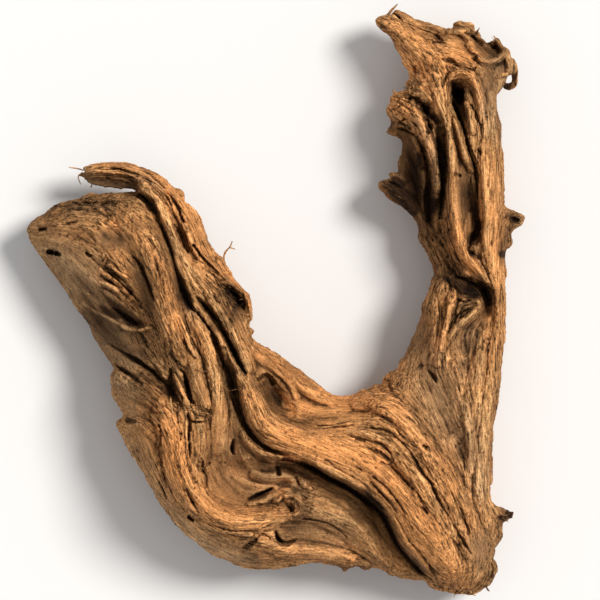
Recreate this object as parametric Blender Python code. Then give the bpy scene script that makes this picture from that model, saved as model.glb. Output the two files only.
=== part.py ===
"""A weathered mangrove root that lies on its back: two limbs fork from a heavy base and end in broken roots.

The shape is drawn in plan, seen from above, in millimetres. A round body is raised over the outline, strands
and furrows are added above and below, and the whole is cut where it forks and where it lies.
"""

import itertools

import bmesh
import bpy
import numpy as np

# Sizes in millimetres
PLAN_CENTRE = (219.84, 237.85)
CELL = 3.0
REACH = 12.0
THICKEST = 60.0
UPPER_SHARE, LOWER_SHARE, MIDDLE_SHARE = 0.80, 0.70, 0.76
MIDDLE_BLUR = 34.0
EDGE_SOFTNESS = 7.0
THINNEST = 1.5
NARROWEST = 2.7
FLOOR_LEVEL = -11.5
SAW_GAP = 0.3
TRIANGLES = 8200
WOOD_COLOURS = ((0.36, 0.21, 0.10), (0.30, 0.17, 0.08), (0.33, 0.19, 0.09))

# Saw cuts across the forks in plan, and a point inside each piece.
SAW_CUTS = {
    "hook": [
        (40, 330), (66, 329), (80, 328.4), (96, 327.8), (109, 327), (128, 322), (150, 322.5), (170, 326),
    ],
    "left fork": [(222, 214), (203, 206), (150, 168), (92, 140), (70, 128)],
    "right fork": [(296, 196), (318, 178), (356, 152), (400, 128), (420, 118)],
    "neck": [
        (296, 412), (322, 412), (334, 419), (352, 426), (383, 426), (392, 414), (410, 400), (430, 392),
    ],
    "prong": [(333.9, 418.9), (340, 438), (354, 480)],
}
PIECES = {
    "hooked_strand": (100, 346),
    "left_limb": (110, 250),
    "root_base": (240, 100),
    "right_limb": (370, 250),
    "upper_prong": (322, 452),
    "crown": (372, 440),
}

# The outline in plan, from the left limb's blunt end clockwise.
OUTLINE = [
    (20, 297.5), (22, 302), (27, 306), (34, 309.5), (37, 312), (42, 315), (49, 318.5), (58, 321),
    (66, 323.5), (71, 325.5), (80, 326.2), (95, 326), (109, 327.2), (103, 329.6), (95, 329), (89, 330),
    (80, 330.8), (74, 331.8), (70, 334), (67, 337), (63, 339.3), (62.7, 341), (66.5, 343.2),
    (65.8, 346), (69, 348), (78, 349.6), (91, 350.4), (100, 350), (109, 348), (119.5, 344.3),
    (130, 338.2), (139, 330.5), (143.5, 328.8), (146.6, 326), (146.5, 321.5), (148, 318.5), (153, 315),
    (157, 310.5), (160, 305.3), (162.7, 298.2), (165.5, 291), (166.5, 287), (172.3, 278.4),
    (177.5, 274), (181, 267.8), (184.6, 262.2), (186, 257.5), (191.6, 252.1), (196.6, 247.5),
    (200.3, 242), (201.3, 234.3), (200.9, 227), (199.3, 220), (202.3, 215), (200.8, 210.5),
    (206.4, 205.8), (215, 200.5), (221, 196.8), (229.7, 191.1), (237, 186), (245, 180.2), (253, 174.3),
    (260, 168.3), (266, 164.8), (273.3, 163.4), (281, 163.6), (286, 165.7), (290, 168), (294, 168.5),
    (299.6, 171.6), (304.5, 172), (307.7, 177.4), (311, 180.4), (316, 183), (319.6, 186.3),
    (320.6, 190.6), (324, 194.8), (327, 201.5), (330.2, 210), (335.2, 221.1), (337.8, 230), (338, 235),
    (341, 242), (344, 250), (346, 256.5), (348, 261.2), (346.4, 266.8), (343.8, 273.9), (339.8, 281),
    (335, 289), (334.9, 297), (334.2, 302), (329.7, 308.3), (326, 312), (320.5, 316), (313.4, 320),
    (308.4, 324.5), (304.3, 329.1), (303.2, 333.4), (305.3, 336), (312.6, 338), (311.2, 341.3),
    (314, 343.2), (318.6, 342.8), (319, 350.4), (321, 357), (322.6, 363.5), (322, 367.5),
    (319.5, 371.1), (314.5, 373), (310.3, 375.3), (312.4, 379.7), (312.9, 383.7), (309.9, 388.3),
    (309.3, 393.4), (312.4, 399.4), (312.6, 402.5), (315, 405.5), (315, 408), (321, 407.5),
    (326.8, 409), (325.1, 413), (325.1, 415.7), (328, 417.4), (327.1, 424.3), (323.6, 428.3),
    (321.5, 434), (318.5, 440.5), (314.5, 447.6), (310.4, 452.6), (304.3, 457.7), (300.3, 463),
    (301.3, 466), (305.3, 468.3), (312, 470.2), (317, 473.4), (322.6, 472.4), (327.6, 469.4),
    (332.7, 466.3), (341, 464), (350, 461.3), (355.5, 459.2), (362, 459.2), (363.3, 462.8),
    (367.1, 464.6), (373.2, 464), (379.8, 461.5), (380.6, 456), (383, 455), (385.4, 450.6),
    (389.4, 446.8), (394.5, 448.4), (397.6, 451.6), (401.1, 449.6), (404.1, 444), (408.7, 440),
    (412, 433), (414.2, 426.5), (412, 421.5), (407.5, 420), (405.5, 415), (400.3, 407.3), (398.6, 404),
    (398.1, 394), (400.1, 386.8), (401.6, 381.7), (401.6, 368.5), (403.1, 358.4), (404.1, 345),
    (404.4, 330), (404.6, 320.5), (405.2, 315.4), (411, 312.9), (416.8, 310.1), (420.4, 306.8),
    (419.3, 302.2), (416.3, 299.4), (412.8, 297.2), (410.8, 294), (411.2, 287), (409.7, 283),
    (406.2, 279.9), (404.4, 272.8), (406.2, 261.7), (404.4, 253.6), (405.7, 244.5), (405.4, 228.3),
    (405.4, 210.5), (403.1, 197.3), (401.6, 182.1), (400.6, 169), (398.6, 158.8), (396.5, 146.7),
    (395, 136.5), (394.5, 116.3), (394.4, 96), (392.3, 90.7), (392.3, 85), (394, 78.5), (399.1, 74),
    (406.7, 70.6), (411.7, 69.4), (410.2, 63.8), (402.6, 61.3), (402.2, 57.5), (402.6, 50.7),
    (399.6, 45.6), (397, 39.5), (397, 31), (399.3, 27), (399.4, 21.3), (397, 15.2), (392.5, 10.1),
    (388, 7), (378.3, 3.6), (371.2, 2.7), (364.1, 3.2), (357, 5.2), (350, 6.8), (344.9, 10.6),
    (339.8, 14.2), (329.7, 15.4), (320.5, 17.2), (312.4, 20.8), (304.3, 23.8), (298, 25.4),
    (291, 23.4), (286.5, 25.3), (280.4, 24.3), (276.3, 22), (270.2, 25.3), (260.1, 28.2), (251, 28.9),
    (240.9, 28.2), (232.7, 26), (224.6, 24.5), (213, 23.9), (200.8, 24.5), (188, 27.5), (182, 31),
    (173.5, 33.8), (164.1, 39.4), (157, 45), (149.9, 50.6), (139.8, 60.7), (133.7, 68.3),
    (127.6, 76.4), (120.5, 89.6), (115, 100.2), (109.4, 109.3), (101.3, 121), (97.7, 129.6),
    (92.6, 139.7), (97.4, 146.2), (96.3, 151.5), (92.6, 156.9), (89, 161.5), (88, 169.1),
    (88.3, 178.2), (91.4, 184.8), (88.5, 189.3), (84, 194.4), (80.2, 201), (74.3, 210.6),
    (69.8, 220.7), (61.2, 231.9), (55.6, 240), (49.5, 250), (41.4, 261.2), (32.3, 273.4),
    (27.8, 279.9), (23.2, 286.5), (21.2, 292.1),
]

# Broad hollows and swellings of the upper side: x, y, half width, height.
SWELLS = {
    "left face hollow": [
        (58, 285, 20, -4), (75, 262, 26, -9), (90, 240, 30, -13), (102, 215, 32, -14),
        (112, 195, 26, -12),
    ],
    "left face slope": [(28, 290, 24, -6), (50, 250, 26, -8), (75, 212, 26, -8), (95, 180, 22, -6)],
    "hook end hollow": [(66, 339, 9, -2), (80, 336, 9, -7), (95, 335, 9, -8), (108, 334, 7, -6)],
    "pocket by knot": [(128, 180, 14, -4), (138, 168, 14, -6), (146, 160, 10, -3)],
    "bay": [
        (178, 128, 20, -6), (180, 105, 26, -14), (196, 92, 28, -17), (222, 98, 24, -17),
        (240, 100, 20, -14),
    ],
    "under ridge": [
        (228.6, 108.4, 10, -8), (244.2, 102.9, 12, -16), (259.8, 93.5, 13.5, -22),
        (271.9, 87.1, 14.5, -25), (283.5, 80.1, 15, -27), (294.2, 71.7, 15, -27),
        (301.7, 63.7, 15, -27), (306.5, 53.1, 15, -26), (313.4, 40.5, 14, -24), (323.9, 28.2, 12, -20),
        (333.7, 18.8, 9, -12),
    ],
    "belly hollow": [(236, 56, 16, -4), (262, 54, 20, -6), (284, 46, 18, -5)],
    "crotch bowl": [(232, 166, 20, -6), (256, 152, 26, -11), (284, 152, 22, -9)],
    "crotch recess": [(214, 172, 10, -10), (220, 162, 13, -17), (228, 152, 12, -12)],
    "right panel": [(334, 215, 14, -5), (338, 185, 20, -9), (344, 160, 22, -10), (352, 140, 18, -8)],
    "right panel mid": [
        (378, 215, 12, -7), (370, 192, 16, -10), (362, 170, 16, -9), (360, 145, 14, -7),
        (366, 120, 12, -6),
    ],
    "eye": [(366, 250, 12, -8), (378, 248, 14, -12), (388, 238, 12, -13), (386, 224, 10, -5)],
    "dark left flank": [
        (326, 366, 14, -10), (332, 345, 20, -18), (338, 322, 20, -20), (346, 300, 18, -15),
        (352, 282, 16, -10), (362, 264, 13, -9),
    ],
    "channel": [(376, 345, 9, -6), (376, 325, 11, -13), (379, 305, 10, -14), (378, 290, 9, -9)],
    "hood hole": [(364, 410, 9, -18), (366, 400, 9, -14), (370, 388, 8, -9)],
    "left hole": [(341, 400, 8, -10), (346, 392, 9, -15), (352, 384, 7, -9)],
    "crown cup": [(384, 443, 8, -8), (392, 440, 10, -12), (399, 441, 7, -8)],
    "crown grey": [(396, 428, 12, -5), (393, 412, 11, -6), (391, 400, 8, -4)],
    "prong groove": [(330, 462, 7, -3), (342, 457, 9, -6), (352, 452, 8, -6)],
    "foot flat": [(386, 40, 14, -5), (388, 28, 12, -6)],
    "belly swell": [(150, 110, 26, 6), (160, 80, 28, 8), (190, 58, 26, 8), (220, 42, 20, 6)],
    "band swell": [(110, 300, 18, 5), (130, 260, 20, 8), (138, 220, 20, 8), (146, 190, 16, 4)],
    "foot swell": [(330, 100, 30, 8), (352, 70, 34, 12), (366, 36, 30, 10)],
    "upper swell": [(355, 430, 26, 8), (372, 430, 24, 8)],
    "chip recess": [(86.4, 291.2, 8, -2.5), (94.4, 288, 8, -2.5)],
    "chip": [(89.6, 300.8, 6, 1.5), (94.4, 298.4, 5, 1.5)],
}

# Raised strands of the upper side: x, y, half width, height.
STRANDS = {
    "hook rim": [
        (66, 347, 3, 2), (80, 347.5, 4, 5), (100, 347, 5, 7), (118, 341, 6, 8), (134, 330, 8, 8),
        (146, 314, 9, 8), (155, 297, 9, 8), (163, 280, 9, 7), (174, 264, 9, 6), (184, 250, 8, 5),
    ],
    "hook inner": [
        (110, 336, 4, 5), (122, 326, 7, 8), (131, 311, 8, 10), (137, 296, 6, 10), (142, 282, 6, 10),
        (147, 268, 8, 10), (153, 254, 9, 9), (160, 243, 8, 7),
    ],
    "shoulder": [
        (158, 262, 10, 8), (170, 250, 12, 10), (182, 232, 12, 11), (192, 214, 10, 10),
        (197, 198, 7, 9), (199, 186, 6, 8),
    ],
    "ear lip": [
        (184, 254, 5, 6), (194, 247, 6, 9), (198.5, 238, 4, 9), (199, 228, 3.5, 7), (199, 218, 4, 5),
    ],
    "thin strand": [
        (157, 236, 3.5, 8), (166, 224, 4.5, 9), (174, 210, 5, 9), (182, 196, 5, 7), (190, 183, 4, 5),
    ],
    "pale strand": [
        (148, 244, 5, 5), (156, 230, 8, 7), (163, 214, 9, 9), (169, 196, 8, 10), (173, 176, 7, 9),
        (175, 156, 7, 7), (175, 138, 8, 5), (174, 124, 8, 3),
    ],
    "fibre band": [
        (94, 316, 10, 4), (108, 302, 14, 7), (121, 284, 14, 9), (130, 262, 13, 10), (134, 240, 11, 10),
        (138, 220, 11, 10), (143, 204, 9, 9), (148, 192, 6, 6),
    ],
    "middle strand": [
        (136, 236, 6, 5), (146, 222, 7, 7), (153, 207, 7, 8), (157, 190, 7, 8), (160, 174, 8, 8),
        (164, 158, 8, 7),
    ],
    "broken strand": [(142, 180, 3, 6), (146, 170, 3.5, 8), (150, 160, 4, 8), (153, 152, 4, 6)],
    "belly strand": [
        (130, 158, 8, 7), (137, 140, 13, 10), (142, 120, 13, 11), (146, 100, 13, 12),
        (154, 84, 13, 12), (168, 72, 11, 11), (186, 66, 10, 10), (206, 66, 10, 8), (224, 70, 8, 6),
    ],
    "belly block": [(160, 142, 8, 9), (161, 128, 9, 9), (160, 115, 8, 7), (163, 104, 4, 4)],
    "belly side": [
        (112, 130, 11, 4), (120, 108, 12, 6), (128, 88, 12, 6), (142, 68, 13, 6), (160, 52, 14, 6),
        (184, 42, 14, 6), (208, 38, 12, 5),
    ],
    "plate upper": [(84, 201, 4, 3), (98, 191, 6, 6), (112, 182, 6, 6), (127, 174, 4, 4)],
    "plate lower": [(94, 180, 6, 4), (108, 172, 9, 6), (122, 163, 8, 5), (132, 157, 6, 3)],
    "plate foot": [(97, 138, 8, 3), (110, 138, 9, 5), (122, 134, 8, 4)],
    "ridge": [
        (192, 188, 6, 6), (197, 172, 9, 12), (203, 156, 11, 15), (212, 141, 12, 17),
        (228, 130, 14, 18), (250, 124, 17, 18), (272, 118, 18, 17), (292, 106, 19, 17),
        (312, 88, 19, 18), (330, 66, 17, 18), (346, 44, 16, 17), (358, 24, 15, 12),
    ],
    "ridge under lip": [
        (195, 134, 3, 4), (201, 125, 4, 6), (212, 117.5, 4.5, 8), (226, 114.5, 4, 9), (238, 113, 4, 8),
    ],
    "second ridge": [
        (286, 158, 7, 5), (302, 158, 10, 8), (316, 148, 11, 10), (328, 134, 11, 11),
        (340, 118, 11, 11), (352, 100, 12, 11), (364, 80, 12, 11), (374, 58, 12, 9), (380, 40, 10, 5),
    ],
    "arch strand": [
        (250, 141, 3, 2), (268, 141, 5, 4), (288, 145, 6, 5), (304, 144, 6, 6), (318, 136, 5, 6),
        (328, 125, 4, 6),
    ],
    "third strand": [
        (300, 131, 7, 5), (312, 126, 8, 7), (322, 115, 8, 9), (332, 101, 9, 9), (342, 84, 9, 8),
        (352, 68, 8, 6),
    ],
    "crotch edge": [
        (203, 198, 6, 4), (220, 190, 8, 7), (238, 178, 9, 8), (254, 166, 8, 7), (264, 160, 5, 3),
    ],
    "knot ring": [(222, 82, 4, 5), (229, 86.5, 4, 7), (238, 84, 3.5, 6), (241, 76, 3, 4)],
    "knot arm": [(203, 101, 4, 3), (214, 98, 5, 6), (226, 101, 5, 7), (236, 99, 4, 4)],
    "belly mid": [
        (232, 74, 9, 4), (250, 74, 12, 5.5), (268, 68, 13, 6), (284, 58, 13, 6), (298, 44, 12, 6),
        (312, 30, 10, 5), (322, 20, 6, 3),
    ],
    "belly low": [
        (206, 48, 6, 4), (222, 42, 7, 7), (242, 40, 8, 8), (262, 37, 8, 8), (280, 32, 7, 6),
        (292, 29, 5, 4),
    ],
    "right edge ridge": [
        (393, 404, 5, 4), (394, 385, 8, 6), (394, 360, 10, 7), (394, 330, 11, 8), (396, 300, 11, 8),
        (396, 275, 11, 9), (398, 250, 8, 9), (400, 228, 6, 8), (398, 204, 7, 7), (396, 176, 8, 7),
        (391, 146, 9, 7), (387, 116, 9, 7), (385, 90, 9, 7), (388, 64, 8, 5),
    ],
    "inner right rib": [
        (384, 196, 6, 4), (380, 172, 8, 4), (379, 146, 9, 4), (379, 118, 9, 4), (377, 96, 7, 2),
    ],
    "y ridge": [
        (349, 190, 4, 4), (352, 203, 4.5, 7), (355, 218, 4.5, 9), (359, 234, 5, 9), (361, 246, 5, 6),
    ],
    "y arm": [
        (356, 206, 3, 4), (364, 218, 4, 7), (374, 227, 5, 9), (383, 234, 4, 9), (381, 240, 3, 6),
        (370, 239, 3, 4),
    ],
    "y ball": [(363, 255, 5, 5), (369, 251, 6, 6)],
    "left rib": [
        (345, 246, 5, 3), (342, 232, 6, 4), (340, 214, 8, 4), (334, 198, 8, 3), (326, 188, 6, 2),
    ],
    "s ridge": [
        (357, 392, 3, 4), (359, 372, 4, 7), (361, 350, 5, 10), (362, 328, 6, 11), (364, 306, 6, 11),
        (367, 288, 5, 11), (373, 274, 5, 10), (382, 264, 4.5, 9), (390, 254, 4, 6),
    ],
    "s inner": [(376, 308, 3, 3), (373, 296, 4, 6), (371, 284, 4, 6), (376, 274, 4, 5)],
    "channel rib two": [(372, 402, 3, 4), (375, 390, 4, 6), (377, 376, 4, 5)],
    "hood": [
        (356, 402, 5, 6), (359, 411, 6, 9), (366, 420, 5, 11), (376, 418, 5, 11), (382, 407, 4.5, 11),
        (385, 394, 4, 9), (386, 383, 2.5, 4),
    ],
    "neck": [(346, 430, 10, 5), (348, 416, 9, 8), (350, 404, 8, 9), (352, 392, 6, 8), (356, 382, 4, 5)],
    "upper stub": [
        (313, 402, 6, 4), (322, 396, 8, 8), (331, 387, 7, 9), (338, 376, 6, 9), (343, 362, 5, 9),
        (347, 346, 4, 8), (348, 328, 3.5, 6), (346, 310, 3, 3),
    ],
    "upper stub low": [(314, 390, 4, 2), (322, 383, 4, 3), (330, 374, 4, 2.5), (335, 362, 3, 1.5)],
    "notch rim": [(316, 406, 4, 3), (326, 404, 4, 6), (338, 405, 4, 6), (346, 403, 4, 4)],
    "lower stub": [
        (305, 333, 3, 2), (316, 326, 6, 6), (328, 317, 6, 7), (336, 306, 5, 5), (340, 294, 4, 3),
    ],
    "flank rib two": [(342, 300, 3, 1.5), (348, 288, 4, 2), (354, 276, 4, 2)],
    "prong": [
        (303, 463, 4, 3), (314, 457, 8, 7), (326, 447, 10, 9), (338, 436, 11, 8), (350, 424, 9, 5),
    ],
    "prong top": [(318, 471, 3, 2), (328, 466, 4, 4), (340, 461, 4, 5), (352, 458, 4, 4)],
    "crown rim": [
        (360, 456, 3, 4), (371, 455, 4, 7), (376, 446, 4, 7), (380, 438, 3.5, 7), (387, 431, 3, 7),
        (396, 432, 3, 7), (404, 437, 3, 7), (408, 441, 2.5, 3),
    ],
    "crown back": [(363, 461, 3, 3), (371, 461, 4, 6), (379, 458, 3, 4)],
    "snag": [(400, 306, 5, 3), (409, 309, 4, 4), (416, 308, 3.5, 3)],
    "foot snag": [(394, 74, 5, 3), (402, 70, 4, 3), (409, 68, 3, 2)],
    "ridge fill": [
        (276, 137, 12, 6), (294, 135, 15, 9), (312, 126, 17, 11), (328, 106, 17, 10), (344, 84, 16, 9),
        (358, 60, 14, 8),
    ],
    "y fill": [(350, 248, 10, 4), (346, 230, 13, 6), (342, 212, 13, 5), (336, 198, 11, 4)],
    "belly join": [(150, 146, 12, 7), (152, 130, 13, 9), (153, 114, 11, 9), (157, 98, 9, 8)],
    "belly tip": [(123.2, 148.8, 2, 3), (126.4, 143.2, 3, 6), (130.4, 134.4, 4, 8)],
    "crown left": [
        (323.2, 427.2, 8, 5), (331.2, 416, 10, 7), (340.8, 406.4, 10, 7), (348.8, 395.2, 8, 6),
    ],
    "lip": [
        (217.6, 128, 5, 8), (233.6, 119.6, 6, 12), (249.8, 114, 6, 15), (266, 104.3, 6, 16),
        (278, 97.9, 6, 16), (290.1, 90.6, 6, 16), (301.6, 81.6, 6.5, 16), (311, 71.8, 6.5, 16),
        (317, 59.7, 6.5, 16), (323.2, 48, 6, 15.5), (333.5, 36.2, 6, 14), (344.2, 25.3, 5.5, 11),
    ],
    "lip shelf": [
        (236.9, 126.9, 9, 11), (253.4, 121.1, 10, 13), (270, 111.2, 11, 14.5), (281.9, 104.8, 11, 15),
        (294.4, 97.4, 11, 15), (306.4, 88, 11, 15), (317, 77.1, 11, 15), (323.8, 64, 11, 15),
        (329.5, 52.9, 11, 14), (339.6, 41.3, 10, 12), (351, 29.4, 9, 9),
    ],
}

# Furrows and holes of the upper side: x, y, half width, depth.
FURROWS = {
    "second slit": [
        (158, 230, 1, 6), (165, 222, 1.6, 18), (171, 212, 2, 20), (175, 200, 2.6, 16),
        (179, 186, 4, 12),
    ],
    "band valley": [
        (126, 306, 1.2, 8), (130, 297, 1.2, 8), (134, 288, 1.4, 6), (138, 276, 1.4, 5),
        (141, 264, 2, 5), (144, 256, 3.4, 10), (147, 247, 4.2, 15), (151, 238, 3.8, 13),
        (156, 231, 1.5, 5),
    ],
    "hook gap": [
        (104, 326.4, 1.5, 6), (112, 323.2, 2.4, 14), (120, 317.6, 3.4, 20), (125.6, 309.6, 2.6, 16),
        (128, 304, 1.2, 7),
    ],
    "inner split": [(139, 300, 1, 5), (144, 293, 3, 12), (148, 285, 2.6, 12), (151, 279, 1.2, 8)],
    "ear hole": [
        (176.8, 251.2, 2.2, 8), (183.2, 247.2, 4.8, 18), (188.8, 241.6, 6.2, 22),
        (193.6, 235.2, 5.2, 20), (197.6, 228.8, 3, 12),
    ],
    "face pocket": [
        (86.4, 236.8, 1.2, 3), (96, 232.8, 2.6, 9), (104.8, 226.4, 4, 13), (112, 224, 3, 9),
        (119.2, 223.2, 1.4, 4),
    ],
    "plate slit": [
        (90, 203, 0.8, 2), (100, 197, 1.2, 4), (112, 190, 2.2, 11), (122, 183, 3, 16),
        (129, 177, 2.8, 16), (134, 173, 1.6, 10),
    ],
    "plate edge": [(98, 147, 1, 4), (104, 143.5, 2.4, 10), (109, 143.5, 1.5, 5)],
    "knot pit": [(137, 172, 5, 12), (139, 164, 4, 10)],
    "valley": [
        (180, 200, 4, 6), (184, 182, 5, 12), (189, 165, 5, 13), (193, 152, 4, 14), (196, 142, 3, 12),
    ],
    "ridge slit": [
        (195, 150, 1.4, 8), (197, 142, 2, 16), (201, 134, 2.4, 20), (207, 128, 2.4, 20),
        (214, 123, 2, 18), (222, 120, 1.8, 14), (231, 117.5, 1.2, 8),
    ],
    "pocket": [
        (199, 81, 1.8, 8), (206, 83.5, 2.6, 12), (214, 87, 3, 10), (221, 89, 2.4, 9),
        (226, 88.5, 1.2, 5),
    ],
    "low scar": [(205, 50, 2, 7), (200, 46, 3, 8), (195, 43, 2, 4)],
    "recess edge": [(207, 177, 1.6, 5), (213, 180, 2, 8), (218, 174, 2.6, 7)],
    "eye slit": [
        (364, 258, 1.8, 5), (374, 256, 2.8, 9), (384, 252, 3.4, 15), (390, 245, 3.8, 17),
        (392, 236, 3, 10), (390, 227, 1.6, 3),
    ],
    "y cups": [(362, 226, 2, 5), (368, 228, 2.4, 7), (375, 232, 2, 6)],
    "channel slit": [
        (361, 400, 1.6, 12), (366, 389, 2, 18), (371, 377, 1.8, 18), (374, 363, 1.8, 16),
        (378.5, 350, 2.2, 15), (382, 338, 2.6, 9), (384, 322, 2.2, 4),
    ],
    "channel crook": [
        (384, 302, 2.5, 12), (383, 295, 3, 14), (377, 288, 2.4, 10), (374, 281, 1.8, 8),
        (379, 276, 1.2, 6),
    ],
    "furrow one": [
        (351, 376, 3, 9), (354, 355, 3.6, 17), (355, 335, 3.6, 18), (354, 318, 3, 14),
        (353, 306, 2, 6),
    ],
    "furrow two": [
        (334, 370, 2, 8), (340, 358, 3, 13), (344, 340, 2.8, 14), (343, 322, 3, 13),
        (344, 304, 2.6, 9),
    ],
    "crown slit": [(372, 454, 1.4, 6), (379, 450, 2.2, 9), (385, 446, 2.4, 9)],
    "crown hole": [(392, 447, 2, 9), (397, 443, 2.4, 10), (399, 438, 1.6, 5)],
    "neck cup": [(349, 452, 2, 5), (352, 448, 2.4, 7), (347, 446, 1.6, 4)],
    "snag pit": [(411, 304, 2.4, 6), (414, 303, 2, 6)],
    "tangle gap": [
        (136.8, 185.6, 1.6, 8), (140.8, 176, 3.2, 16), (144.8, 167.2, 2.6, 14), (148.8, 161.6, 1.4, 7),
    ],
    "stub cavity": [(339.2, 384.8, 1.8, 6), (343.2, 379.2, 2.6, 9), (341.6, 373.6, 2, 7)],
    "stub cavity two": [
        (330.4, 402.4, 1.4, 5), (337.6, 399.2, 2.4, 8), (344.8, 393.6, 2.6, 9), (347.2, 386.4, 2, 8),
    ],
    "hood hole": [(362.4, 412, 2.2, 8), (365.6, 406.4, 3.6, 14), (368, 399.2, 2.4, 10)],
    "knot hollow": [(228.8, 78.4, 2, 4), (231.2, 76, 3.4, 8), (232.8, 72.8, 2.4, 6)],
}

# The underside in the same plan; a positive height bulges downwards.
UNDER_SWELLS = {
    "left hollow": [(110, 262, 30, -7), (140, 215, 34, -10), (160, 175, 30, -8)],
    "belly hollow": [(215, 120, 44, -14), (262, 108, 40, -14), (300, 112, 34, -10)],
    "crotch hollow": [(222, 176, 20, -8), (262, 150, 22, -8)],
    "right hollow": [(345, 165, 26, -8), (350, 205, 26, -9), (362, 250, 26, -8)],
    "upper hollow": [(352, 372, 18, -6), (350, 402, 20, -7)],
    "left pad": [(58, 284, 26, 7), (78, 256, 28, 9), (94, 228, 24, 6)],
    "belly pad": [(140, 112, 24, 5), (162, 80, 28, 9), (200, 60, 26, 6)],
    "foot pad": [(330, 62, 26, 5), (356, 40, 26, 8), (376, 36, 22, 6)],
    "limb pad": [(380, 300, 20, 5), (382, 340, 22, 8), (380, 376, 20, 5)],
}
# Strands of the underside.
UNDER_STRANDS = {
    "edge": [
        (36, 276, 9, 4), (58, 244, 10, 6), (84, 208, 11, 7), (98, 168, 11, 7), (112, 132, 12, 7),
        (134, 92, 13, 7), (164, 58, 13, 7), (205, 42, 12, 6), (250, 40, 11, 6), (296, 38, 9, 4),
    ],
    "second": [
        (44, 294, 10, 4), (74, 262, 12, 7), (104, 216, 12, 8), (128, 166, 12, 8), (154, 112, 13, 8),
        (190, 78, 13, 8), (240, 64, 13, 7), (290, 56, 12, 7), (330, 40, 10, 4),
    ],
    "third": [
        (72, 306, 9, 4), (98, 270, 11, 7), (124, 226, 12, 8), (146, 178, 11, 8), (172, 130, 12, 8),
        (214, 98, 13, 8), (262, 86, 13, 8), (310, 70, 13, 8), (350, 44, 12, 6),
    ],
    "fourth": [
        (98, 318, 8, 3), (124, 282, 11, 7), (150, 240, 11, 8), (166, 198, 11, 8), (190, 156, 12, 8),
        (232, 128, 13, 8), (284, 112, 13, 8), (330, 90, 12, 8), (366, 56, 11, 5),
    ],
    "fifth": [
        (150, 300, 7, 3), (166, 266, 9, 6), (182, 234, 9, 7), (194, 202, 9, 7), (214, 172, 10, 7),
        (252, 148, 11, 7), (300, 138, 12, 8), (340, 114, 12, 8), (374, 76, 11, 5),
    ],
    "crotch": [
        (206, 198, 6, 3), (232, 180, 8, 6), (262, 164, 8, 6), (296, 160, 9, 6), (326, 172, 9, 6),
        (344, 206, 9, 6), (352, 246, 8, 5),
    ],
    "cross": [(130, 132, 6, 2), (160, 140, 8, 6), (192, 136, 8, 7), (222, 118, 8, 6), (250, 96, 7, 3)],
    "right outer": [
        (384, 60, 9, 4), (387, 110, 10, 6), (390, 170, 9, 7), (394, 230, 9, 7), (394, 290, 9, 7),
        (392, 350, 9, 7), (392, 400, 7, 5), (398, 430, 6, 3),
    ],
    "right middle": [
        (352, 70, 10, 4), (364, 120, 11, 7), (370, 175, 10, 7), (374, 235, 10, 8), (376, 295, 10, 8),
        (374, 355, 10, 8), (370, 410, 10, 7), (372, 446, 8, 4),
    ],
    "right inner": [
        (336, 120, 8, 3), (346, 170, 9, 6), (352, 215, 8, 6), (360, 262, 8, 6), (354, 310, 8, 7),
        (342, 355, 8, 7), (334, 395, 8, 5), (342, 428, 9, 6), (326, 450, 8, 5), (308, 463, 5, 2),
    ],
    "right stub": [(310, 334, 4, 2), (326, 318, 6, 5), (340, 300, 6, 5), (352, 284, 5, 3)],
    "upper cross": [
        (316, 400, 5, 3), (334, 406, 7, 6), (354, 420, 8, 6), (376, 434, 8, 5), (398, 440, 6, 3),
    ],
}
# Furrows and holes of the underside.
UNDER_FURROWS = {
    "left slit": [
        (62, 284, 1, 5), (88, 246, 2.4, 12), (114, 200, 3, 16), (136, 150, 2.6, 14),
        (158, 108, 1.5, 6),
    ],
    "left slit two": [(112, 254, 1, 5), (136, 206, 2.8, 14), (158, 160, 3, 15), (184, 122, 2, 8)],
    "left slit three": [(134, 262, 1, 5), (156, 222, 2.6, 12), (176, 182, 3, 14), (204, 146, 2, 8)],
    "base slit": [(182, 98, 1.5, 6), (226, 80, 3, 13), (276, 72, 3, 14), (318, 56, 1.5, 6)],
    "base slit two": [(222, 112, 1.5, 6), (266, 99, 3, 14), (312, 84, 2.6, 12), (346, 62, 1.2, 5)],
    "base slit three": [(262, 134, 1.5, 6), (300, 124, 3, 13), (338, 102, 2.4, 10)],
    "right slit": [
        (378, 120, 1.5, 6), (381, 180, 2.6, 13), (384, 240, 3, 15), (386, 300, 2.6, 13),
        (384, 350, 1.5, 6),
    ],
    "right slit two": [
        (358, 180, 1.5, 6), (364, 225, 2.6, 12), (368, 270, 2.6, 12), (364, 320, 3, 14),
        (358, 370, 2.6, 12), (354, 400, 1.5, 6),
    ],
    "right hole": [(352, 344, 3, 10), (350, 336, 4, 16), (352, 328, 3, 10)],
    "belly hole": [(234, 120, 4, 10), (242, 116, 6, 20), (252, 114, 4, 10)],
    "left hole": [(140, 236, 2.4, 9), (144, 230, 3.4, 13), (148, 224, 2.4, 9)],
}
# How far the limbs' middle surface rises: x, y, half width, lift.
LIFTS = {
    "hook": [(58, 343, 26, 14), (95, 342, 26, 13), (120, 336, 24, 8), (138, 320, 20, 3)],
    "nose": [(20, 300, 60, 4), (45, 280, 60, 2)],
    "prong": [(296, 466, 40, 16), (325, 452, 36, 8), (350, 436, 30, 2)],
    "crown": [(405, 440, 34, 5), (385, 440, 34, 4)],
    "right limb": [(360, 240, 46, 6), (368, 300, 46, 2)],
}

# The broken end that hangs down beside the crown, as round bars: x, y, height above the middle, radius.
LOOSE_PRONGS = [
    [
        (410, 431, 5, 3.4), (412, 425, 5, 3.2), (412.6, 419, 4, 2.6), (412, 413.5, 3, 2.9),
        (408.5, 411.5, 2, 3.2), (404.5, 412, 2, 3.2),
    ],
]


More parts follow.
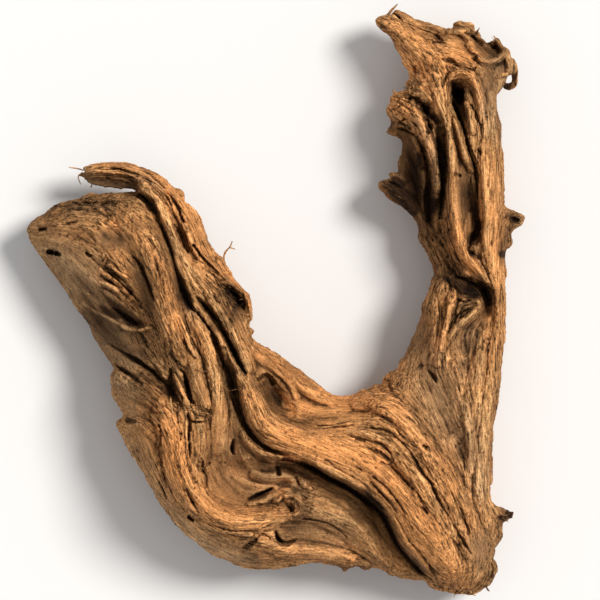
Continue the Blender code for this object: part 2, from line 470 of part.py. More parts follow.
def spline(points, spacing, closed=False):
    """Points along a smooth line through every given row, carrying all its columns."""
    rows = np.asarray(points, float)
    if closed:
        ends = np.vstack([rows[-1:], rows, rows[:2]])
    else:
        ends = np.vstack([2 * rows[0] - rows[1], rows, 2 * rows[-1] - rows[-2]])
    found = []
    for a, b, c, d in zip(ends[:-3], ends[1:-2], ends[2:-1], ends[3:]):
        steps = max(1, int(np.ceil(np.hypot(*(c - b)[:2]) / spacing)))
        t = np.arange(steps)[:, None] / steps
        found.append(
            b + 0.5 * ((c - a) * t + (2 * a - 5 * b + 4 * c - d) * t**2 + (3 * b - a - 3 * c + d) * t**3)
        )
    if not closed:
        found.append(rows[-1:])
    return np.vstack(found)


class Plan:
    """The grid of plan positions that every map is drawn on."""

    def __init__(self, cell):
        self.cell = cell
        self.x = np.arange(8.0, 434.0, cell)
        self.y = np.arange(-9.0, 486.0, cell)
        self.shape = (len(self.x), len(self.y))

    def window(self, xs, ys, reach):
        def cut(axis, values):
            low = int((min(values) - reach - axis[0]) / self.cell)
            high = int((max(values) + reach - axis[0]) / self.cell) + 2
            return slice(max(low, 0), max(min(high, len(axis)), 0))

        return cut(self.x, xs), cut(self.y, ys)


def distance_to(plan, path, reach):
    """Distance to a line of points, and the line's further columns at its nearest place."""
    best = np.full(plan.shape, np.inf)
    columns = np.zeros((path.shape[1] - 2,) + plan.shape)
    for a, b in zip(path[:-1], path[1:]):
        where = plan.window((a[0], b[0]), (a[1], b[1]), reach)
        x = plan.x[where[0], None]
        y = plan.y[None, where[1]]
        along = b[:2] - a[:2]
        t = ((x - a[0]) * along[0] + (y - a[1]) * along[1]) / max(along @ along, 1e-9)
        t = np.clip(t, 0, 1)
        d = np.hypot(x - a[0] - t * along[0], y - a[1] - t * along[1])
        nearer = d < best[where]
        best[where] = np.where(nearer, d, best[where])
        for column, start, end in zip(columns, a[2:], b[2:]):
            column[where] = np.where(nearer, start + t * (end - start), column[where])
    return best, columns


def bell(q):
    return np.clip(1 - q**2, 0, 1) ** 2


def dome(q):
    return np.clip(1 - q**2, 0, 1) ** 0.75


def furrow(q):
    return bell(q / 1.35)


def drawn(plan, table, profile, join=np.add):
    """One height map from a table of strokes."""
    total = np.zeros(plan.shape)
    for rows in table.values():
        path = spline(rows, 2.0)
        d, (width, height) = distance_to(plan, path, 1.4 * path[:, 2].max())
        q = np.minimum(d / np.maximum(width, NARROWEST), 9)
        total = join(total, height * profile(q))
    return total


def blurred(values, size, cell):
    """Three running means along each axis."""
    radius = max(1, int(round(size / cell)))
    for _ in range(3):
        for axis in (0, 1):
            pad = [(0, 0), (0, 0)]
            pad[axis] = (radius + 1, radius)
            total = np.cumsum(np.pad(values, pad, mode="edge"), axis=axis)
            high = np.take(total, np.arange(2 * radius + 1, total.shape[axis]), axis=axis)
            low = np.take(total, np.arange(total.shape[axis] - 2 * radius - 1), axis=axis)
            values = (high - low) / (2 * radius + 1)
    return values


def outline_depth(plan):
    """How far each plan position lies inside the outline; outside it is negative."""
    line = spline(OUTLINE, 2.0, closed=True)
    line = np.vstack([line, line[:1]])
    d, _ = distance_to(plan, line, REACH)
    d = np.minimum(d, REACH)
    inside = np.zeros(plan.shape, bool)
    for column, x in enumerate(plan.x):
        crosses = (line[:-1, 0] > x) != (line[1:, 0] > x)
        a, b = line[:-1][crosses], line[1:][crosses]
        at = np.sort(a[:, 1] + (x - a[:, 0]) / (b[:, 0] - a[:, 0]) * (b[:, 1] - a[:, 1]))
        inside[column] = np.searchsorted(at, plan.y) % 2 == 1
    return np.where(inside, d, -d)


def inflated(inside, cell):
    """Solves for the height whose curvature is even inside the outline, from coarse grids to fine ones."""
    levels = [(inside, cell)]
    while min(levels[-1][0].shape) > 60:
        levels.append((levels[-1][0][::2, ::2], 2 * levels[-1][1]))
    height = np.zeros(levels[-1][0].shape)
    for mask, size in reversed(levels):
        if height.shape != mask.shape:
            height = np.repeat(np.repeat(height, 2, 0), 2, 1)[: mask.shape[0], : mask.shape[1]]
        height = height * mask
        for _ in range(600 if size == levels[-1][1] else 160):
            mean = np.zeros(mask.shape)
            beside = height[:-2, 1:-1] + height[2:, 1:-1] + height[1:-1, :-2] + height[1:-1, 2:]
            mean[1:-1, 1:-1] = beside / 4
            height = (mean + size**2 / 4) * mask
    return height


def surfaces(plan):
    """The middle surface, and the signed squares of the upper and lower thickness."""
    depth = outline_depth(plan)
    height = inflated(depth > 0, plan.cell)
    beside = (depth > 0.3 * plan.cell) & (depth < 6)
    slope = blurred(np.where(beside, height / np.maximum(depth, 0.3 * plan.cell), 0), 3.0, plan.cell)
    weight = blurred(beside.astype(float), 3.0, plan.cell)
    slope = np.where(weight > 1e-3, slope / np.maximum(weight, 1e-3), 20.0)
    square = np.where(depth > 2 * plan.cell, 2 * height, 2 * slope * depth)
    thick = np.sqrt(np.maximum(square, 0))
    thick = thick / (1 + (thick / THICKEST) ** 4) ** 0.25
    wood = thick > 0
    middle = blurred(MIDDLE_SHARE * thick, MIDDLE_BLUR, plan.cell)
    middle = middle / np.maximum(blurred(wood.astype(float), MIDDLE_BLUR, plan.cell), 0.02)
    middle = middle + drawn(plan, LIFTS, bell) - FLOOR_LEVEL
    soft = 1 - np.exp(-thick / EDGE_SOFTNESS)
    upper = drawn(plan, SWELLS, bell) + drawn(plan, STRANDS, dome, np.maximum)
    upper = upper - drawn(plan, FURROWS, furrow, np.maximum)
    lower = drawn(plan, UNDER_SWELLS, bell) + drawn(plan, UNDER_STRANDS, dome, np.maximum)
    lower = lower - drawn(plan, UNDER_FURROWS, furrow, np.maximum)
    least = np.minimum(THINNEST, 0.3 * thick)
    upper = np.maximum(UPPER_SHARE * thick + soft * upper, least)
    lower = np.maximum(LOWER_SHARE * thick + soft * lower, least)
    return middle, np.where(wood, upper**2, square), np.where(wood, lower**2, square)


def bar_distance(points, x, y, z):
    """Distance from each grid position to a round bar along the points; inside it is negative."""
    nearest = np.full(np.broadcast_shapes(x.shape, y.shape, z.shape), np.inf)
    for a, b in zip(points[:-1], points[1:]):
        along = b[:3] - a[:3]
        t = (x - a[0]) * along[0] + (y - a[1]) * along[1] + (z - a[2]) * along[2]
        t = np.clip(t / (along @ along), 0, 1)
        dx, dy, dz = x - a[0] - t * along[0], y - a[1] - t * along[1], z - a[2] - t * along[2]
        nearest = np.minimum(nearest, np.sqrt(dx**2 + dy**2 + dz**2) - (a[3] + t * (b[3] - a[3])))
    return nearest


def root_field(plan, heights):
    """A value for each grid position that is negative inside the wood."""
    middle, upper, lower = surfaces(plan)
    z = heights[None, None, :]
    level = z - middle[:, :, None]
    square = np.where(level > 0, upper[:, :, None], lower[:, :, None])
    field = np.sqrt(np.maximum(level**2 + THICKEST**2 - square, 0)) - THICKEST
    for rows in LOOSE_PRONGS:
        bar = spline(rows, 2.0)
        column = np.argmin(np.abs(plan.x - rows[0][0]))
        row = np.argmin(np.abs(plan.y - rows[0][1]))
        bar[:, 2] += middle[column, row]
        near = plan.window(bar[:, 0], bar[:, 1], 8)
        x, y = plan.x[near[0], None, None], plan.y[None, near[1], None]
        field[near] = np.minimum(field[near], bar_distance(bar, x, y, z))
    return field


def is_odd(order):
    return sum(a > b for a, b in itertools.combinations(order, 2)) % 2 == 1


def surface_of(field, axes, cell):
    """Vertices and triangles of the surface where the field is zero, from six tetrahedra in each cube."""
    steps = [field.shape[1] * field.shape[2], field.shape[2], 1]
    inside = field < 0
    cubes = np.stack(
        [
            inside[i : i - 1 or None, j : j - 1 or None, k : k - 1 or None]
            for i, j, k in itertools.product((0, 1), repeat=3)
        ]
    )
    mixed = np.argwhere(cubes.any(axis=0) & ~cubes.all(axis=0))
    first = mixed @ steps
    flat = field.ravel()
    triangles = []
    for order in itertools.permutations(range(3)):
        corners = [first]
        for axis in order:
            corners.append(corners[-1] + steps[axis])
        corners = np.stack(corners, axis=1)
        within = flat[corners] < 0
        for used in itertools.permutations(range(4)):
            turned = is_odd(used) != is_odd(order)
            a, b, c, d = used
            state = within[:, a], within[:, b], within[:, c], within[:, d]
            if turned or (b, c, d) != min((b, c, d), (c, d, b), (d, b, c)):
                single = None
            else:
                single = state[1] == state[2]
                single &= (state[2] == state[3]) & (state[0] != state[1])
            if single is not None:
                v = corners[single]
                ends = np.stack([v[:, [a, b]], v[:, [a, c]], v[:, [a, d]]], axis=1)
                triangles.append(np.where(state[0][single, None, None], ends, ends[:, ::-1]))
            if not turned and a < b:
                double = state[0] & state[1] & ~state[2] & ~state[3]
                v = corners[double]
                quad = np.stack([v[:, [a, c]], v[:, [a, d]], v[:, [b, d]], v[:, [b, c]]], axis=1)
                triangles += [quad[:, [0, 1, 2]], quad[:, [0, 2, 3]]]
    ends = np.sort(np.concatenate(triangles), axis=2).reshape(-1, 2)
    pairs, index = np.unique(ends[:, 0] * field.size + ends[:, 1], return_inverse=True)
    start, end = pairs // field.size, pairs % field.size
    share = (flat[start] / (flat[start] - flat[end]))[:, None]
    places = [np.stack(np.unravel_index(side, field.shape), axis=1) for side in (start, end)]
    vertices = (places[0] + share * (places[1] - places[0])) * cell + [axis[0] for axis in axes]
    return vertices, index.reshape(-1, 3)


def mesh_object(name, vertices, faces):
    mesh = bpy.data.meshes.new(name)
    mesh.from_pydata(vertices.tolist(), [], faces.tolist())
    obj = bpy.data.objects.new(name, mesh)
    bpy.context.scene.collection.objects.link(obj)
    return obj


def in_place(points):
    """Millimetres in plan to metres about the root's own origin."""
    points = np.array(points, float)
    points[:, 0] -= PLAN_CENTRE[0]
    points[:, 1] -= PLAN_CENTRE[1]
    return points / 1000


def apply_modifiers(obj):
    graph = bpy.context.evaluated_depsgraph_get()
    mesh = bpy.data.meshes.new_from_object(obj.evaluated_get(graph))
    obj.modifiers.clear()
    obj.data = mesh


def add_wall(name, line):
    """An upright sheet as thick as a saw's cut, along a line in plan."""
    line = np.asarray(line, float)
    along = np.gradient(line, axis=0)
    aside = np.stack([-along[:, 1], along[:, 0]], axis=1) / np.hypot(*along.T)[:, None]
    sides = np.vstack([line + aside * SAW_GAP / 2, (line - aside * SAW_GAP / 2)[::-1]])
    count = len(sides)
    vertices = np.vstack([np.hstack([sides, np.full((count, 1), level)]) for level in (-30.0, 190.0)])
    obj = mesh_object(name, in_place(vertices), np.zeros((0, 3), int))
    shape = bmesh.new()
    shape.from_mesh(obj.data)
    points = list(shape.verts)
    half = count // 2
    for level in (0, count):
        for k in range(half - 1):
            near, far = level + k, level + count - 1 - k
            ring = [points[near], points[near + 1], points[far - 1], points[far]]
            shape.faces.new(ring)
    for k in range(count):
        after = (k + 1) % count
        shape.faces.new([points[k], points[after], points[count + after], points[count + k]])
    bmesh.ops.recalc_face_normals(shape, faces=shape.faces)
    shape.to_mesh(obj.data)
    shape.free()
    obj.hide_render = True
    obj.display_type = "WIRE"
    return obj


def add_floor():
    """The block below the root that is taken away, so that it lies on flats."""
    bpy.ops.mesh.primitive_cube_add(size=1, location=(0, 0, -0.05))
    obj = bpy.context.object
    obj.name = "floor"
    obj.scale = (1, 1, 0.1)
    obj.hide_render = True
    obj.display_type = "WIRE"
    return obj


def cut_away(obj, cutter):
    cut = obj.modifiers.new(cutter.name, "BOOLEAN")
    cut.operation = "DIFFERENCE"
    cut.solver = "EXACT"
    cut.object = cutter
    apply_modifiers(obj)
    bpy.data.objects.remove(cutter)


def islands(mesh):
    """The vertices of each separate body of a mesh."""
    parent = np.arange(len(mesh.vertices))
    edges = np.zeros(2 * len(mesh.edges), int)
    mesh.edges.foreach_get("vertices", edges)
    edges = edges.reshape(-1, 2)
    while True:
        lowest = np.minimum(parent[edges[:, 0]], parent[edges[:, 1]])
        after = parent.copy()
        np.minimum.at(after, edges[:, 0], lowest)
        np.minimum.at(after, edges[:, 1], lowest)
        after = after[after]
        if (after == parent).all():
            return parent
        parent = after


def wood(name, colour):
    material = bpy.data.materials.new(name)
    material.use_nodes = True
    shader = material.node_tree.nodes["Principled BSDF"]
    shader.inputs["Base Color"].default_value = (*colour, 1)
    shader.inputs["Roughness"].default_value = 0.85
    material.diffuse_color = (*colour, 1)
    return material


def split(root):
    """One object for each piece between the saw cuts."""
    mesh = root.data
    body = islands(mesh)
    points = np.zeros(3 * len(mesh.vertices))
    mesh.vertices.foreach_get("co", points)
    points = points.reshape(-1, 3)
    names, sizes = np.unique(body, return_counts=True)
    large = [name for name, size in zip(names, sizes) if size > 40]
    faces = [list(polygon.vertices) for polygon in mesh.polygons]
    for count, (name, place) in enumerate(PIECES.items()):
        place = in_place([(*place, 0)])[0]
        near = [np.hypot(*(points[body == one][:, :2] - place[:2]).T).min() for one in large]
        mine = large[int(np.argmin(near))]
        index = np.cumsum(body == mine) - 1
        own = [[index[k] for k in face] for face in faces if body[face[0]] == mine]
        piece = bpy.data.meshes.new(name)
        piece.from_pydata(points[body == mine].tolist(), [], own)
        piece.materials.append(wood(name, WOOD_COLOURS[count % len(WOOD_COLOURS)]))
        obj = bpy.data.objects.new(name, piece)
        bpy.context.scene.collection.objects.link(obj)
    bpy.data.objects.remove(root)


def main():
    for obj in list(bpy.data.objects):
        bpy.data.objects.remove(obj)
    plan = Plan(CELL)
    heights = np.arange(-9.0, 123.0, CELL)
    field = root_field(plan, heights)
    vertices, triangles = surface_of(field, (plan.x, plan.y, heights), CELL)
    root = mesh_object("root", in_place(vertices), triangles)
    thin = root.modifiers.new("fewer faces", "DECIMATE")
    thin.ratio = TRIANGLES / len(triangles)
    apply_modifiers(root)
    cut_away(root, add_floor())
    for name, line in SAW_CUTS.items():
        cut_away(root, add_wall(name, line))
    split(root)


main()
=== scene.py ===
"""The looks of a weathered mangrove root that lies on its back.

A fine mesh of the wood stands in for the plain solids, with fibres, furrows and bore holes as real relief,
loose rootlets and splinters, and dry, worn wood colours with painted shade and painted light in them. Plan
positions are millimetres seen from above, as in the plain solids; the scene itself is in metres. Most forms
and looks are strokes: named smooth lines through points that each have a half width and one more value.
"""

import bpy
import numpy as np
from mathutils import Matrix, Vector


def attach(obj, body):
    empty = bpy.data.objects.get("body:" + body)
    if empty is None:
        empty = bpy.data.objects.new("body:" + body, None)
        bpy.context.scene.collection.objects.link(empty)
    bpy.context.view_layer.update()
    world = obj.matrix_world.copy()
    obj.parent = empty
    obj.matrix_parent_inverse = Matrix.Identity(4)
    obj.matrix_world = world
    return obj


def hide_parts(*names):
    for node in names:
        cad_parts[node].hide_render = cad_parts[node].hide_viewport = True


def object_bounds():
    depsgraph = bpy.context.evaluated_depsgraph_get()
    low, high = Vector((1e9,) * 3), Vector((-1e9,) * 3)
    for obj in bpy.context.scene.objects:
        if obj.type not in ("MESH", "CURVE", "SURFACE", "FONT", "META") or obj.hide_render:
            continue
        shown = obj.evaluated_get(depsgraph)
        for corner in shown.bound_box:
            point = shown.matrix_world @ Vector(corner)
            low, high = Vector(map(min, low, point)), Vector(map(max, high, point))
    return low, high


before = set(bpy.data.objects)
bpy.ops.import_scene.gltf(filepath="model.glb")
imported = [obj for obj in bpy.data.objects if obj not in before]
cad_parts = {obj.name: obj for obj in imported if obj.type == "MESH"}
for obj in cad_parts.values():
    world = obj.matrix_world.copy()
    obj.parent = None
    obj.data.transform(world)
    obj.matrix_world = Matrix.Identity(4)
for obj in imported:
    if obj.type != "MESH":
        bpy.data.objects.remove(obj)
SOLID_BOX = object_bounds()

# The plan's grid and the form of the wood, in millimetres, as in the plain solids
PLAN_CENTRE = (219.84, 237.85)
PLAN_X = (10.0, 431.0)
PLAN_Y = (-7.0, 484.0)
REACH = 12.0
THICKEST = 60.0
UPPER_SHARE, LOWER_SHARE, MIDDLE_SHARE = 0.80, 0.70, 0.76
MIDDLE_BLUR = 34.0
EDGE_SOFTNESS = 7.0
THINNEST = 1.5
NARROWEST = 0.3
FLOOR_LEVEL = -11.5
EDGE_BAND = 6
EDGE_BLUR = 3.0
STEEPEST_EDGE = 20.0

# Strokes: how far apart the points along them lie in millimetres, how much wider than its half width a furrow
# is, how far out in half widths a stroke is drawn, and how quickly a look fades with distance
OUTLINE_SPACING = 1.2
FORM_SPACING = 2.0
LOOK_SPACING = 3.0
FURROW_WIDTH = 1.35
FORM_REACH = 1.4
LOOK_REACH = 2
LOOK_FADE = 1.2

# The broken end that hangs down beside the crown, as a round bar: x, y, height above the middle, radius
LOOSE_PRONG = [
    (410, 431, 5, 3.4), (412, 425, 5, 3.2), (412.6, 419, 4, 2.5), (412, 413.5, 3, 2.8),
    (408.5, 411.5, 2, 3.2), (405.5, 412, 2, 2.6),
]

# The skins: grid cells in plan, the grid's steps upwards in cells, how far a side reaches past the middle
# surface, and how many columns of the grid are worked on at a time
UPPER_CELL = 0.75
UNDER_CELL = 1.2
RISE = 2.0
OVERLAP = 2.0
SLAB = 48

# How the thickness settles: the most cells along the coarsest grid's shorter side, its sweeps, and the sweeps
# of each finer grid
COARSEST_GRID = 60
COARSE_SWEEPS = 600
FINE_SWEEPS = 160

# Noises: how far apart their knots lie in millimetres, and a seed
NOISES = {
    "side layers": ((22, 22, 3.4), 3),
    "thin side layers": ((10, 10, 2.2), 4),
    "chunks": (4.6, 5),
    "small chunks": (2.2, 6),
    "pits": (2.9, 7),
    "roughness": (1.9, 8),
    "fine roughness": (1.1, 9),
    "broad roughness": (4.2, 10),
    "broad colour": (38, 11),
    "patches": (13, 12),
    "speckle": (1.4, 13),
    "crumbs": (2.6, 14),
    "sliver tone": (1.6, 15),
    "small steps": (2.4, 21),
    "fine steps": (1.3, 22),
    "large steps": (6.5, 23),
}

# The scattering of the noises: large odd factors, and how many bits a value is shifted by before each
KNOT_FACTORS = (374761393, 668265263, 2147483647)
SEED_FACTOR = 974634777
MIXES = ((13, 1274126177), (16, 2654435761))
LOW_BITS = 0xFFFFFFFF

# How the fibres' direction spreads from the strokes: blur in millimetres and share of each step
SPREADS = ((5, 0.3), (12, 0.1), (30, 0.02))

# Fibre maps: width and length of the fibres in millimetres
COARSE_FIBRES = (6.0, 60)
MID_FIBRES = (2.4, 30)

# The heights of the relief's parts in millimetres, and how thick the wood is that takes them in full; for the
# fibres, what their strokes' own heights are multiplied by
COARSE_RELIEF = 1.6
MID_RELIEF = 0.9
FIBRE_RELIEF = 0.8
SIDE_RELIEF = 2.6
ROUGH_RELIEF = 1.15
CHUNK_RELIEF = 2.6
PIT_RELIEF = 6.6
FULL_RELIEF_FROM = 9

# The relief's strokes: how many on the upper side, then the limits of length, half width and height. The
# underside has a share of them. A stroke is drawn as lines side by side, a share of a fine cell apart.
STROKE_KINDS = {
    "strips": (5200, (10, 60), (0.9, 2.8), (0.0, 2.4)),
    "fibres": (15000, (5, 26), (0.5, 1.0), (0.2, 1.7)),
    "splinters": (2200, (3, 13), (0.6, 1.5), (0.6, 2.6)),
    "cracks": (1050, (3, 20), (0.4, 0.8), (0.8, 2.8)),
    "pits": (2000, (0.8, 2.4), (0.45, 0.85), (0.8, 2.2)),
    "paint": (9000, (8, 60), (0.6, 2.2), (0.05, 1.0)),
}
UNDER_STROKES = 0.8
LINE_PITCH = 0.75

# Where the seeds of the random draws start on each side, and the slivers' own seed
UPPER_SEED = 10
UNDER_SEED = 40
SLIVER_SEED = 77

# How far below the middle surface the upper side's looks are gone, and to where they hold in full
LOOKS_END = 30
LOOKS_FULL = 3

# Slivers: how many, the limits of length, rise and radius, and how the radius runs to the tip
SLIVERS = 700
SLIVER_LENGTH = (2.5, 7.5)
SLIVER_RISE = (0.3, 1.9)
SLIVER_RADIUS = (0.18, 0.46)
SLIVER_TAPER = (1.0, 1.1, 1.0, 0.8, 0.5, 0.12)
TUBE_SIDES = 5

# How the sky is looked for from each place: in how many ways, and how far away in millimetres
SKY_WAYS = 12
SKY_DISTANCES = (1.2, 2.4, 4.8, 9.0, 16.0, 28.0, 45.0)

# Cavities: how far around a place its height is compared with, and the depth that counts in full
CAVITY_REACH = 2.2
CAVITY_DEPTH = 1.6

# Wood colours as red, green and blue on a screen, from 0 to 255
# The crevice colour is painted shade, laid into cracks, pits and hollows of the relief.
CREVICE_SHADE = (24, 13, 6)
SHADE = (95, 61, 34)
BODY = (160, 113, 69)
PALE = (199, 151, 100)
ORANGE_WOOD = (207, 135, 76)
GREY_WOOD = (142, 117, 88)
# Dark wood, and painted shade where the dark tint stands for shade.
DARK_WOOD_AND_SHADE = (55, 35, 19)

# The tone of the wood, from 0 for shade to 1 for pale: its middle, and how far each look moves it
MIDDLE_TONE = 0.52
COARSE_TONE, MID_TONE, PAINT_TONE, LAYER_TONE = 0.20, 0.25, 0.45, 0.5
# The cavity tone is painted shade: it darkens the relief's hollows and lightens its crests.
PATCH_TONE, BROAD_TONE, CAVITY_TONE, SPECKLE_TONE, CRUMB_TONE = 0.22, 0.20, 0.32, 0.42, 0.5

# How much of a tint's own colour shows where it is strongest, and the brightest that a colour gets
ORANGE_SHARE, GREY_SHARE, DARK_SHARE = 0.62, 0.72, 0.92
BRIGHTEST = 0.66

# The material's fibres: how many ways in plan they can run, and the size of one in metres; below this value a
# fibre is a hairline crack
WAYS = 8
FIBRE_SIZE = (0.016, 0.0013, 0.0022)
HAIRLINE = -0.1

# The material: what the mesh's colours are multiplied by, how far fibres, hairlines and dust change that, how
# rough and shiny the wood is, and how deep its finest relief is in metres
COLOUR_LEVEL = 1.09
FIBRE_CONTRAST = 4.6
HAIRLINE_CONTRAST = 7.0
DUST_SCALE = 1000
DUST_CONTRAST = 2.2
DARKEST_SHADE = 0.15
WOOD_ROUGHNESS = 0.84
WOOD_SHINE = 0.12
BUMP_DEPTH = 0.001
GRAIN_ROUGHNESS = 0.65

# Lights, floor and camera, in metres and degrees; the lens, its sensor and the frame's centre in millimetres
KEY_STRENGTH = 3.0
KEY_SPREAD = 20
KEY_COLOUR = (1.0, 0.965, 0.92)
KEY_WAY = (0.62, 0.30, 0.80)
FILL_STRENGTH = 0.44
FLOOR_SIZE = 6
FLOOR_DROP = 0.0004
FLOOR_COLOUR = (0.88, 0.88, 0.88, 1)
FLOOR_ROUGHNESS = 0.9
FRAME_CENTRE = (240, 240, 0)
CAMERA_HEIGHT = 4.0
LENS = 300
SENSOR = 36
FARTHEST = 20

# The pieces of the mesh, and where in plan the borders between them begin and end to count
NAMES = [
    "crown", "hooked_strand", "left_limb", "right_limb", "root_base_east", "root_base_west", "upper_prong",
]
HOOK_RIGHT, HOOK_LOW = 172, 318
LEFT_SIDE_END = 225
RIGHT_SIDE_START = 294
NECK_LOW = 385

# The outline in plan, from the left limb's blunt end clockwise.
OUTLINE = [
    (20, 297.5), (22, 302), (27, 306), (34, 309.5), (37, 312), (42, 315), (49, 318.5), (58, 321),
    (66, 323.5), (71, 325.5), (80, 326.2), (95, 326), (109, 327.2), (103, 329.6), (95, 329), (89, 330),
    (80, 330.8), (74, 331.8), (70, 334), (67, 337), (63, 339.3), (62.7, 341), (66.5, 343.2), (65.8, 346),
    (69, 348), (78, 349.6), (91, 350.4), (100, 350), (109, 348), (119.5, 344.3), (130, 338.2), (139, 330.5),
    (143.5, 328.8), (146.6, 326), (146.5, 321.5), (148, 318.5), (153, 315), (157, 310.5), (160, 305.3),
    (162.7, 298.2), (165.5, 291), (166.5, 287), (172.3, 278.4), (177.5, 274), (181, 267.8), (184.6, 262.2),
    (186, 257.5), (191.6, 252.1), (196.6, 247.5), (200.3, 242), (201.3, 234.3), (200.9, 227), (199.3, 220),
    (202.3, 215), (200.8, 210.5), (206.4, 205.8), (215, 200.5), (221, 196.8), (229.7, 191.1), (237, 186),
    (245, 180.2), (253, 174.3), (260, 168.3), (266, 164.8), (273.3, 163.4), (281, 163.6), (286, 165.7),
    (290, 168), (294, 168.5), (299.6, 171.6), (304.5, 172), (307.7, 177.4), (311, 180.4), (316, 183),
    (319.6, 186.3), (320.6, 190.6), (324, 194.8), (327, 201.5), (330.2, 210), (335.2, 221.1), (337.8, 230),
    (338, 235), (341, 242), (344, 250), (346, 256.5), (348, 261.2), (346.4, 266.8), (343.8, 273.9),
    (339.8, 281), (335, 289), (334.9, 297), (334.2, 302), (329.7, 308.3), (326, 312), (320.5, 316),
    (313.4, 320), (308.4, 324.5), (304.3, 329.1), (303.2, 333.4), (305.3, 336), (312.6, 338),
    (311.2, 341.3), (314, 343.2), (318.6, 342.8), (319, 350.4), (321, 357), (322.6, 363.5), (322, 367.5),
    (319.5, 371.1), (314.5, 373), (310.3, 375.3), (312.4, 379.7), (312.9, 383.7), (309.9, 388.3),
    (309.3, 393.4), (312.4, 399.4), (312.6, 402.5), (315, 405.5), (315, 408), (321, 407.5), (326.8, 409),
    (325.1, 413), (325.1, 415.7), (328, 417.4), (327.1, 424.3), (323.6, 428.3), (321.5, 434),
    (318.5, 440.5), (314.5, 447.6), (310.4, 452.6), (304.3, 457.7), (300.3, 463), (301.3, 466),
    (305.3, 468.3), (312, 470.2), (317, 473.4), (322.6, 472.4), (327.6, 469.4), (332.7, 466.3), (341, 464),
    (350, 461.3), (355.5, 459.2), (362, 459.2), (363.3, 462.8), (367.1, 464.6), (373.2, 464),
    (379.8, 461.5), (380.6, 456), (383, 455), (385.4, 450.6), (389.4, 446.8), (394.5, 448.4),
    (397.6, 451.6), (401.1, 449.6), (404.1, 444), (408.7, 440), (412, 433), (414.2, 426.5), (412, 421.5),
    (407.5, 420), (405.5, 415), (400.3, 407.3), (398.6, 404), (398.1, 394), (400.1, 386.8), (401.6, 381.7),
    (401.6, 368.5), (403.1, 358.4), (404.1, 345), (404.4, 330), (404.6, 320.5), (405.2, 315.4),
    (411, 312.9), (416.8, 310.1), (420.4, 306.8), (419.3, 302.2), (416.3, 299.4), (412.8, 297.2),
    (410.8, 294), (411.2, 287), (409.7, 283), (406.2, 279.9), (404.4, 272.8), (406.2, 261.7),
    (404.4, 253.6), (405.7, 244.5), (405.4, 228.3), (405.4, 210.5), (403.1, 197.3), (401.6, 182.1),
    (400.6, 169), (398.6, 158.8), (396.5, 146.7), (395, 136.5), (394.5, 116.3), (394.4, 96), (392.3, 90.7),
    (392.3, 85), (394, 78.5), (399.1, 74), (406.7, 70.6), (411.7, 69.4), (410.2, 63.8), (402.6, 61.3),
    (402.2, 57.5), (402.6, 50.7), (399.6, 45.6), (397, 39.5), (397, 31), (399.3, 27), (399.4, 21.3),
    (397, 15.2), (392.5, 10.1), (388, 7), (378.3, 3.6), (371.2, 2.7), (364.1, 3.2), (357, 5.2), (350, 6.8),
    (344.9, 10.6), (339.8, 14.2), (329.7, 15.4), (320.5, 17.2), (312.4, 20.8), (304.3, 23.8), (298, 25.4),
    (291, 23.4), (286.5, 25.3), (280.4, 24.3), (276.3, 22), (270.2, 25.3), (260.1, 28.2), (251, 28.9),
    (240.9, 28.2), (232.7, 26), (224.6, 24.5), (213, 23.9), (200.8, 24.5), (188, 27.5), (182, 31),
    (173.5, 33.8), (164.1, 39.4), (157, 45), (149.9, 50.6), (139.8, 60.7), (133.7, 68.3), (127.6, 76.4),
    (120.5, 89.6), (115, 100.2), (109.4, 109.3), (101.3, 121), (97.7, 129.6), (92.6, 139.7), (97.4, 146.2),
    (96.3, 151.5), (92.6, 156.9), (89, 161.5), (88, 169.1), (88.3, 178.2), (91.4, 184.8), (88.5, 189.3),
    (84, 194.4), (80.2, 201), (74.3, 210.6), (69.8, 220.7), (61.2, 231.9), (55.6, 240), (49.5, 250),
    (41.4, 261.2), (32.3, 273.4), (27.8, 279.9), (23.2, 286.5), (21.2, 292.1),
]

# Borders between the pieces in plan: those of the plain solids, and one across the base.
BORDERS = {
    "hook": [(40, 330), (66, 329), (80, 328.4), (96, 327.8), (109, 327), (128, 322), (150, 322.5),
        (170, 326)],
    "left fork": [(222, 214), (203, 206), (150, 168), (92, 140), (70, 128)],
    "right fork": [(296, 196), (318, 178), (356, 152), (400, 128), (420, 118)],
    "neck": [(296, 412), (322, 412), (334, 419), (352, 426), (383, 426), (392, 414), (410, 400),
        (430, 392)],
    "prong": [(333.9, 418.9), (340, 438), (354, 480)],
    "base": [(262, 186), (250, 150), (232, 110), (222, 70), (216, 0)],
}

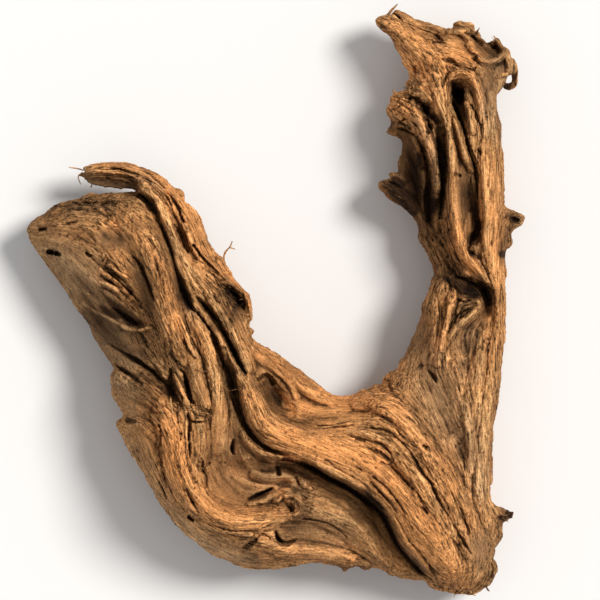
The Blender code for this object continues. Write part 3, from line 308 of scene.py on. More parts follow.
# Broad hollows and swellings of the upper side: x, y, half width, height.
SWELLS = {
    "left face hollow": [(58, 285, 20, -4), (75, 262, 26, -9), (90, 240, 30, -13), (102, 215, 32, -14),
        (112, 195, 26, -12)],
    "left face slope": [(28, 290, 24, -6), (50, 250, 26, -8), (75, 212, 26, -8), (95, 180, 22, -6)],
    "hook end hollow": [(66, 339, 9, -2), (80, 336, 9, -7), (95, 335, 9, -8), (108, 334, 7, -6)],
    "pocket by knot": [(128, 180, 14, -4), (138, 168, 14, -6), (146, 160, 10, -3)],
    "bay": [(178, 128, 20, -6), (180, 105, 26, -14), (196, 92, 28, -17), (222, 98, 24, -17),
        (240, 100, 20, -14)],
    "under ridge": [(229, 109.4, 10, -5), (244.8, 104, 11, -9), (260.4, 94.5, 12.5, -11),
        (272.5, 88.1, 14, -12), (284.2, 81.1, 15, -13), (294.9, 72.6, 16, -14), (302.6, 64.4, 16, -14),
        (307.5, 53.8, 16, -13), (314.3, 41.2, 15, -11), (324.9, 29, 13, -8), (334.7, 19.5, 10, -5)],
    "belly hollow": [(236, 56, 16, -4), (262, 54, 20, -6), (284, 46, 18, -5)],
    "crotch bowl": [(232, 166, 20, -6), (256, 152, 26, -11), (284, 152, 22, -9)],
    "crotch recess": [(214, 172, 10, -10), (220, 162, 13, -17), (228, 152, 12, -12)],
    "right panel": [(334, 215, 14, -5), (338, 185, 20, -9), (344, 160, 22, -10), (352, 140, 18, -8)],
    "right panel mid": [(378, 215, 12, -7), (370, 192, 16, -10), (362, 170, 16, -9), (360, 145, 14, -7),
        (366, 120, 12, -6)],
    "eye": [(366, 250, 12, -8), (378, 248, 14, -12), (388, 238, 12, -13), (386, 224, 10, -5)],
    "dark left flank": [(326, 366, 14, -10), (332, 345, 20, -18), (338, 322, 20, -20), (346, 300, 18, -15),
        (352, 282, 16, -10), (362, 264, 13, -9)],
    "channel": [(376, 345, 9, -6), (376, 325, 11, -13), (379, 305, 10, -14), (378, 290, 9, -9)],
    "hood hole": [(364, 410, 9, -18), (366, 400, 9, -14), (370, 388, 8, -9)],
    "left hole": [(342.8, 392.8, 7.5, -15), (349.6, 383.2, 5.5, -8)],
    "crown cup": [(384, 443, 8, -8), (392, 440, 10, -12), (399, 441, 7, -8)],
    "crown grey": [(396, 428, 12, -5), (393, 412, 11, -6), (391, 400, 8, -4)],
    "prong groove": [(330, 462, 7, -3), (342, 457, 9, -6), (352, 452, 8, -6)],
    "foot flat": [(386, 40, 14, -5), (388, 28, 12, -6)],
    "belly swell": [(150, 110, 26, 6), (160, 80, 28, 8), (190, 58, 26, 8), (220, 42, 20, 6)],
    "band swell": [(110, 300, 18, 5), (130, 260, 20, 8), (138, 220, 20, 8), (146, 190, 16, 4)],
    "foot swell": [(330, 100, 30, 8), (352, 70, 34, 12), (366, 36, 30, 10)],
    "upper swell": [(355, 430, 26, 8), (372, 430, 24, 8)],
    "chip recess": [(86.4, 291.2, 8, -2.5), (94.4, 288, 8, -2.5)],
    "chip": [(89.6, 300.8, 6, 1.5), (94.4, 298.4, 5, 1.5)],
    "under ridge deep": [(230.7, 113.1, 5, -4), (246.6, 107.6, 6, -8), (262.4, 98, 7, -11),
        (274.4, 91.6, 8, -11), (286.3, 84.5, 8, -11), (297.3, 75.8, 8, -11), (305.6, 67.1, 8, -11),
        (310.9, 55.9, 8, -10), (317.5, 43.6, 8, -9), (327.9, 31.6, 7, -7), (338.1, 21.5, 5, -4)],
}

# Raised strands of the upper side: x, y, half width, height.
STRANDS = {
    "hook rim": [(66, 347, 3, 2), (80, 347.5, 4, 5), (100, 347, 5, 7), (118, 341, 6, 8), (134, 330, 8, 8),
        (146, 314, 9, 8), (155, 297, 9, 8), (163, 280, 9, 7), (174, 264, 9, 6), (184, 250, 8, 5)],
    "hook inner": [(110, 336, 4, 5), (122, 326, 7, 8), (131, 311, 8, 10), (137, 296, 6, 10),
        (142, 282, 6, 10), (147, 268, 8, 10), (153, 254, 9, 9), (160, 243, 8, 7)],
    "hook lower rim": [(64, 341, 2, 3), (80, 342.5, 2, 4), (98, 341.5, 2, 4), (112, 338.5, 2.5, 4),
        (124, 333, 2.5, 3)],
    "shoulder": [(158, 262, 10, 8), (170, 250, 12, 10), (182, 232, 12, 11), (192, 214, 10, 10),
        (197, 198, 7, 9), (199, 186, 6, 8)],
    "ear lip": [(184, 254, 5, 6), (194, 247, 6, 9), (198.5, 238, 4, 9), (199, 228, 3.5, 7),
        (199, 218, 4, 5)],
    "thin strand": [(157, 236, 3.5, 8), (166, 224, 4.5, 9), (174, 210, 5, 9), (182, 196, 5, 7),
        (190, 183, 4, 5)],
    "pale strand": [(148, 244, 5, 5), (156, 230, 8, 7), (163, 214, 9, 9), (169, 196, 8, 10),
        (173, 176, 7, 9), (175, 156, 7, 7), (175, 138, 8, 5), (174, 124, 8, 3)],
    "fibre band": [(94, 316, 10, 4), (108, 302, 14, 7), (121, 284, 14, 9), (130, 262, 13, 10),
        (134, 240, 11, 10), (138, 220, 11, 10), (143, 204, 9, 9), (148, 192, 6, 6)],
    "middle strand": [(136, 236, 6, 5), (146, 222, 7, 7), (153, 207, 7, 8), (157, 190, 7, 8),
        (160, 174, 8, 8), (164, 158, 8, 7)],
    "broken strand": [(140.4, 180.8, 1.2, 3), (142.8, 176, 1.9, 7), (145.6, 169.6, 2.1, 8),
        (149.6, 160.8, 2.1, 8), (153.6, 152.8, 1.8, 6)],
    "cross splinter": [(148, 158, 3, 5), (156, 153, 3.5, 7), (165, 149, 3, 6), (170, 148, 1.5, 3)],
    "belly strand": [(130, 158, 8, 7), (137, 140, 13, 10), (142, 120, 13, 11), (146, 100, 13, 12),
        (154, 84, 13, 12), (168, 72, 11, 11), (186, 66, 10, 10), (206, 66, 10, 8), (224, 70, 8, 6)],
    "belly block": [(160, 142, 8, 9), (161, 128, 9, 9), (160, 115, 8, 7), (163, 104, 4, 4)],
    "belly side": [(112, 130, 11, 4), (120, 108, 12, 6), (128, 88, 12, 6), (142, 68, 13, 6),
        (160, 52, 14, 6), (184, 42, 14, 6), (208, 38, 12, 5)],
    "plate upper": [(84, 201, 4, 3), (98, 191, 6, 6), (112, 182, 6, 6), (127, 174, 4, 4)],
    "plate lower": [(94, 180, 6, 4), (108, 172, 9, 6), (122, 163, 8, 5), (132, 157, 6, 3)],
    "plate foot": [(97, 138, 8, 3), (110, 138, 9, 5), (122, 134, 8, 4)],
    "ridge": [(192, 188, 6, 6), (197, 172, 9, 12), (203, 156, 11, 15), (212, 141, 12, 17),
        (228, 130, 14, 18), (250, 124, 17, 18), (272, 118, 18, 17), (292, 106, 19, 17), (312, 88, 19, 18),
        (330, 66, 17, 18), (346, 44, 16, 17), (358, 24, 15, 12)],
    "ridge under lip": [(195, 134, 3, 4), (201, 125, 4, 6), (212, 117.5, 4.5, 8), (226, 114.5, 4, 9),
        (238, 113, 4, 8)],
    "second ridge": [(286, 158, 7, 5), (302, 158, 10, 8), (316, 148, 11, 10), (328, 134, 11, 11),
        (340, 118, 11, 11), (352, 100, 12, 11), (364, 80, 12, 11), (374, 58, 12, 9), (380, 40, 10, 5)],
    "arch strand": [(250, 141, 3, 2), (268, 141, 5, 4), (288, 145, 6, 5), (304, 144, 6, 6),
        (318, 136, 5, 6), (328, 125, 4, 6)],
    "third strand": [(300, 131, 7, 5), (312, 126, 8, 7), (322, 115, 8, 9), (332, 101, 9, 9),
        (342, 84, 9, 8), (352, 68, 8, 6)],
    "crotch edge": [(203, 198, 6, 4), (220, 190, 8, 7), (238, 178, 9, 8), (254, 166, 8, 7),
        (264, 160, 5, 3)],
    "recess rim": [(226, 180, 3, 3), (233, 172, 3.5, 5), (237, 163, 3, 3)],
    "knot ring": [(222, 82, 4, 5), (229, 86.5, 4, 7), (238, 84, 3.5, 6), (241, 76, 3, 4)],
    "knot arm": [(203, 101, 4, 3), (214, 98, 5, 6), (226, 101, 5, 7), (236, 99, 4, 4)],
    "pocket lip": [(200, 79, 3, 3), (212, 82, 3.5, 5), (222, 86, 3, 4)],
    "belly mid": [(232, 74, 9, 4), (250, 74, 12, 5.5), (268, 68, 13, 6), (284, 58, 13, 6), (298, 44, 12, 6),
        (312, 30, 10, 5), (322, 20, 6, 3)],
    "belly low": [(206, 48, 6, 4), (222, 42, 7, 7), (242, 40, 8, 8), (262, 37, 8, 8), (280, 32, 7, 6),
        (292, 29, 5, 4)],
    "right edge ridge": [(393, 404, 5, 4), (394, 385, 8, 6), (394, 360, 10, 7), (394, 330, 11, 8),
        (396, 300, 11, 8), (396, 275, 11, 9), (398, 250, 8, 9), (400, 228, 6, 8), (398, 204, 7, 7),
        (396, 176, 8, 7), (391, 146, 9, 7), (387, 116, 9, 7), (385, 90, 9, 7), (388, 64, 8, 5)],
    "inner right rib": [(384, 196, 6, 4), (380, 172, 8, 4), (379, 146, 9, 4), (379, 118, 9, 4),
        (377, 96, 7, 2)],
    "y ridge": [(349, 190, 4, 4), (352, 203, 4.5, 7), (355, 218, 4.5, 9), (359, 234, 5, 9),
        (361, 246, 5, 6)],
    "y arm": [(356, 206, 3, 4), (364, 218, 4, 7), (374, 227, 5, 9), (383, 234, 4, 9), (381, 240, 3, 6),
        (370, 239, 3, 4)],
    "y ball": [(363, 255, 5, 5), (369, 251, 6, 6)],
    "left rib": [(345, 246, 5, 3), (342, 232, 6, 4), (340, 214, 8, 4), (334, 198, 8, 3), (326, 188, 6, 2)],
    "s ridge": [(357, 392, 3, 4), (359, 372, 4, 7), (361, 350, 5, 10), (362, 328, 6, 11), (364, 306, 6, 11),
        (367, 288, 5, 11), (373, 274, 5, 10), (382, 264, 4.5, 9), (390, 254, 4, 6)],
    "s inner": [(376, 308, 3, 3), (373, 296, 4, 6), (371, 284, 4, 6), (376, 274, 4, 5)],
    "channel rib": [(363, 384, 2.5, 5), (367, 370, 3, 7), (371, 356, 3, 7), (376, 344, 2.5, 4)],
    "channel rib two": [(372, 402, 3, 4), (375, 390, 4, 6), (377, 376, 4, 5)],
    "hood": [(356, 402, 5, 6), (359, 411, 6, 9), (366, 420, 5, 11), (376, 418, 5, 11), (382, 407, 4.5, 11),
        (385, 394, 4, 9), (386, 383, 2.5, 4)],
    "neck": [(346, 430, 10, 5), (348, 416, 9, 8), (350, 404, 8, 9), (352, 392, 6, 8), (356, 382, 4, 5)],
    "upper stub": [(313, 402, 6, 4), (322, 396, 8, 8), (331, 387, 7, 9), (338, 376, 6, 9), (343, 362, 5, 9),
        (347, 346, 4, 8), (348, 328, 3.5, 6), (346, 310, 3, 3)],
    "upper stub low": [(314, 390, 4, 2), (322, 383, 4, 3), (330, 374, 4, 2.5), (335, 362, 3, 1.5)],
    "notch rim": [(316, 406, 4, 3), (326, 404, 4, 6), (338, 405, 4, 6), (346, 403, 4, 4)],
    "lower stub": [(305, 333, 3, 2), (316, 326, 6, 6), (328, 317, 6, 7), (336, 306, 5, 5),
        (340, 294, 4, 3)],
    "flank rib": [(326, 352, 3, 1.5), (334, 338, 3, 2), (338, 322, 3, 2), (338, 308, 3, 1.5)],
    "flank rib two": [(342, 300, 3, 1.5), (348, 288, 4, 2), (354, 276, 4, 2)],
    "prong": [(303, 463, 4, 3), (314, 457, 8, 7), (326, 447, 10, 9), (338, 436, 11, 8), (350, 424, 9, 5)],
    "prong top": [(318, 471, 3, 2), (328, 466, 4, 4), (340, 461, 4, 5), (352, 458, 4, 4)],
    "crown rim": [(360, 456, 3, 4), (371, 455, 4, 7), (376, 446, 4, 7), (380, 438, 3.5, 7),
        (387, 431, 3, 7), (396, 432, 3, 7), (404, 437, 3, 7), (408, 441, 2.5, 3)],
    "crown back": [(363, 461, 3, 3), (371, 461, 4, 6), (379, 458, 3, 4)],
    "crown side": [(399, 447, 3, 4), (404, 440, 3, 6), (408, 430, 3, 6), (407, 420, 3, 4)],
    "snag": [(400, 306, 5, 3), (409, 309, 4, 4), (416, 308, 3.5, 3)],
    "foot snag": [(394, 74, 5, 3), (402, 70, 4, 3), (409, 68, 3, 2)],
    "ridge fill": [(276, 137, 12, 6), (294, 135, 15, 9), (312, 126, 17, 11), (328, 106, 17, 10),
        (344, 84, 16, 9), (358, 60, 14, 8)],
    "y fill": [(350, 248, 10, 4), (346, 230, 13, 6), (342, 212, 13, 5), (336, 198, 11, 4)],
    "y edge": [(357.6, 243.2, 2, 3), (354.4, 228, 2.4, 6), (352, 214.4, 2.4, 6), (347.2, 200, 2.4, 4),
        (344, 190.4, 2, 2)],
    "belly join": [(150, 146, 12, 7), (152, 130, 13, 9), (153, 114, 11, 9), (157, 98, 9, 8)],
    "face ridge": [(66.4, 237.6, 1, 1.5), (73.6, 232, 1.1, 2.2), (84, 226.8, 1.2, 2.6),
        (94.4, 221.2, 1.3, 3), (103.2, 217.2, 1.5, 3.4), (112, 216, 1.6, 3.6), (120.8, 218, 1.5, 3.2),
        (126.4, 213.6, 1.4, 3)],
    "hook face rim": [(65.6, 342.4, 1.2, 2), (80, 344, 1.3, 3), (96, 341.2, 1.3, 3), (112, 336.8, 1.3, 3),
        (120, 333.6, 1.2, 2)],
    "bay rim": [(188.8, 97.6, 2.5, 0.8), (200, 92.8, 3, 1.3), (211.2, 92.8, 3, 1.6),
        (220.8, 90.4, 2.5, 1.3)],
    "frayed end": [(134.4, 206.4, 1.3, 2), (139.2, 198.4, 1.4, 3.5), (144, 192, 1.2, 3)],
    "frayed end two": [(142.4, 209.6, 1.2, 2), (148, 200.8, 1.4, 3.5), (153.6, 194.4, 1.1, 3)],
    "belly tip": [(123.2, 148.8, 2, 3), (126.4, 143.2, 3, 6), (130.4, 134.4, 4, 8)],
    "crown left": [(323.2, 427.2, 8, 5), (331.2, 416, 10, 7), (340.8, 406.4, 10, 7), (348.8, 395.2, 8, 6)],
    "lip": [(217.6, 128, 5, 8), (233.6, 119.6, 6, 12), (249.8, 114, 6, 15), (266, 104.3, 6, 16),
        (278, 97.9, 6, 16), (290.1, 90.6, 6, 16), (301.6, 81.6, 6.5, 16), (311, 71.8, 6.5, 16),
        (317, 59.7, 6.5, 16), (323.2, 48, 6, 15.5), (333.5, 36.2, 6, 14), (344.2, 25.3, 5.5, 11)],
    "lip shelf": [(236.9, 126.9, 9, 11), (253.4, 121.1, 10, 13), (270, 111.2, 11, 14.5),
        (281.9, 104.8, 11, 15), (294.4, 97.4, 11, 15), (306.4, 88, 11, 15), (317, 77.1, 11, 15),
        (323.8, 64, 11, 15), (329.5, 52.9, 11, 14), (339.6, 41.3, 10, 12), (351, 29.4, 9, 9)],
    "knot rim": [(223.2, 76.8, 1.4, 2.5), (223.6, 82.4, 1.6, 3), (228, 85.6, 1.7, 3.4),
        (234.4, 85.2, 1.7, 3.4), (238.8, 80.8, 1.6, 3), (239.2, 74.4, 1.6, 3), (236, 69.2, 1.5, 2.6),
        (229.6, 67.6, 1.5, 2.4), (224.8, 71.2, 1.4, 2.5), (223.2, 76, 1.4, 2.5)],
    "knot ring inner": [(227.2, 76, 0.9, 1.6), (228, 80.4, 0.9, 1.8), (232, 81.6, 0.9, 1.8),
        (235.2, 78.4, 0.9, 1.6), (234.8, 73.6, 0.9, 1.4), (231.2, 72, 0.8, 1.2)],
    "belly fill": [(155.2, 72, 3, 3), (164.8, 63.2, 3.9, 6), (176, 57.6, 3.9, 6), (188.8, 55.2, 3.9, 5),
        (200, 54.4, 3.5, 4)],
    "chip one": [(85.6, 269.6, 1.2, 2), (90.4, 265.6, 1.7, 3.4), (96, 261.6, 1.7, 3.6),
        (101.6, 258, 1.2, 2.4)],
    "chip two": [(82.4, 261.6, 1.2, 2), (88, 258.4, 1.5, 3), (93.6, 255.2, 1.5, 3.2), (98.4, 252, 1, 2)],
    "chip three": [(80, 254.4, 1.4, 2), (85.6, 252.4, 2, 3), (91.2, 249.6, 1.8, 3), (95.2, 248, 1.2, 1.8)],
    "chip four": [(89.6, 243.2, 1.1, 1.4), (96.8, 238.4, 1.5, 2.4), (104.8, 232, 1.5, 2.4),
        (111.2, 227.2, 1, 1.4)],
    "chip five": [(99.2, 248, 1, 1.4), (105.6, 242.4, 1.4, 2.2), (112, 236.8, 1, 1.4)],
    "chip six": [(83.2, 275.2, 1, 1.6), (85.6, 272, 1.3, 2.6), (82.4, 267.2, 1, 2)],
    "chip seven": [(88, 304, 1.8, 1.2), (92.8, 299.2, 2.6, 2.2), (97.6, 295.2, 1.8, 1.2)],
}

# Furrows and holes of the upper side: x, y, half width, depth.
FURROWS = {
    "long slit": [(158, 242, 1.3, 8), (164, 235, 1.9, 22), (172, 226, 2, 26), (180, 213, 2, 26),
        (187, 199, 2.1, 26), (193, 188, 2, 24), (197, 182, 1.2, 8)],
    "second slit": [(158, 230, 1, 6), (165, 222, 1.6, 18), (171, 212, 2, 20), (175, 200, 2.6, 16),
        (179, 186, 4, 12)],
    "band valley": [(126, 306, 1.2, 8), (130, 297, 1.2, 8), (134, 288, 1.4, 6), (138, 276, 1.4, 5),
        (141, 264, 2, 5), (144, 256, 3.4, 10), (147, 247, 4.2, 15), (151, 238, 3.8, 13),
        (156, 231, 1.5, 5)],
    "hook gap": [(104, 326.4, 1.5, 6), (112, 323.2, 2.4, 14), (120, 317.6, 3.4, 20),
        (125.6, 309.6, 2.6, 16), (128, 304, 1.2, 7)],
    "hook split": [(112, 344, 1, 3), (122, 338, 1.2, 6), (132, 328, 1.2, 6), (140, 318, 1.2, 6),
        (147, 302, 1.2, 7)],
    "inner split": [(139, 300, 1, 5), (144, 293, 3, 12), (148, 285, 2.6, 12), (151, 279, 1.2, 8)],
    "edge split": [(166, 286, 1, 5), (170, 279, 1.4, 9), (173, 272, 1, 5)],
    "shoulder split": [(155, 284, 1, 5), (160, 277, 1.2, 7), (165, 271, 1, 5), (172, 264, 1, 4),
        (180, 256, 1, 3)],
    "ear hole": [(176.8, 251.2, 2.2, 8), (183.2, 247.2, 4.8, 18), (188.8, 241.6, 6.2, 22),
        (193.6, 235.2, 5.2, 20), (197.6, 228.8, 3, 12)],
    "face slit": [(107.2, 275.2, 1, 5), (112.8, 268.8, 1.7, 10), (117.6, 259.2, 1.8, 11),
        (121.6, 249.6, 1.7, 11), (124.8, 240, 1.2, 7)],
    "face pocket": [(89.6, 233.6, 1.2, 2), (96.8, 229.6, 2.6, 6), (104, 224.4, 4, 8.5),
        (110.4, 221.2, 4, 8), (116.8, 220, 2, 3)],
    "plate slit": [(90, 203, 0.8, 2), (100, 197, 1.2, 4), (112, 190, 2.2, 11), (122, 183, 3, 16),
        (129, 177, 2.8, 16), (134, 173, 1.6, 10)],
    "plate slit low": [(91, 190, 1, 4), (97, 185, 1.3, 10), (105, 179, 1.3, 10), (114, 173, 1.2, 6)],
    "plate edge": [(98, 147, 1, 4), (104, 143.5, 2.4, 10), (109, 143.5, 1.5, 5)],
    "knot slit": [(144.8, 184.8, 0.9, 6), (148, 181.6, 1.5, 12), (150, 173.6, 1.7, 15),
        (152, 165.6, 1.6, 13), (153.6, 159.2, 1, 6)],
    "knot pit": [(137, 172, 5, 12), (139, 164, 4, 10)],
    "belly crack": [(151, 150, 0.8, 5), (152.5, 142, 1.1, 11), (152, 132, 0.8, 10), (152.5, 122, 0.7, 8),
        (153, 116, 0.6, 4)],
    "belly crack low": [(163, 112, 1.2, 6), (162, 106, 1.8, 8), (165, 101, 1, 5), (166, 92, 0.9, 4)],
    "belly furrow": [(150, 90, 1, 5), (155, 80, 1.4, 7), (160, 72, 1, 4)],
    "belly side furrow": [(128, 96, 1, 3), (132, 88, 1.4, 5), (134, 82, 1, 3)],
    "valley": [(180, 200, 4, 6), (184, 182, 5, 12), (189, 165, 5, 13), (193, 152, 4, 14),
        (196, 142, 3, 12)],
    "ridge slit": [(195, 150, 1.4, 8), (197, 142, 2, 16), (201, 134, 2.4, 20), (207, 128, 2.4, 20),
        (214, 123, 2, 18), (222, 120, 1.8, 14), (231, 117.5, 1.2, 8)],
    "bay hole": [(187, 129, 1, 6), (186, 122, 1.7, 13), (187, 118, 1, 5)],
    "ridge foot": [(220.8, 112.8, 1, 5), (230.9, 113.5, 1.8, 13), (246.7, 107.9, 2.3, 15),
        (262.6, 98.4, 2.2, 10), (274.6, 92, 2.2, 8), (286.5, 84.8, 2.2, 7), (297.5, 76.2, 2.2, 6),
        (305.9, 67.4, 2.2, 5), (311.2, 56.1, 2.2, 5), (317.8, 43.9, 2.2, 5), (328.2, 31.8, 2, 5),
        (338.4, 21.7, 1.6, 5), (348, 14.4, 1.2, 5)],
    "ridge foot low": [(342.4, 30.4, 1, 4), (347.2, 21.6, 1.3, 5), (350.4, 12.8, 1.2, 5)],
    "pocket": [(198.4, 80.8, 1.2, 6), (204.8, 83.6, 1.9, 12), (211.2, 86.8, 1.8, 12), (217.6, 90, 1.3, 9)],
    "low pocket": [(220.4, 56, 1.2, 7), (222.4, 50.4, 2, 12), (226.4, 46.8, 2.3, 13), (231.2, 46.8, 1.8, 9),
        (235.2, 48.8, 1.1, 4)],
    "low crack": [(203, 50, 0.8, 4), (207, 52, 0.8, 6), (211, 55, 0.8, 6), (216, 50, 0.8, 5)],
    "low scar": [(205, 50, 2, 7), (200, 46, 3, 8), (195, 43, 2, 4)],
    "arm hole": [(237, 98, 2, 9), (240, 93, 1.5, 8)],
    "arm hole two": [(222, 106, 1.6, 8), (223, 102, 1.8, 9)],
    "crease one": [(296, 138.5, 0.8, 2), (306, 137, 1.1, 4), (316, 131, 1.1, 4), (323, 125, 0.9, 3),
        (330, 115, 1, 4), (337, 103, 1.4, 6.5), (343, 96, 1.5, 7), (347, 86, 1.4, 6), (352, 78, 1.1, 4),
        (357, 69, 0.8, 2)],
    "crease two": [(299.2, 128, 0.8, 2), (306.4, 124.8, 1, 3.5), (311.2, 118.4, 1, 3.5),
        (314.4, 112.8, 0.8, 2)],
    "crease three": [(304, 112, 1, 4), (312, 107.5, 1.5, 7), (319, 100.5, 1.6, 8), (326, 94, 1, 5)],
    "crease four": [(336, 76, 1.4, 5), (340, 72, 1.4, 5)],
    "crease five": [(361, 62, 1, 4), (367, 53, 1.4, 6), (372, 44, 1.2, 6), (376, 38, 0.8, 3)],
    "crease six": [(366, 76, 1.2, 4), (370, 65, 1.8, 6), (374, 55, 1.4, 4)],
    "crotch crease": [(254, 140, 0.9, 3), (264, 139.5, 1.2, 5), (272, 139, 1, 4), (282, 141, 0.8, 2)],
    "recess edge": [(207, 177, 1.6, 5), (213, 180, 2, 8), (218, 174, 2.6, 7)],
    "eye slit": [(364, 258, 1.8, 5), (374, 256, 2.8, 9), (384, 252, 3.4, 15), (390, 245, 3.8, 17),
        (392, 236, 3, 10), (390, 227, 1.6, 3)],
    "y pits": [(366, 240, 1.6, 6), (371, 238.5, 1.4, 7), (376, 239.5, 1, 4)],
    "y cups": [(362, 226, 2, 5), (368, 228, 2.4, 7), (375, 232, 2, 6)],
    "y left": [(350, 246, 0.8, 1.5), (351, 228, 1, 2.5), (350, 212, 1.1, 2.5), (347, 198, 0.8, 1.5)],
    "channel slit": [(361, 400, 1.6, 12), (366, 389, 2, 18), (371, 377, 1.8, 18), (374, 363, 1.8, 16),
        (378.5, 350, 2.2, 15), (382, 338, 2.6, 9), (384, 322, 2.2, 4)],
    "hood slit": [(373, 400, 1.2, 7), (378, 392, 1.4, 9), (381, 382, 1, 5)],
    "channel crook": [(384, 302, 2.5, 12), (383, 295, 3, 14), (377, 288, 2.4, 10), (374, 281, 1.8, 8),
        (379, 276, 1.2, 6)],
    "furrow one": [(351, 376, 3, 9), (354, 355, 3.6, 17), (355, 335, 3.6, 18), (354, 318, 3, 14),
        (353, 306, 2, 6)],
    "furrow two": [(334, 370, 2, 8), (340, 358, 3, 13), (344, 340, 2.8, 14), (343, 322, 3, 13),
        (344, 304, 2.6, 9)],
    "s pit": [(364, 340, 1.8, 6), (367, 339, 1.8, 6)],
    "stub crease": [(319, 382, 1, 3), (326, 385, 1.4, 5), (333, 379, 1, 4)],
    "crown slit": [(372, 454, 1.4, 6), (379, 450, 2.2, 9), (385, 446, 2.4, 9)],
    "crown back slit": [(360, 460, 1.4, 4), (365, 460.5, 1.8, 7)],
    "crown hole": [(392, 447, 2, 9), (397, 443, 2.4, 10), (399, 438, 1.6, 5)],
    "crown pits": [(370, 424, 1.2, 5), (376, 423, 1.5, 6), (380, 425, 1.2, 5)],
    "neck slit": [(355, 432, 1, 4), (361, 430, 1.6, 7), (366, 426, 1, 4)],
    "neck hole": [(332, 426, 1.6, 7), (333, 423, 1.6, 7)],
    "neck cup": [(349, 452, 2, 5), (352, 448, 2.4, 7), (347, 446, 1.6, 4)],
    "prong slit": [(315, 470, 1, 6), (319, 467, 1.4, 8), (322, 464, 0.8, 3)],
    "lower stub split": [(310, 336, 1, 5), (316, 333, 1, 4), (322, 330, 0.8, 2)],
    "nose hole": [(31, 296.5, 1.6, 7), (36, 297, 1.6, 8)],
    "nose slot": [(49.6, 300, 0.8, 2), (55.2, 301.2, 1.3, 3.5), (61.6, 302.4, 0.8, 2)],
    "face hole": [(38.4, 278.8, 1.9, 11), (40.8, 278.4, 2.1, 11)],
    "belly hole": [(152, 67.5, 1.8, 9), (155, 65.5, 1.8, 9)],
    "snag pit": [(411, 304, 2.4, 6), (414, 303, 2, 6)],
    "foot scar": [(396, 26, 1.4, 6), (394, 20, 1.6, 8), (391, 15, 1.2, 5)],
    "second ridge hole": [(338, 125, 1.6, 6), (340, 123.5, 1.6, 6)],
    "panel hole": [(343, 183, 1.4, 4), (347, 178, 1.8, 7), (349, 174, 1, 3)],
    "crotch notch": [(311, 172, 1.4, 6), (312.5, 168, 1.2, 5)],
    "belly mid slit": [(243, 66.5, 1.4, 4), (248, 66.5, 1.4, 5)],
    "hook fibres": [(104, 341.6, 0.8, 2), (120, 335.2, 0.9, 3.5), (130.4, 326.4, 0.9, 3.5),
        (137.6, 315.2, 0.8, 2)],
    "hook fibres low": [(112.8, 336.8, 0.7, 2), (124, 328.8, 0.8, 3), (132.8, 317.6, 0.8, 3),
        (140.8, 305.6, 0.7, 2)],
    "hook dark": [(84.8, 345.6, 0.8, 2), (94.4, 344.8, 1, 4), (104.8, 342.4, 1.2, 5), (120, 337.6, 0.8, 3)],
    "hook pits": [(84.8, 338.4, 1.3, 5), (87.2, 337.6, 1.2, 4)],
    "hook pits two": [(100.8, 334.4, 1.3, 4), (103.2, 333.6, 1.1, 3)],
    "ear pits": [(170.4, 260, 1.3, 5), (175.2, 255.2, 1.6, 6), (179.2, 256.8, 1, 3)],
    "top crumble": [(36.8, 311.2, 1, 2), (41.6, 313.6, 1.3, 4), (47.2, 315.2, 1, 2)],
    "top crumble two": [(51.2, 316, 1, 2), (56.8, 317.6, 1.4, 5), (63.2, 316.8, 1, 3)],
    "top crumble three": [(67.2, 318.4, 1.2, 4), (72.8, 316.8, 1.5, 5), (77.6, 318.4, 1, 3)],
    "top crumble four": [(80.8, 316, 1, 3), (86.4, 317.6, 1.3, 4), (93.6, 316.8, 1, 2)],
    "face hole two": [(44.8, 277.2, 2, 10), (47.2, 276.4, 1.6, 8)],
    "face pit one": [(69.6, 277.6, 1.4, 5), (72.8, 275.2, 1.2, 4)],
    "face pit two": [(82.4, 271.2, 1.3, 5), (85.6, 268.8, 1.1, 4)],
    "splinter step": [(73.6, 273.6, 0.8, 2), (83.2, 265.6, 1, 3), (94.4, 256, 1.1, 4), (104.8, 246.4, 1, 3),
        (114.4, 233.6, 0.8, 2)],
    "splinter step two": [(83.2, 262.4, 0.8, 2), (92.8, 251.2, 0.9, 3), (102.4, 242.4, 0.8, 2)],
    "plate slit thin": [(93.6, 187.2, 0.9, 4), (104, 182.4, 1.2, 8), (114.4, 173.6, 1, 6)],
    "tangle gap": [(137.6, 185.6, 1.4, 8), (137.6, 177.6, 2.6, 12), (139.2, 168, 2.6, 12),
        (143.2, 159.2, 1.2, 6)],
    "tangle line": [(132.8, 208, 0.8, 3), (134.4, 198.4, 1, 5), (136.8, 190.4, 0.8, 3)],
    "tangle line two": [(137.6, 200, 0.8, 3), (142.4, 192, 1.1, 5), (147.2, 187.2, 0.8, 3)],
    "tangle line three": [(147.2, 208, 0.7, 3), (152, 200, 0.9, 4), (156.8, 193.6, 0.8, 3)],
    "orange slit": [(147.2, 231.2, 0.8, 4), (149.6, 222.4, 1, 6), (152.8, 213.6, 0.8, 4)],
    "orange slit two": [(153.6, 209.6, 1, 5), (156.8, 203.2, 1.3, 8), (160.8, 196.8, 1, 5)],
    "belly cross": [(152, 144.8, 0.6, 4), (158.4, 143.2, 0.7, 5), (165.6, 144, 0.6, 4)],
    "belly step": [(126.4, 150.4, 1, 3), (129.6, 134.4, 1.1, 4), (128.8, 120, 1.1, 4), (130.4, 105.6, 1, 4),
        (134.4, 91.2, 1, 3)],
    "block end": [(158.4, 108.8, 1, 4), (163.2, 106.4, 1.4, 6), (168, 110.4, 1, 4)],
    "crease nine": [(294.4, 97.6, 0.8, 3), (300.8, 91.2, 1.1, 5), (308.8, 82.4, 1.1, 5),
        (316.8, 72, 0.8, 3)],
    "crease ten": [(297.6, 100.8, 0.8, 3), (307.2, 92.8, 1, 4), (315.2, 83.2, 1, 4), (323.2, 71.2, 0.8, 3)],
    "crease eleven": [(302.4, 111.2, 0.8, 2), (312, 107.2, 1.1, 5), (320.8, 99.2, 1.2, 6),
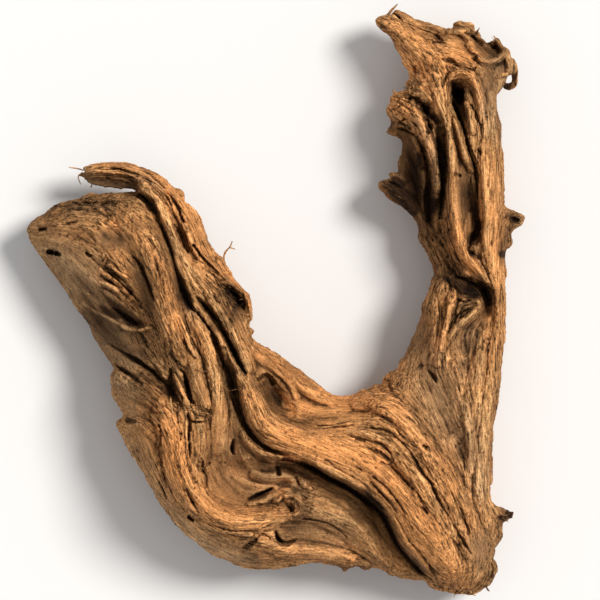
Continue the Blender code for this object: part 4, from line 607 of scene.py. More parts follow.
        (328, 88.8, 0.9, 3)],
    "stub crease low": [(318.4, 377.6, 1, 4), (326.4, 375.2, 1.4, 6), (334.4, 369.6, 1.1, 5),
        (340, 361.6, 0.8, 3)],
    "stub cavity": [(339.2, 384.8, 1.8, 6), (343.2, 379.2, 2.6, 9), (341.6, 373.6, 2, 7)],
    "stub cavity two": [(328.8, 402.4, 1.4, 5), (334.4, 400, 2, 8), (339.2, 395.2, 2, 9),
        (342.4, 388, 1.6, 6)],
    "stub rim one": [(315.2, 402.4, 0.8, 3), (320, 397.6, 1.2, 4), (318.4, 392, 0.9, 3)],
    "stub rim two": [(323.2, 405.6, 0.9, 3), (328, 403.2, 1.2, 5), (326.4, 397.6, 0.9, 3)],
    "stub rim three": [(320, 382.4, 1.2, 5), (324.8, 380, 1.3, 5), (328.8, 376.8, 1, 3)],
    "crown pit row": [(353.6, 432, 0.8, 3), (360, 429.6, 1.1, 5), (365.6, 427.2, 0.9, 3)],
    "crown pit low": [(367.2, 424, 1.2, 5), (372, 423.2, 1.5, 6), (376.8, 424, 1.2, 5)],
    "crown pit side": [(378.4, 436.8, 1.2, 4), (380.8, 434.4, 1.3, 5), (379.2, 431.2, 1, 3)],
    "crown edge pit": [(361.6, 457.6, 1, 4), (364.8, 460, 1.2, 5), (367.2, 460.8, 0.9, 3)],
    "foot pit": [(392.8, 16.8, 1.2, 5), (396, 23.2, 1.8, 8), (397.6, 28.8, 1.3, 5)],
    "foot dark": [(348.8, 17.6, 1.2, 5), (352, 12, 1.6, 6), (355.2, 8, 1, 3)],
    "low mid crease": [(241.6, 66.4, 0.8, 3), (254.4, 64.8, 1, 4), (266.4, 60.8, 0.9, 3),
        (277.6, 51.2, 0.8, 2)],
    "hood hole": [(362.4, 412, 2.6, 8), (366, 406.4, 5, 15), (368.8, 399.2, 3.2, 11)],
    "knot hollow": [(228.8, 78.4, 2, 4), (231.2, 76, 3.4, 8), (232.8, 72.8, 2.4, 6)],
    "leaning groove": [(143.2, 175.2, 0.4, 1.5), (146.8, 167.6, 0.5, 2.5), (150.4, 159.2, 0.4, 1.5)],
    "stub fibre": [(313.6, 393.6, 0.6, 2), (321.6, 389.6, 0.8, 4), (328.8, 384, 0.7, 3)],
    "stub fibre two": [(315.2, 399.2, 0.6, 2), (323.2, 395.2, 0.8, 4), (331.2, 389.6, 0.7, 3)],
    "stub fibre three": [(320.8, 400.8, 0.6, 2), (327.2, 397.6, 0.8, 4), (333.6, 393.6, 0.6, 3)],
    "chip gap one": [(83.2, 268, 0.8, 1.5), (89.6, 263.2, 1, 3.2), (95.2, 258.8, 1, 3.4),
        (100.8, 255.2, 0.7, 1.5)],
    "chip gap two": [(80.8, 259.2, 0.8, 1.5), (87.2, 255.6, 0.9, 2.6), (92.8, 252, 0.9, 2.6),
        (97.6, 249.6, 0.7, 1.5)],
    "chip gap three": [(80, 250.4, 0.8, 1.5), (86.4, 248, 0.9, 2.4), (93.6, 244.8, 0.9, 2.2)],
    "right knot": [(383.2, 359.2, 1.5, 2), (383.6, 356.8, 1.5, 2)],
}

# The same for the underside; a positive height bulges downwards.
UNDER_SWELLS = {
    "left hollow": [(110, 262, 30, -7), (140, 215, 34, -10), (160, 175, 30, -8)],
    "belly hollow": [(215, 120, 44, -14), (262, 108, 40, -14), (300, 112, 34, -10)],
    "crotch hollow": [(222, 176, 20, -8), (262, 150, 22, -8)],
    "right hollow": [(345, 165, 26, -8), (350, 205, 26, -9), (362, 250, 26, -8)],
    "upper hollow": [(352, 372, 18, -6), (350, 402, 20, -7)],
    "left pad": [(58, 284, 26, 7), (78, 256, 28, 9), (94, 228, 24, 6)],
    "belly pad": [(140, 112, 24, 5), (162, 80, 28, 9), (200, 60, 26, 6)],
    "foot pad": [(330, 62, 26, 5), (356, 40, 26, 8), (376, 36, 22, 6)],
    "limb pad": [(380, 300, 20, 5), (382, 340, 22, 8), (380, 376, 20, 5)],
}
# Raised strands of the underside.
UNDER_STRANDS = {
    "edge": [(36, 276, 9, 4), (58, 244, 10, 6), (84, 208, 11, 7), (98, 168, 11, 7), (112, 132, 12, 7),
        (134, 92, 13, 7), (164, 58, 13, 7), (205, 42, 12, 6), (250, 40, 11, 6), (296, 38, 9, 4)],
    "second": [(44, 294, 10, 4), (74, 262, 12, 7), (104, 216, 12, 8), (128, 166, 12, 8), (154, 112, 13, 8),
        (190, 78, 13, 8), (240, 64, 13, 7), (290, 56, 12, 7), (330, 40, 10, 4)],
    "third": [(72, 306, 9, 4), (98, 270, 11, 7), (124, 226, 12, 8), (146, 178, 11, 8), (172, 130, 12, 8),
        (214, 98, 13, 8), (262, 86, 13, 8), (310, 70, 13, 8), (350, 44, 12, 6)],
    "fourth": [(98, 318, 8, 3), (124, 282, 11, 7), (150, 240, 11, 8), (166, 198, 11, 8), (190, 156, 12, 8),
        (232, 128, 13, 8), (284, 112, 13, 8), (330, 90, 12, 8), (366, 56, 11, 5)],
    "fifth": [(150, 300, 7, 3), (166, 266, 9, 6), (182, 234, 9, 7), (194, 202, 9, 7), (214, 172, 10, 7),
        (252, 148, 11, 7), (300, 138, 12, 8), (340, 114, 12, 8), (374, 76, 11, 5)],
    "crotch": [(206, 198, 6, 3), (232, 180, 8, 6), (262, 164, 8, 6), (296, 160, 9, 6), (326, 172, 9, 6),
        (344, 206, 9, 6), (352, 246, 8, 5)],
    "cross": [(130, 132, 6, 2), (160, 140, 8, 6), (192, 136, 8, 7), (222, 118, 8, 6), (250, 96, 7, 3)],
    "right outer": [(384, 60, 9, 4), (387, 110, 10, 6), (390, 170, 9, 7), (394, 230, 9, 7),
        (394, 290, 9, 7), (392, 350, 9, 7), (392, 400, 7, 5), (398, 430, 6, 3)],
    "right middle": [(352, 70, 10, 4), (364, 120, 11, 7), (370, 175, 10, 7), (374, 235, 10, 8),
        (376, 295, 10, 8), (374, 355, 10, 8), (370, 410, 10, 7), (372, 446, 8, 4)],
    "right inner": [(336, 120, 8, 3), (346, 170, 9, 6), (352, 215, 8, 6), (360, 262, 8, 6),
        (354, 310, 8, 7), (342, 355, 8, 7), (334, 395, 8, 5), (342, 428, 9, 6), (326, 450, 8, 5),
        (308, 463, 5, 2)],
    "right stub": [(310, 334, 4, 2), (326, 318, 6, 5), (340, 300, 6, 5), (352, 284, 5, 3)],
    "upper cross": [(316, 400, 5, 3), (334, 406, 7, 6), (354, 420, 8, 6), (376, 434, 8, 5),
        (398, 440, 6, 3)],
}
# Furrows and holes of the underside.
UNDER_FURROWS = {
    "left slit": [(62, 284, 1, 5), (88, 246, 2.4, 12), (114, 200, 3, 16), (136, 150, 2.6, 14),
        (158, 108, 1.5, 6)],
    "left slit two": [(112, 254, 1, 5), (136, 206, 2.8, 14), (158, 160, 3, 15), (184, 122, 2, 8)],
    "left slit three": [(134, 262, 1, 5), (156, 222, 2.6, 12), (176, 182, 3, 14), (204, 146, 2, 8)],
    "base slit": [(182, 98, 1.5, 6), (226, 80, 3, 13), (276, 72, 3, 14), (318, 56, 1.5, 6)],
    "base slit two": [(222, 112, 1.5, 6), (266, 99, 3, 14), (312, 84, 2.6, 12), (346, 62, 1.2, 5)],
    "base slit three": [(262, 134, 1.5, 6), (300, 124, 3, 13), (338, 102, 2.4, 10)],
    "right slit": [(378, 120, 1.5, 6), (381, 180, 2.6, 13), (384, 240, 3, 15), (386, 300, 2.6, 13),
        (384, 350, 1.5, 6)],
    "right slit two": [(358, 180, 1.5, 6), (364, 225, 2.6, 12), (368, 270, 2.6, 12), (364, 320, 3, 14),
        (358, 370, 2.6, 12), (354, 400, 1.5, 6)],
    "right hole": [(352, 344, 3, 10), (350, 336, 4, 16), (352, 328, 3, 10)],
    "belly hole": [(234, 120, 4, 10), (242, 116, 6, 20), (252, 114, 4, 10)],
    "left hole": [(140, 236, 2.4, 9), (144, 230, 3.4, 13), (148, 224, 2.4, 9)],
}

# How far the limbs' middle surface rises: x, y, half width, lift.
LIFTS = {
    "hook": [(58, 343, 26, 14), (95, 342, 26, 13), (120, 336, 24, 8), (138, 320, 20, 3)],
    "nose": [(20, 300, 60, 4), (45, 280, 60, 2)],
    "prong": [(296, 466, 40, 16), (325, 452, 36, 8), (350, 436, 30, 2)],
    "crown": [(405, 440, 34, 5), (385, 440, 34, 4)],
    "right limb": [(360, 240, 46, 6), (368, 300, 46, 2)],
}

# Which way the fibres run where no strand shows it: x, y, half width.
FLOWS = {
    "left face upper": [(24, 290, 12), (46, 294, 12), (66, 290, 12), (84, 276, 12), (100, 256, 10),
        (112, 236, 8)],
    "left face": [(30, 282, 14), (56, 268, 14), (80, 246, 14), (98, 220, 12), (112, 196, 10)],
    "left face low": [(40, 266, 14), (60, 240, 14), (80, 212, 12), (96, 184, 10)],
    "limb top": [(36, 308, 8), (60, 316, 8), (84, 318, 8), (98, 312, 8)],
    "plates": [(84, 202, 8), (108, 186, 8), (132, 168, 8)],
    "plates low": [(90, 176, 8), (112, 164, 8), (130, 152, 8)],
    "bay upper": [(186, 150, 10), (182, 124, 10), (184, 104, 10), (200, 88, 10), (222, 84, 10)],
    "bay mid": [(196, 118, 12), (206, 104, 12), (226, 100, 10), (246, 96, 10)],
    "undercut": [(240, 104, 10), (266, 90, 12), (290, 74, 12), (312, 52, 12), (332, 30, 10), (346, 14, 8)],
    "belly low": [(212, 56, 12), (238, 56, 12), (266, 54, 12), (290, 44, 10)],
    "saddle": [(206, 196, 10), (222, 182, 10), (240, 166, 12), (262, 158, 12), (288, 160, 10)],
    "saddle low": [(236, 150, 10), (258, 148, 10), (284, 152, 10), (304, 158, 8)],
    "recess": [(208, 178, 6), (214, 164, 6), (222, 152, 6), (236, 144, 6)],
    "right panel": [(330, 196, 12), (342, 178, 12), (358, 150, 12), (372, 122, 12), (382, 96, 10)],
    "right panel up": [(352, 232, 8), (356, 206, 10), (366, 180, 12), (374, 150, 10)],
    "right panel side": [(338, 216, 10), (336, 196, 10), (330, 180, 8)],
    "edge right": [(400, 240, 8), (398, 190, 8), (392, 140, 8), (390, 96, 8), (392, 60, 8)],
    "flank": [(324, 360, 8), (332, 340, 8), (338, 316, 8), (344, 296, 8), (352, 276, 8)],
    "channel": [(368, 370, 6), (369, 340, 8), (369, 316, 8), (372, 292, 6)],
    "crown": [(350, 440, 10), (368, 436, 10), (386, 424, 10), (392, 404, 8)],
    "crown top": [(362, 456, 6), (378, 452, 6), (392, 440, 6)],
    "foot": [(366, 70, 12), (376, 46, 12), (376, 22, 12), (366, 8, 8)],
}

# Where the wood is worn smooth: x, y, half width, strength.
SMOOTH = {
    "left face": [(32, 292, 18, 0.7), (52, 276, 24, 0.8), (72, 246, 24, 0.8), (92, 214, 20, 0.8),
        (104, 190, 14, 0.6)],
    "left panel": [(88, 287, 9, 0.9), (98, 285, 11, 0.9), (106, 282, 7, 0.8)],
    "bay": [(184, 138, 16, 0.7), (184, 112, 26, 0.9), (200, 98, 28, 0.9), (226, 100, 22, 0.8),
        (246, 98, 16, 0.8)],
    "undercut": [(256, 92, 20, 0.7), (286, 74, 22, 0.7), (310, 50, 20, 0.7), (334, 28, 14, 0.6)],
    "belly hollow": [(230, 58, 16, 0.7), (254, 54, 20, 0.85), (280, 50, 16, 0.7)],
    "pale strand end": [(175, 156, 9, 0.6), (176, 136, 12, 0.8), (172, 116, 10, 0.8)],
    "middle strand": [(157, 190, 9, 0.6), (162, 166, 9, 0.6)],
    "saddle": [(232, 168, 18, 0.7), (256, 152, 22, 0.7), (280, 152, 18, 0.6)],
    "right panel": [(334, 214, 16, 0.6), (342, 184, 22, 0.5), (356, 152, 22, 0.5), (368, 124, 16, 0.4)],
    "right panel up": [(372, 208, 14, 0.5), (370, 180, 14, 0.5)],
    "channel": [(367, 372, 5, 0.6), (368, 345, 7, 0.8), (368, 318, 7, 0.8), (370, 296, 5, 0.6)],
    "crown": [(398, 428, 14, 0.8), (392, 402, 12, 0.7)],
    "foot": [(384, 40, 12, 0.8)],
    "hook face": [(70.4, 336, 6, 0.9), (81.6, 333.6, 7, 0.9), (94.4, 330.4, 6, 0.9),
        (105.6, 330.4, 5, 0.8)],
    "face low": [(76.8, 214.4, 12, 0.8), (89.6, 204, 14, 0.9), (104, 195.2, 12, 0.8)],
    "plates": [(92.8, 163.2, 10, 0.8), (105.6, 156.8, 12, 0.8), (118.4, 150.4, 10, 0.7)],
    "plates low": [(97.6, 137.6, 10, 0.6), (112, 131.2, 11, 0.8), (121.6, 123.2, 8, 0.7)],
    "chip recess": [(86.4, 289.6, 10, 0.8), (96, 286.4, 9, 0.8)],
    "band slope": [(132.8, 291.2, 5, 0.7), (139.2, 275.2, 6, 0.8), (144, 256, 6, 0.8),
        (149.6, 240, 6, 0.8)],
    "flank": [(323.2, 368, 6, 0.8), (326.4, 348, 10, 0.9), (329.6, 328, 12, 0.9), (336, 308, 10, 0.8)],
    "stub face": [(316.8, 328, 8, 0.6), (328, 316, 8, 0.7)],
    "channel low": [(372.8, 328, 8, 0.9), (374.4, 310.4, 8, 0.9), (374.4, 294.4, 7, 0.8)],
    "eye low": [(390.4, 230.4, 6, 0.8), (387.2, 222.4, 6, 0.7)],
    "crown face": [(356.8, 448, 10, 0.5), (366.4, 443.2, 12, 0.6), (369.6, 433.6, 8, 0.5)],
    "crown cup": [(387.2, 440, 8, 0.7), (396.8, 436.8, 6, 0.6)],
    "crotch": [(209.6, 190.4, 10, 0.6), (228, 160, 14, 0.7), (248, 155.2, 14, 0.7), (272, 156.8, 10, 0.5)],
    "pale strip": [(174.4, 150.4, 8, 0.8), (176.8, 134.4, 8, 0.9), (177.6, 121.6, 7, 0.7)],
    "grey panel": [(339.2, 182.4, 14, 0.5), (345.6, 166.4, 16, 0.5), (352, 150.4, 14, 0.5)],
    "ridge top": [(232, 129.6, 9, 0.5), (256, 124, 10, 0.5)],
    "bay patch": [(179.2, 94.4, 14, 0.9), (185.6, 83.2, 14, 0.9)],
    "edge ridge": [(389.6, 376, 6, 0.4), (392, 352, 7, 0.4), (393.6, 328, 8, 0.45), (395.2, 300, 8, 0.4),
        (396, 275.2, 7, 0.4)],
    "belly rim": [(120, 104, 6, 0.3), (129.6, 86.4, 7, 0.4), (142.4, 68.8, 8, 0.5), (156.8, 56, 9, 0.6),
        (171.2, 46.4, 10, 0.65), (188.8, 40, 10, 0.65), (209.6, 38.4, 8, 0.5)],
    "ridge all": [(224, 134.4, 12, 0.3), (256, 123.2, 14, 0.4), (284, 110.4, 16, 0.4), (308, 92, 16, 0.35),
        (328, 64, 16, 0.3), (352, 32, 18, 0.4)],
    "side panel": [(107.2, 262.4, 5, 0.9), (113.6, 251.2, 6, 0.9), (118.4, 240, 6, 0.9)],
}
# Where it crumbles, in the same way.
CRUMBLE = {
    "limb top": [(36, 309, 7, 0.6), (56, 315, 9, 1), (78, 319, 10, 1), (100, 320, 8, 0.8)],
    "chip": [(82, 302, 7, 0.8), (96, 303, 8, 0.8)],
    "limb splinters": [(70.4, 275.2, 8, 0.3)],
    "knot": [(228, 80, 11, 1), (234, 76, 11, 1)],
    "beside knot": [(238, 94, 9, 0.9), (246, 92, 9, 0.9)],
    "panel patch": [(354, 196, 7, 0.7), (362, 188, 8, 0.8)],
    "wing": [(362, 226, 6, 0.7), (376, 233, 7, 0.8)],
    "crown": [(340, 424, 13, 0.8), (360, 424, 13, 1), (380, 424, 9, 0.9)],
    "stub rim": [(316, 406, 7, 0.8), (328, 408, 9, 1), (346, 410, 9, 1)],
    "stub edge": [(312, 398, 6, 0.8), (313, 382, 6, 0.8), (318, 370, 5, 0.6)],
    "lower stub": [(306, 334, 6, 0.8), (314, 328, 7, 0.7)],
    "prong end": [(304, 463, 6, 0.7), (314, 470, 6, 0.7)],
    "crown rim": [(366, 460, 6, 0.8), (380, 456, 6, 0.8), (396, 446, 8, 0.8), (408, 434, 6, 0.8)],
    "foot rim": [(342, 12, 7, 0.7), (358, 6, 8, 1), (378, 6, 8, 1), (396, 14, 9, 1), (399, 32, 8, 1),
        (402, 54, 7, 0.8)],
    "foot snag": [(400, 67.2, 6, 0.9), (408, 68.8, 5, 0.9), (398.4, 59.2, 5, 0.8)],
    "fringe": [(228, 27, 5, 0.5), (252, 29, 6, 0.7), (274, 26, 8, 1), (294, 25, 8, 0.9), (312, 22, 6, 0.6)],
    "shoulder": [(164, 262, 11, 0.7), (180, 248, 13, 0.9), (194, 236, 9, 0.9), (200, 222, 6, 0.6)],
    "snag": [(406, 310, 7, 0.8), (416, 304, 7, 0.9), (410, 288, 6, 0.6)],
    "low scar": [(196, 44, 9, 0.9), (204, 48, 8, 0.7)],
    "hook end": [(64, 341, 6, 0.7), (72, 340, 6, 0.6)],
    "notch": [(306, 174, 8, 0.7), (318, 182, 8, 0.7)],
    "left edge": [(94, 143, 8, 0.8), (94, 156, 7, 0.6), (90, 186, 7, 0.6)],
    "neck": [(344, 447, 8, 0.6), (352, 446, 8, 0.7)],
    "second ridge": [(330, 128, 8, 0.6), (340, 122, 8, 0.8)],
    "frayed band": [(132.8, 206.4, 6, 0.9), (140.8, 196.8, 8, 1), (150.4, 192, 7, 0.9),
        (156.8, 187.2, 5, 0.7)],
    "splinter zone": [(72, 276.8, 6, 0.5), (84.8, 267.2, 8, 0.5), (94.4, 254.4, 8, 0.5),
        (100.8, 243.2, 7, 0.5), (108.8, 232, 6, 0.5)],
    "stub top": [(313.6, 398.4, 7, 0.9), (323.2, 401.6, 8, 1), (334.4, 396.8, 8, 1), (345.6, 390.4, 7, 0.9),
        (340.8, 379.2, 6, 0.8)],
    "ear": [(172.8, 252.8, 6, 0.8), (182.4, 256, 6, 0.8), (193.6, 248, 5, 0.9), (199.2, 236.8, 4, 0.9),
        (200, 225.6, 4, 0.8), (196.8, 214.4, 5, 0.6)],
    "block end": [(161.6, 116.8, 6, 0.7), (164.8, 107.2, 6, 0.8)],
    "belly tip": [(124.8, 147.2, 5, 0.8), (131.2, 155.2, 6, 0.8), (140.8, 156.8, 7, 0.8),
        (152, 153.6, 7, 0.8), (163.2, 150.4, 5, 0.7)],
    "loop": [(411.2, 427.2, 4, 0.7), (412.8, 419.2, 4, 0.7), (408.8, 411.2, 5, 0.9)],
    "ridge band": [(200, 128, 4, 0.5), (214.4, 118.4, 5, 0.7), (228.8, 114.4, 5, 0.8),
        (240, 111.2, 4, 0.6)],
    "knot hollow": [(224, 80, 7, 0.9), (232, 73.6, 8, 1), (233.6, 64, 6, 0.8)],
    "knot beside": [(240, 97.6, 7, 0.9), (246.4, 89.6, 8, 0.9), (249.6, 76.8, 7, 0.7)],
    "cross cracks": [(336, 121.6, 7, 0.7), (342.4, 110.4, 8, 0.8), (348.8, 97.6, 7, 0.7)],
    "belly mottle": [(160, 48, 7, 0.3), (176, 45.6, 8, 0.45), (196, 41.6, 8, 0.6), (206.4, 35.2, 6, 0.4)],
}
# Where it is warmer in colour, in the same way.
ORANGE = {
    "hook": [(78, 347, 6, 0.6), (104, 345, 8, 0.8), (128, 333, 10, 0.8), (146, 312, 11, 0.8),
        (160, 288, 10, 0.7), (176, 262, 12, 0.6)],
    "band": [(100, 306, 10, 0.4), (122, 280, 10, 0.5), (134, 250, 10, 0.6), (140, 215, 9, 0.6)],
    "belly strand": [(126, 154, 12, 1), (136, 132, 14, 1), (144, 104, 14, 1), (158, 82, 14, 0.9),
        (186, 68, 12, 0.7), (208, 68, 10, 0.5)],
    "ridge": [(200, 164, 9, 0.6), (214, 140, 12, 0.8), (240, 126, 16, 1), (272, 120, 18, 1),
        (302, 104, 18, 1), (326, 76, 18, 0.9), (348, 44, 16, 0.8), (362, 18, 14, 0.8)],
    "crotch": [(206, 198, 8, 0.7), (228, 184, 9, 0.8), (252, 166, 10, 0.8), (284, 158, 12, 0.9),
        (304, 156, 12, 0.9), (322, 140, 12, 0.7)],
    "second ridge": [(340, 118, 10, 0.5), (358, 90, 12, 0.5), (372, 58, 12, 0.5)],
    "crown": [(340, 428, 14, 0.8), (362, 430, 14, 0.9), (378, 440, 12, 0.8)],
    "prong": [(306, 462, 7, 0.6), (324, 452, 12, 0.7), (344, 440, 12, 0.7)],
    "hood": [(360, 412, 7, 0.8), (372, 420, 7, 0.8), (384, 402, 6, 0.7)],
    "upper stub": [(316, 400, 8, 0.7), (332, 388, 8, 0.8), (344, 362, 7, 0.7)],
    "s ridge": [(362, 336, 7, 0.6), (366, 290, 7, 0.8), (378, 264, 8, 0.8)],
    "right ridge": [(394, 350, 9, 0.5), (396, 290, 9, 0.7), (398, 250, 8, 0.6), (396, 200, 7, 0.4)],
    "y ridge": [(352, 206, 6, 0.5), (356, 230, 6, 0.6), (366, 252, 8, 0.5)],
    "notch": [(310, 176, 8, 0.6)],
    "low belly": [(216, 42, 8, 0.5), (250, 38, 8, 0.6), (282, 32, 7, 0.5)],
    "middle": [(162, 218, 10, 0.4), (176, 190, 8, 0.4)],
    "left chips": [(88, 302, 8, 0.6), (100, 262, 10, 0.5)],
    "chip": [(89.6, 300.8, 5, 0.9), (95.2, 297.6, 5, 0.9)],
    "middle patch": [(140.8, 225.6, 6, 0.9), (145.6, 216, 6, 0.9), (148.8, 206.4, 5, 0.6)],
    "splinters": [(83.2, 260.8, 6, 0.7), (96, 252.8, 7, 0.7), (105.6, 240, 6, 0.6)],
    "ear": [(164.8, 270.4, 9, 0.7), (177.6, 264, 9, 0.7), (192, 252.8, 6, 0.8), (199.2, 236.8, 5, 0.8)],
    "crotch bowl": [(240, 156.8, 14, 0.8), (264, 160, 12, 0.8), (280, 163.2, 10, 0.7)],
    "corner": [(307.2, 163.2, 10, 0.8), (316.8, 150.4, 10, 0.9), (323.2, 137.6, 9, 0.8),
        (352, 113.6, 9, 0.6), (364.8, 96, 9, 0.6)],
    "knot ring": [(225.6, 84.8, 6, 0.9), (235.2, 80, 7, 0.9), (232, 68.8, 7, 0.8), (220.8, 73.6, 5, 0.8)],
}
# Where it is greyer.
GREY = {
    "left face": [(30, 288, 16, 0.6), (54, 268, 24, 0.9), (76, 240, 22, 0.9), (94, 212, 18, 0.9),
        (104, 188, 12, 0.7)],
    "left edge": [(94, 176, 12, 0.7), (108, 148, 12, 0.5)],
    "belly edge": [(108, 120, 12, 0.6), (126, 88, 12, 0.6), (150, 58, 12, 0.6), (186, 40, 12, 0.5)],
    "bay": [(186, 130, 14, 0.4), (190, 104, 22, 0.5), (220, 98, 20, 0.5)],
    "knot": [(238, 90, 12, 0.8)],
    "right panel": [(334, 212, 16, 0.8), (344, 180, 22, 0.9), (358, 150, 22, 0.9), (374, 120, 16, 0.8),
        (382, 90, 12, 0.6)],
    "right panel up": [(374, 210, 14, 0.7), (370, 180, 12, 0.7)],
    "foot": [(384, 44, 14, 0.7), (388, 24, 10, 0.5)],
    "crown": [(398, 426, 12, 0.9), (392, 402, 12, 0.8), (390, 376, 10, 0.5)],
    "belly hollow": [(240, 60, 18, 0.5), (268, 54, 18, 0.5)],
    "limb top": [(60, 312, 10, 0.5), (86, 312, 10, 0.5)],
    "channel": [(369, 340, 7, 0.4), (369, 310, 7, 0.4)],
    "hook face": [(73.6, 335.2, 7, 0.8), (88, 332, 8, 0.8), (102.4, 331.2, 6, 0.8)],
    "grey fibres": [(104, 341.6, 5, 0.6), (118.4, 336, 5, 0.7), (128, 329.6, 4, 0.6)],
    "chip recess": [(84.8, 289.6, 8, 0.8), (96, 286.4, 8, 0.8)],
    "face low": [(78.4, 212.8, 12, 0.8), (92.8, 201.6, 13, 0.9), (108.8, 193.6, 11, 0.8)],
    "channel low": [(372.8, 323.2, 7, 0.3)],
    "belly rim": [(128, 86.4, 6, 0.6), (140.8, 70.4, 7, 0.7), (153.6, 56, 8, 0.8), (168, 44, 8, 0.8),
        (185.6, 35.2, 7, 0.7), (204.8, 32, 5, 0.5)],
    "stub strand": [(329.6, 384, 4, 0.7), (339.2, 372.8, 4, 0.8), (344.8, 360, 4, 0.9),
        (348, 345.6, 3.5, 0.9), (348.8, 334.4, 3, 0.8)],
    "side panel": [(107.2, 270.4, 5, 0.5), (113.6, 256, 6, 0.6)],
}
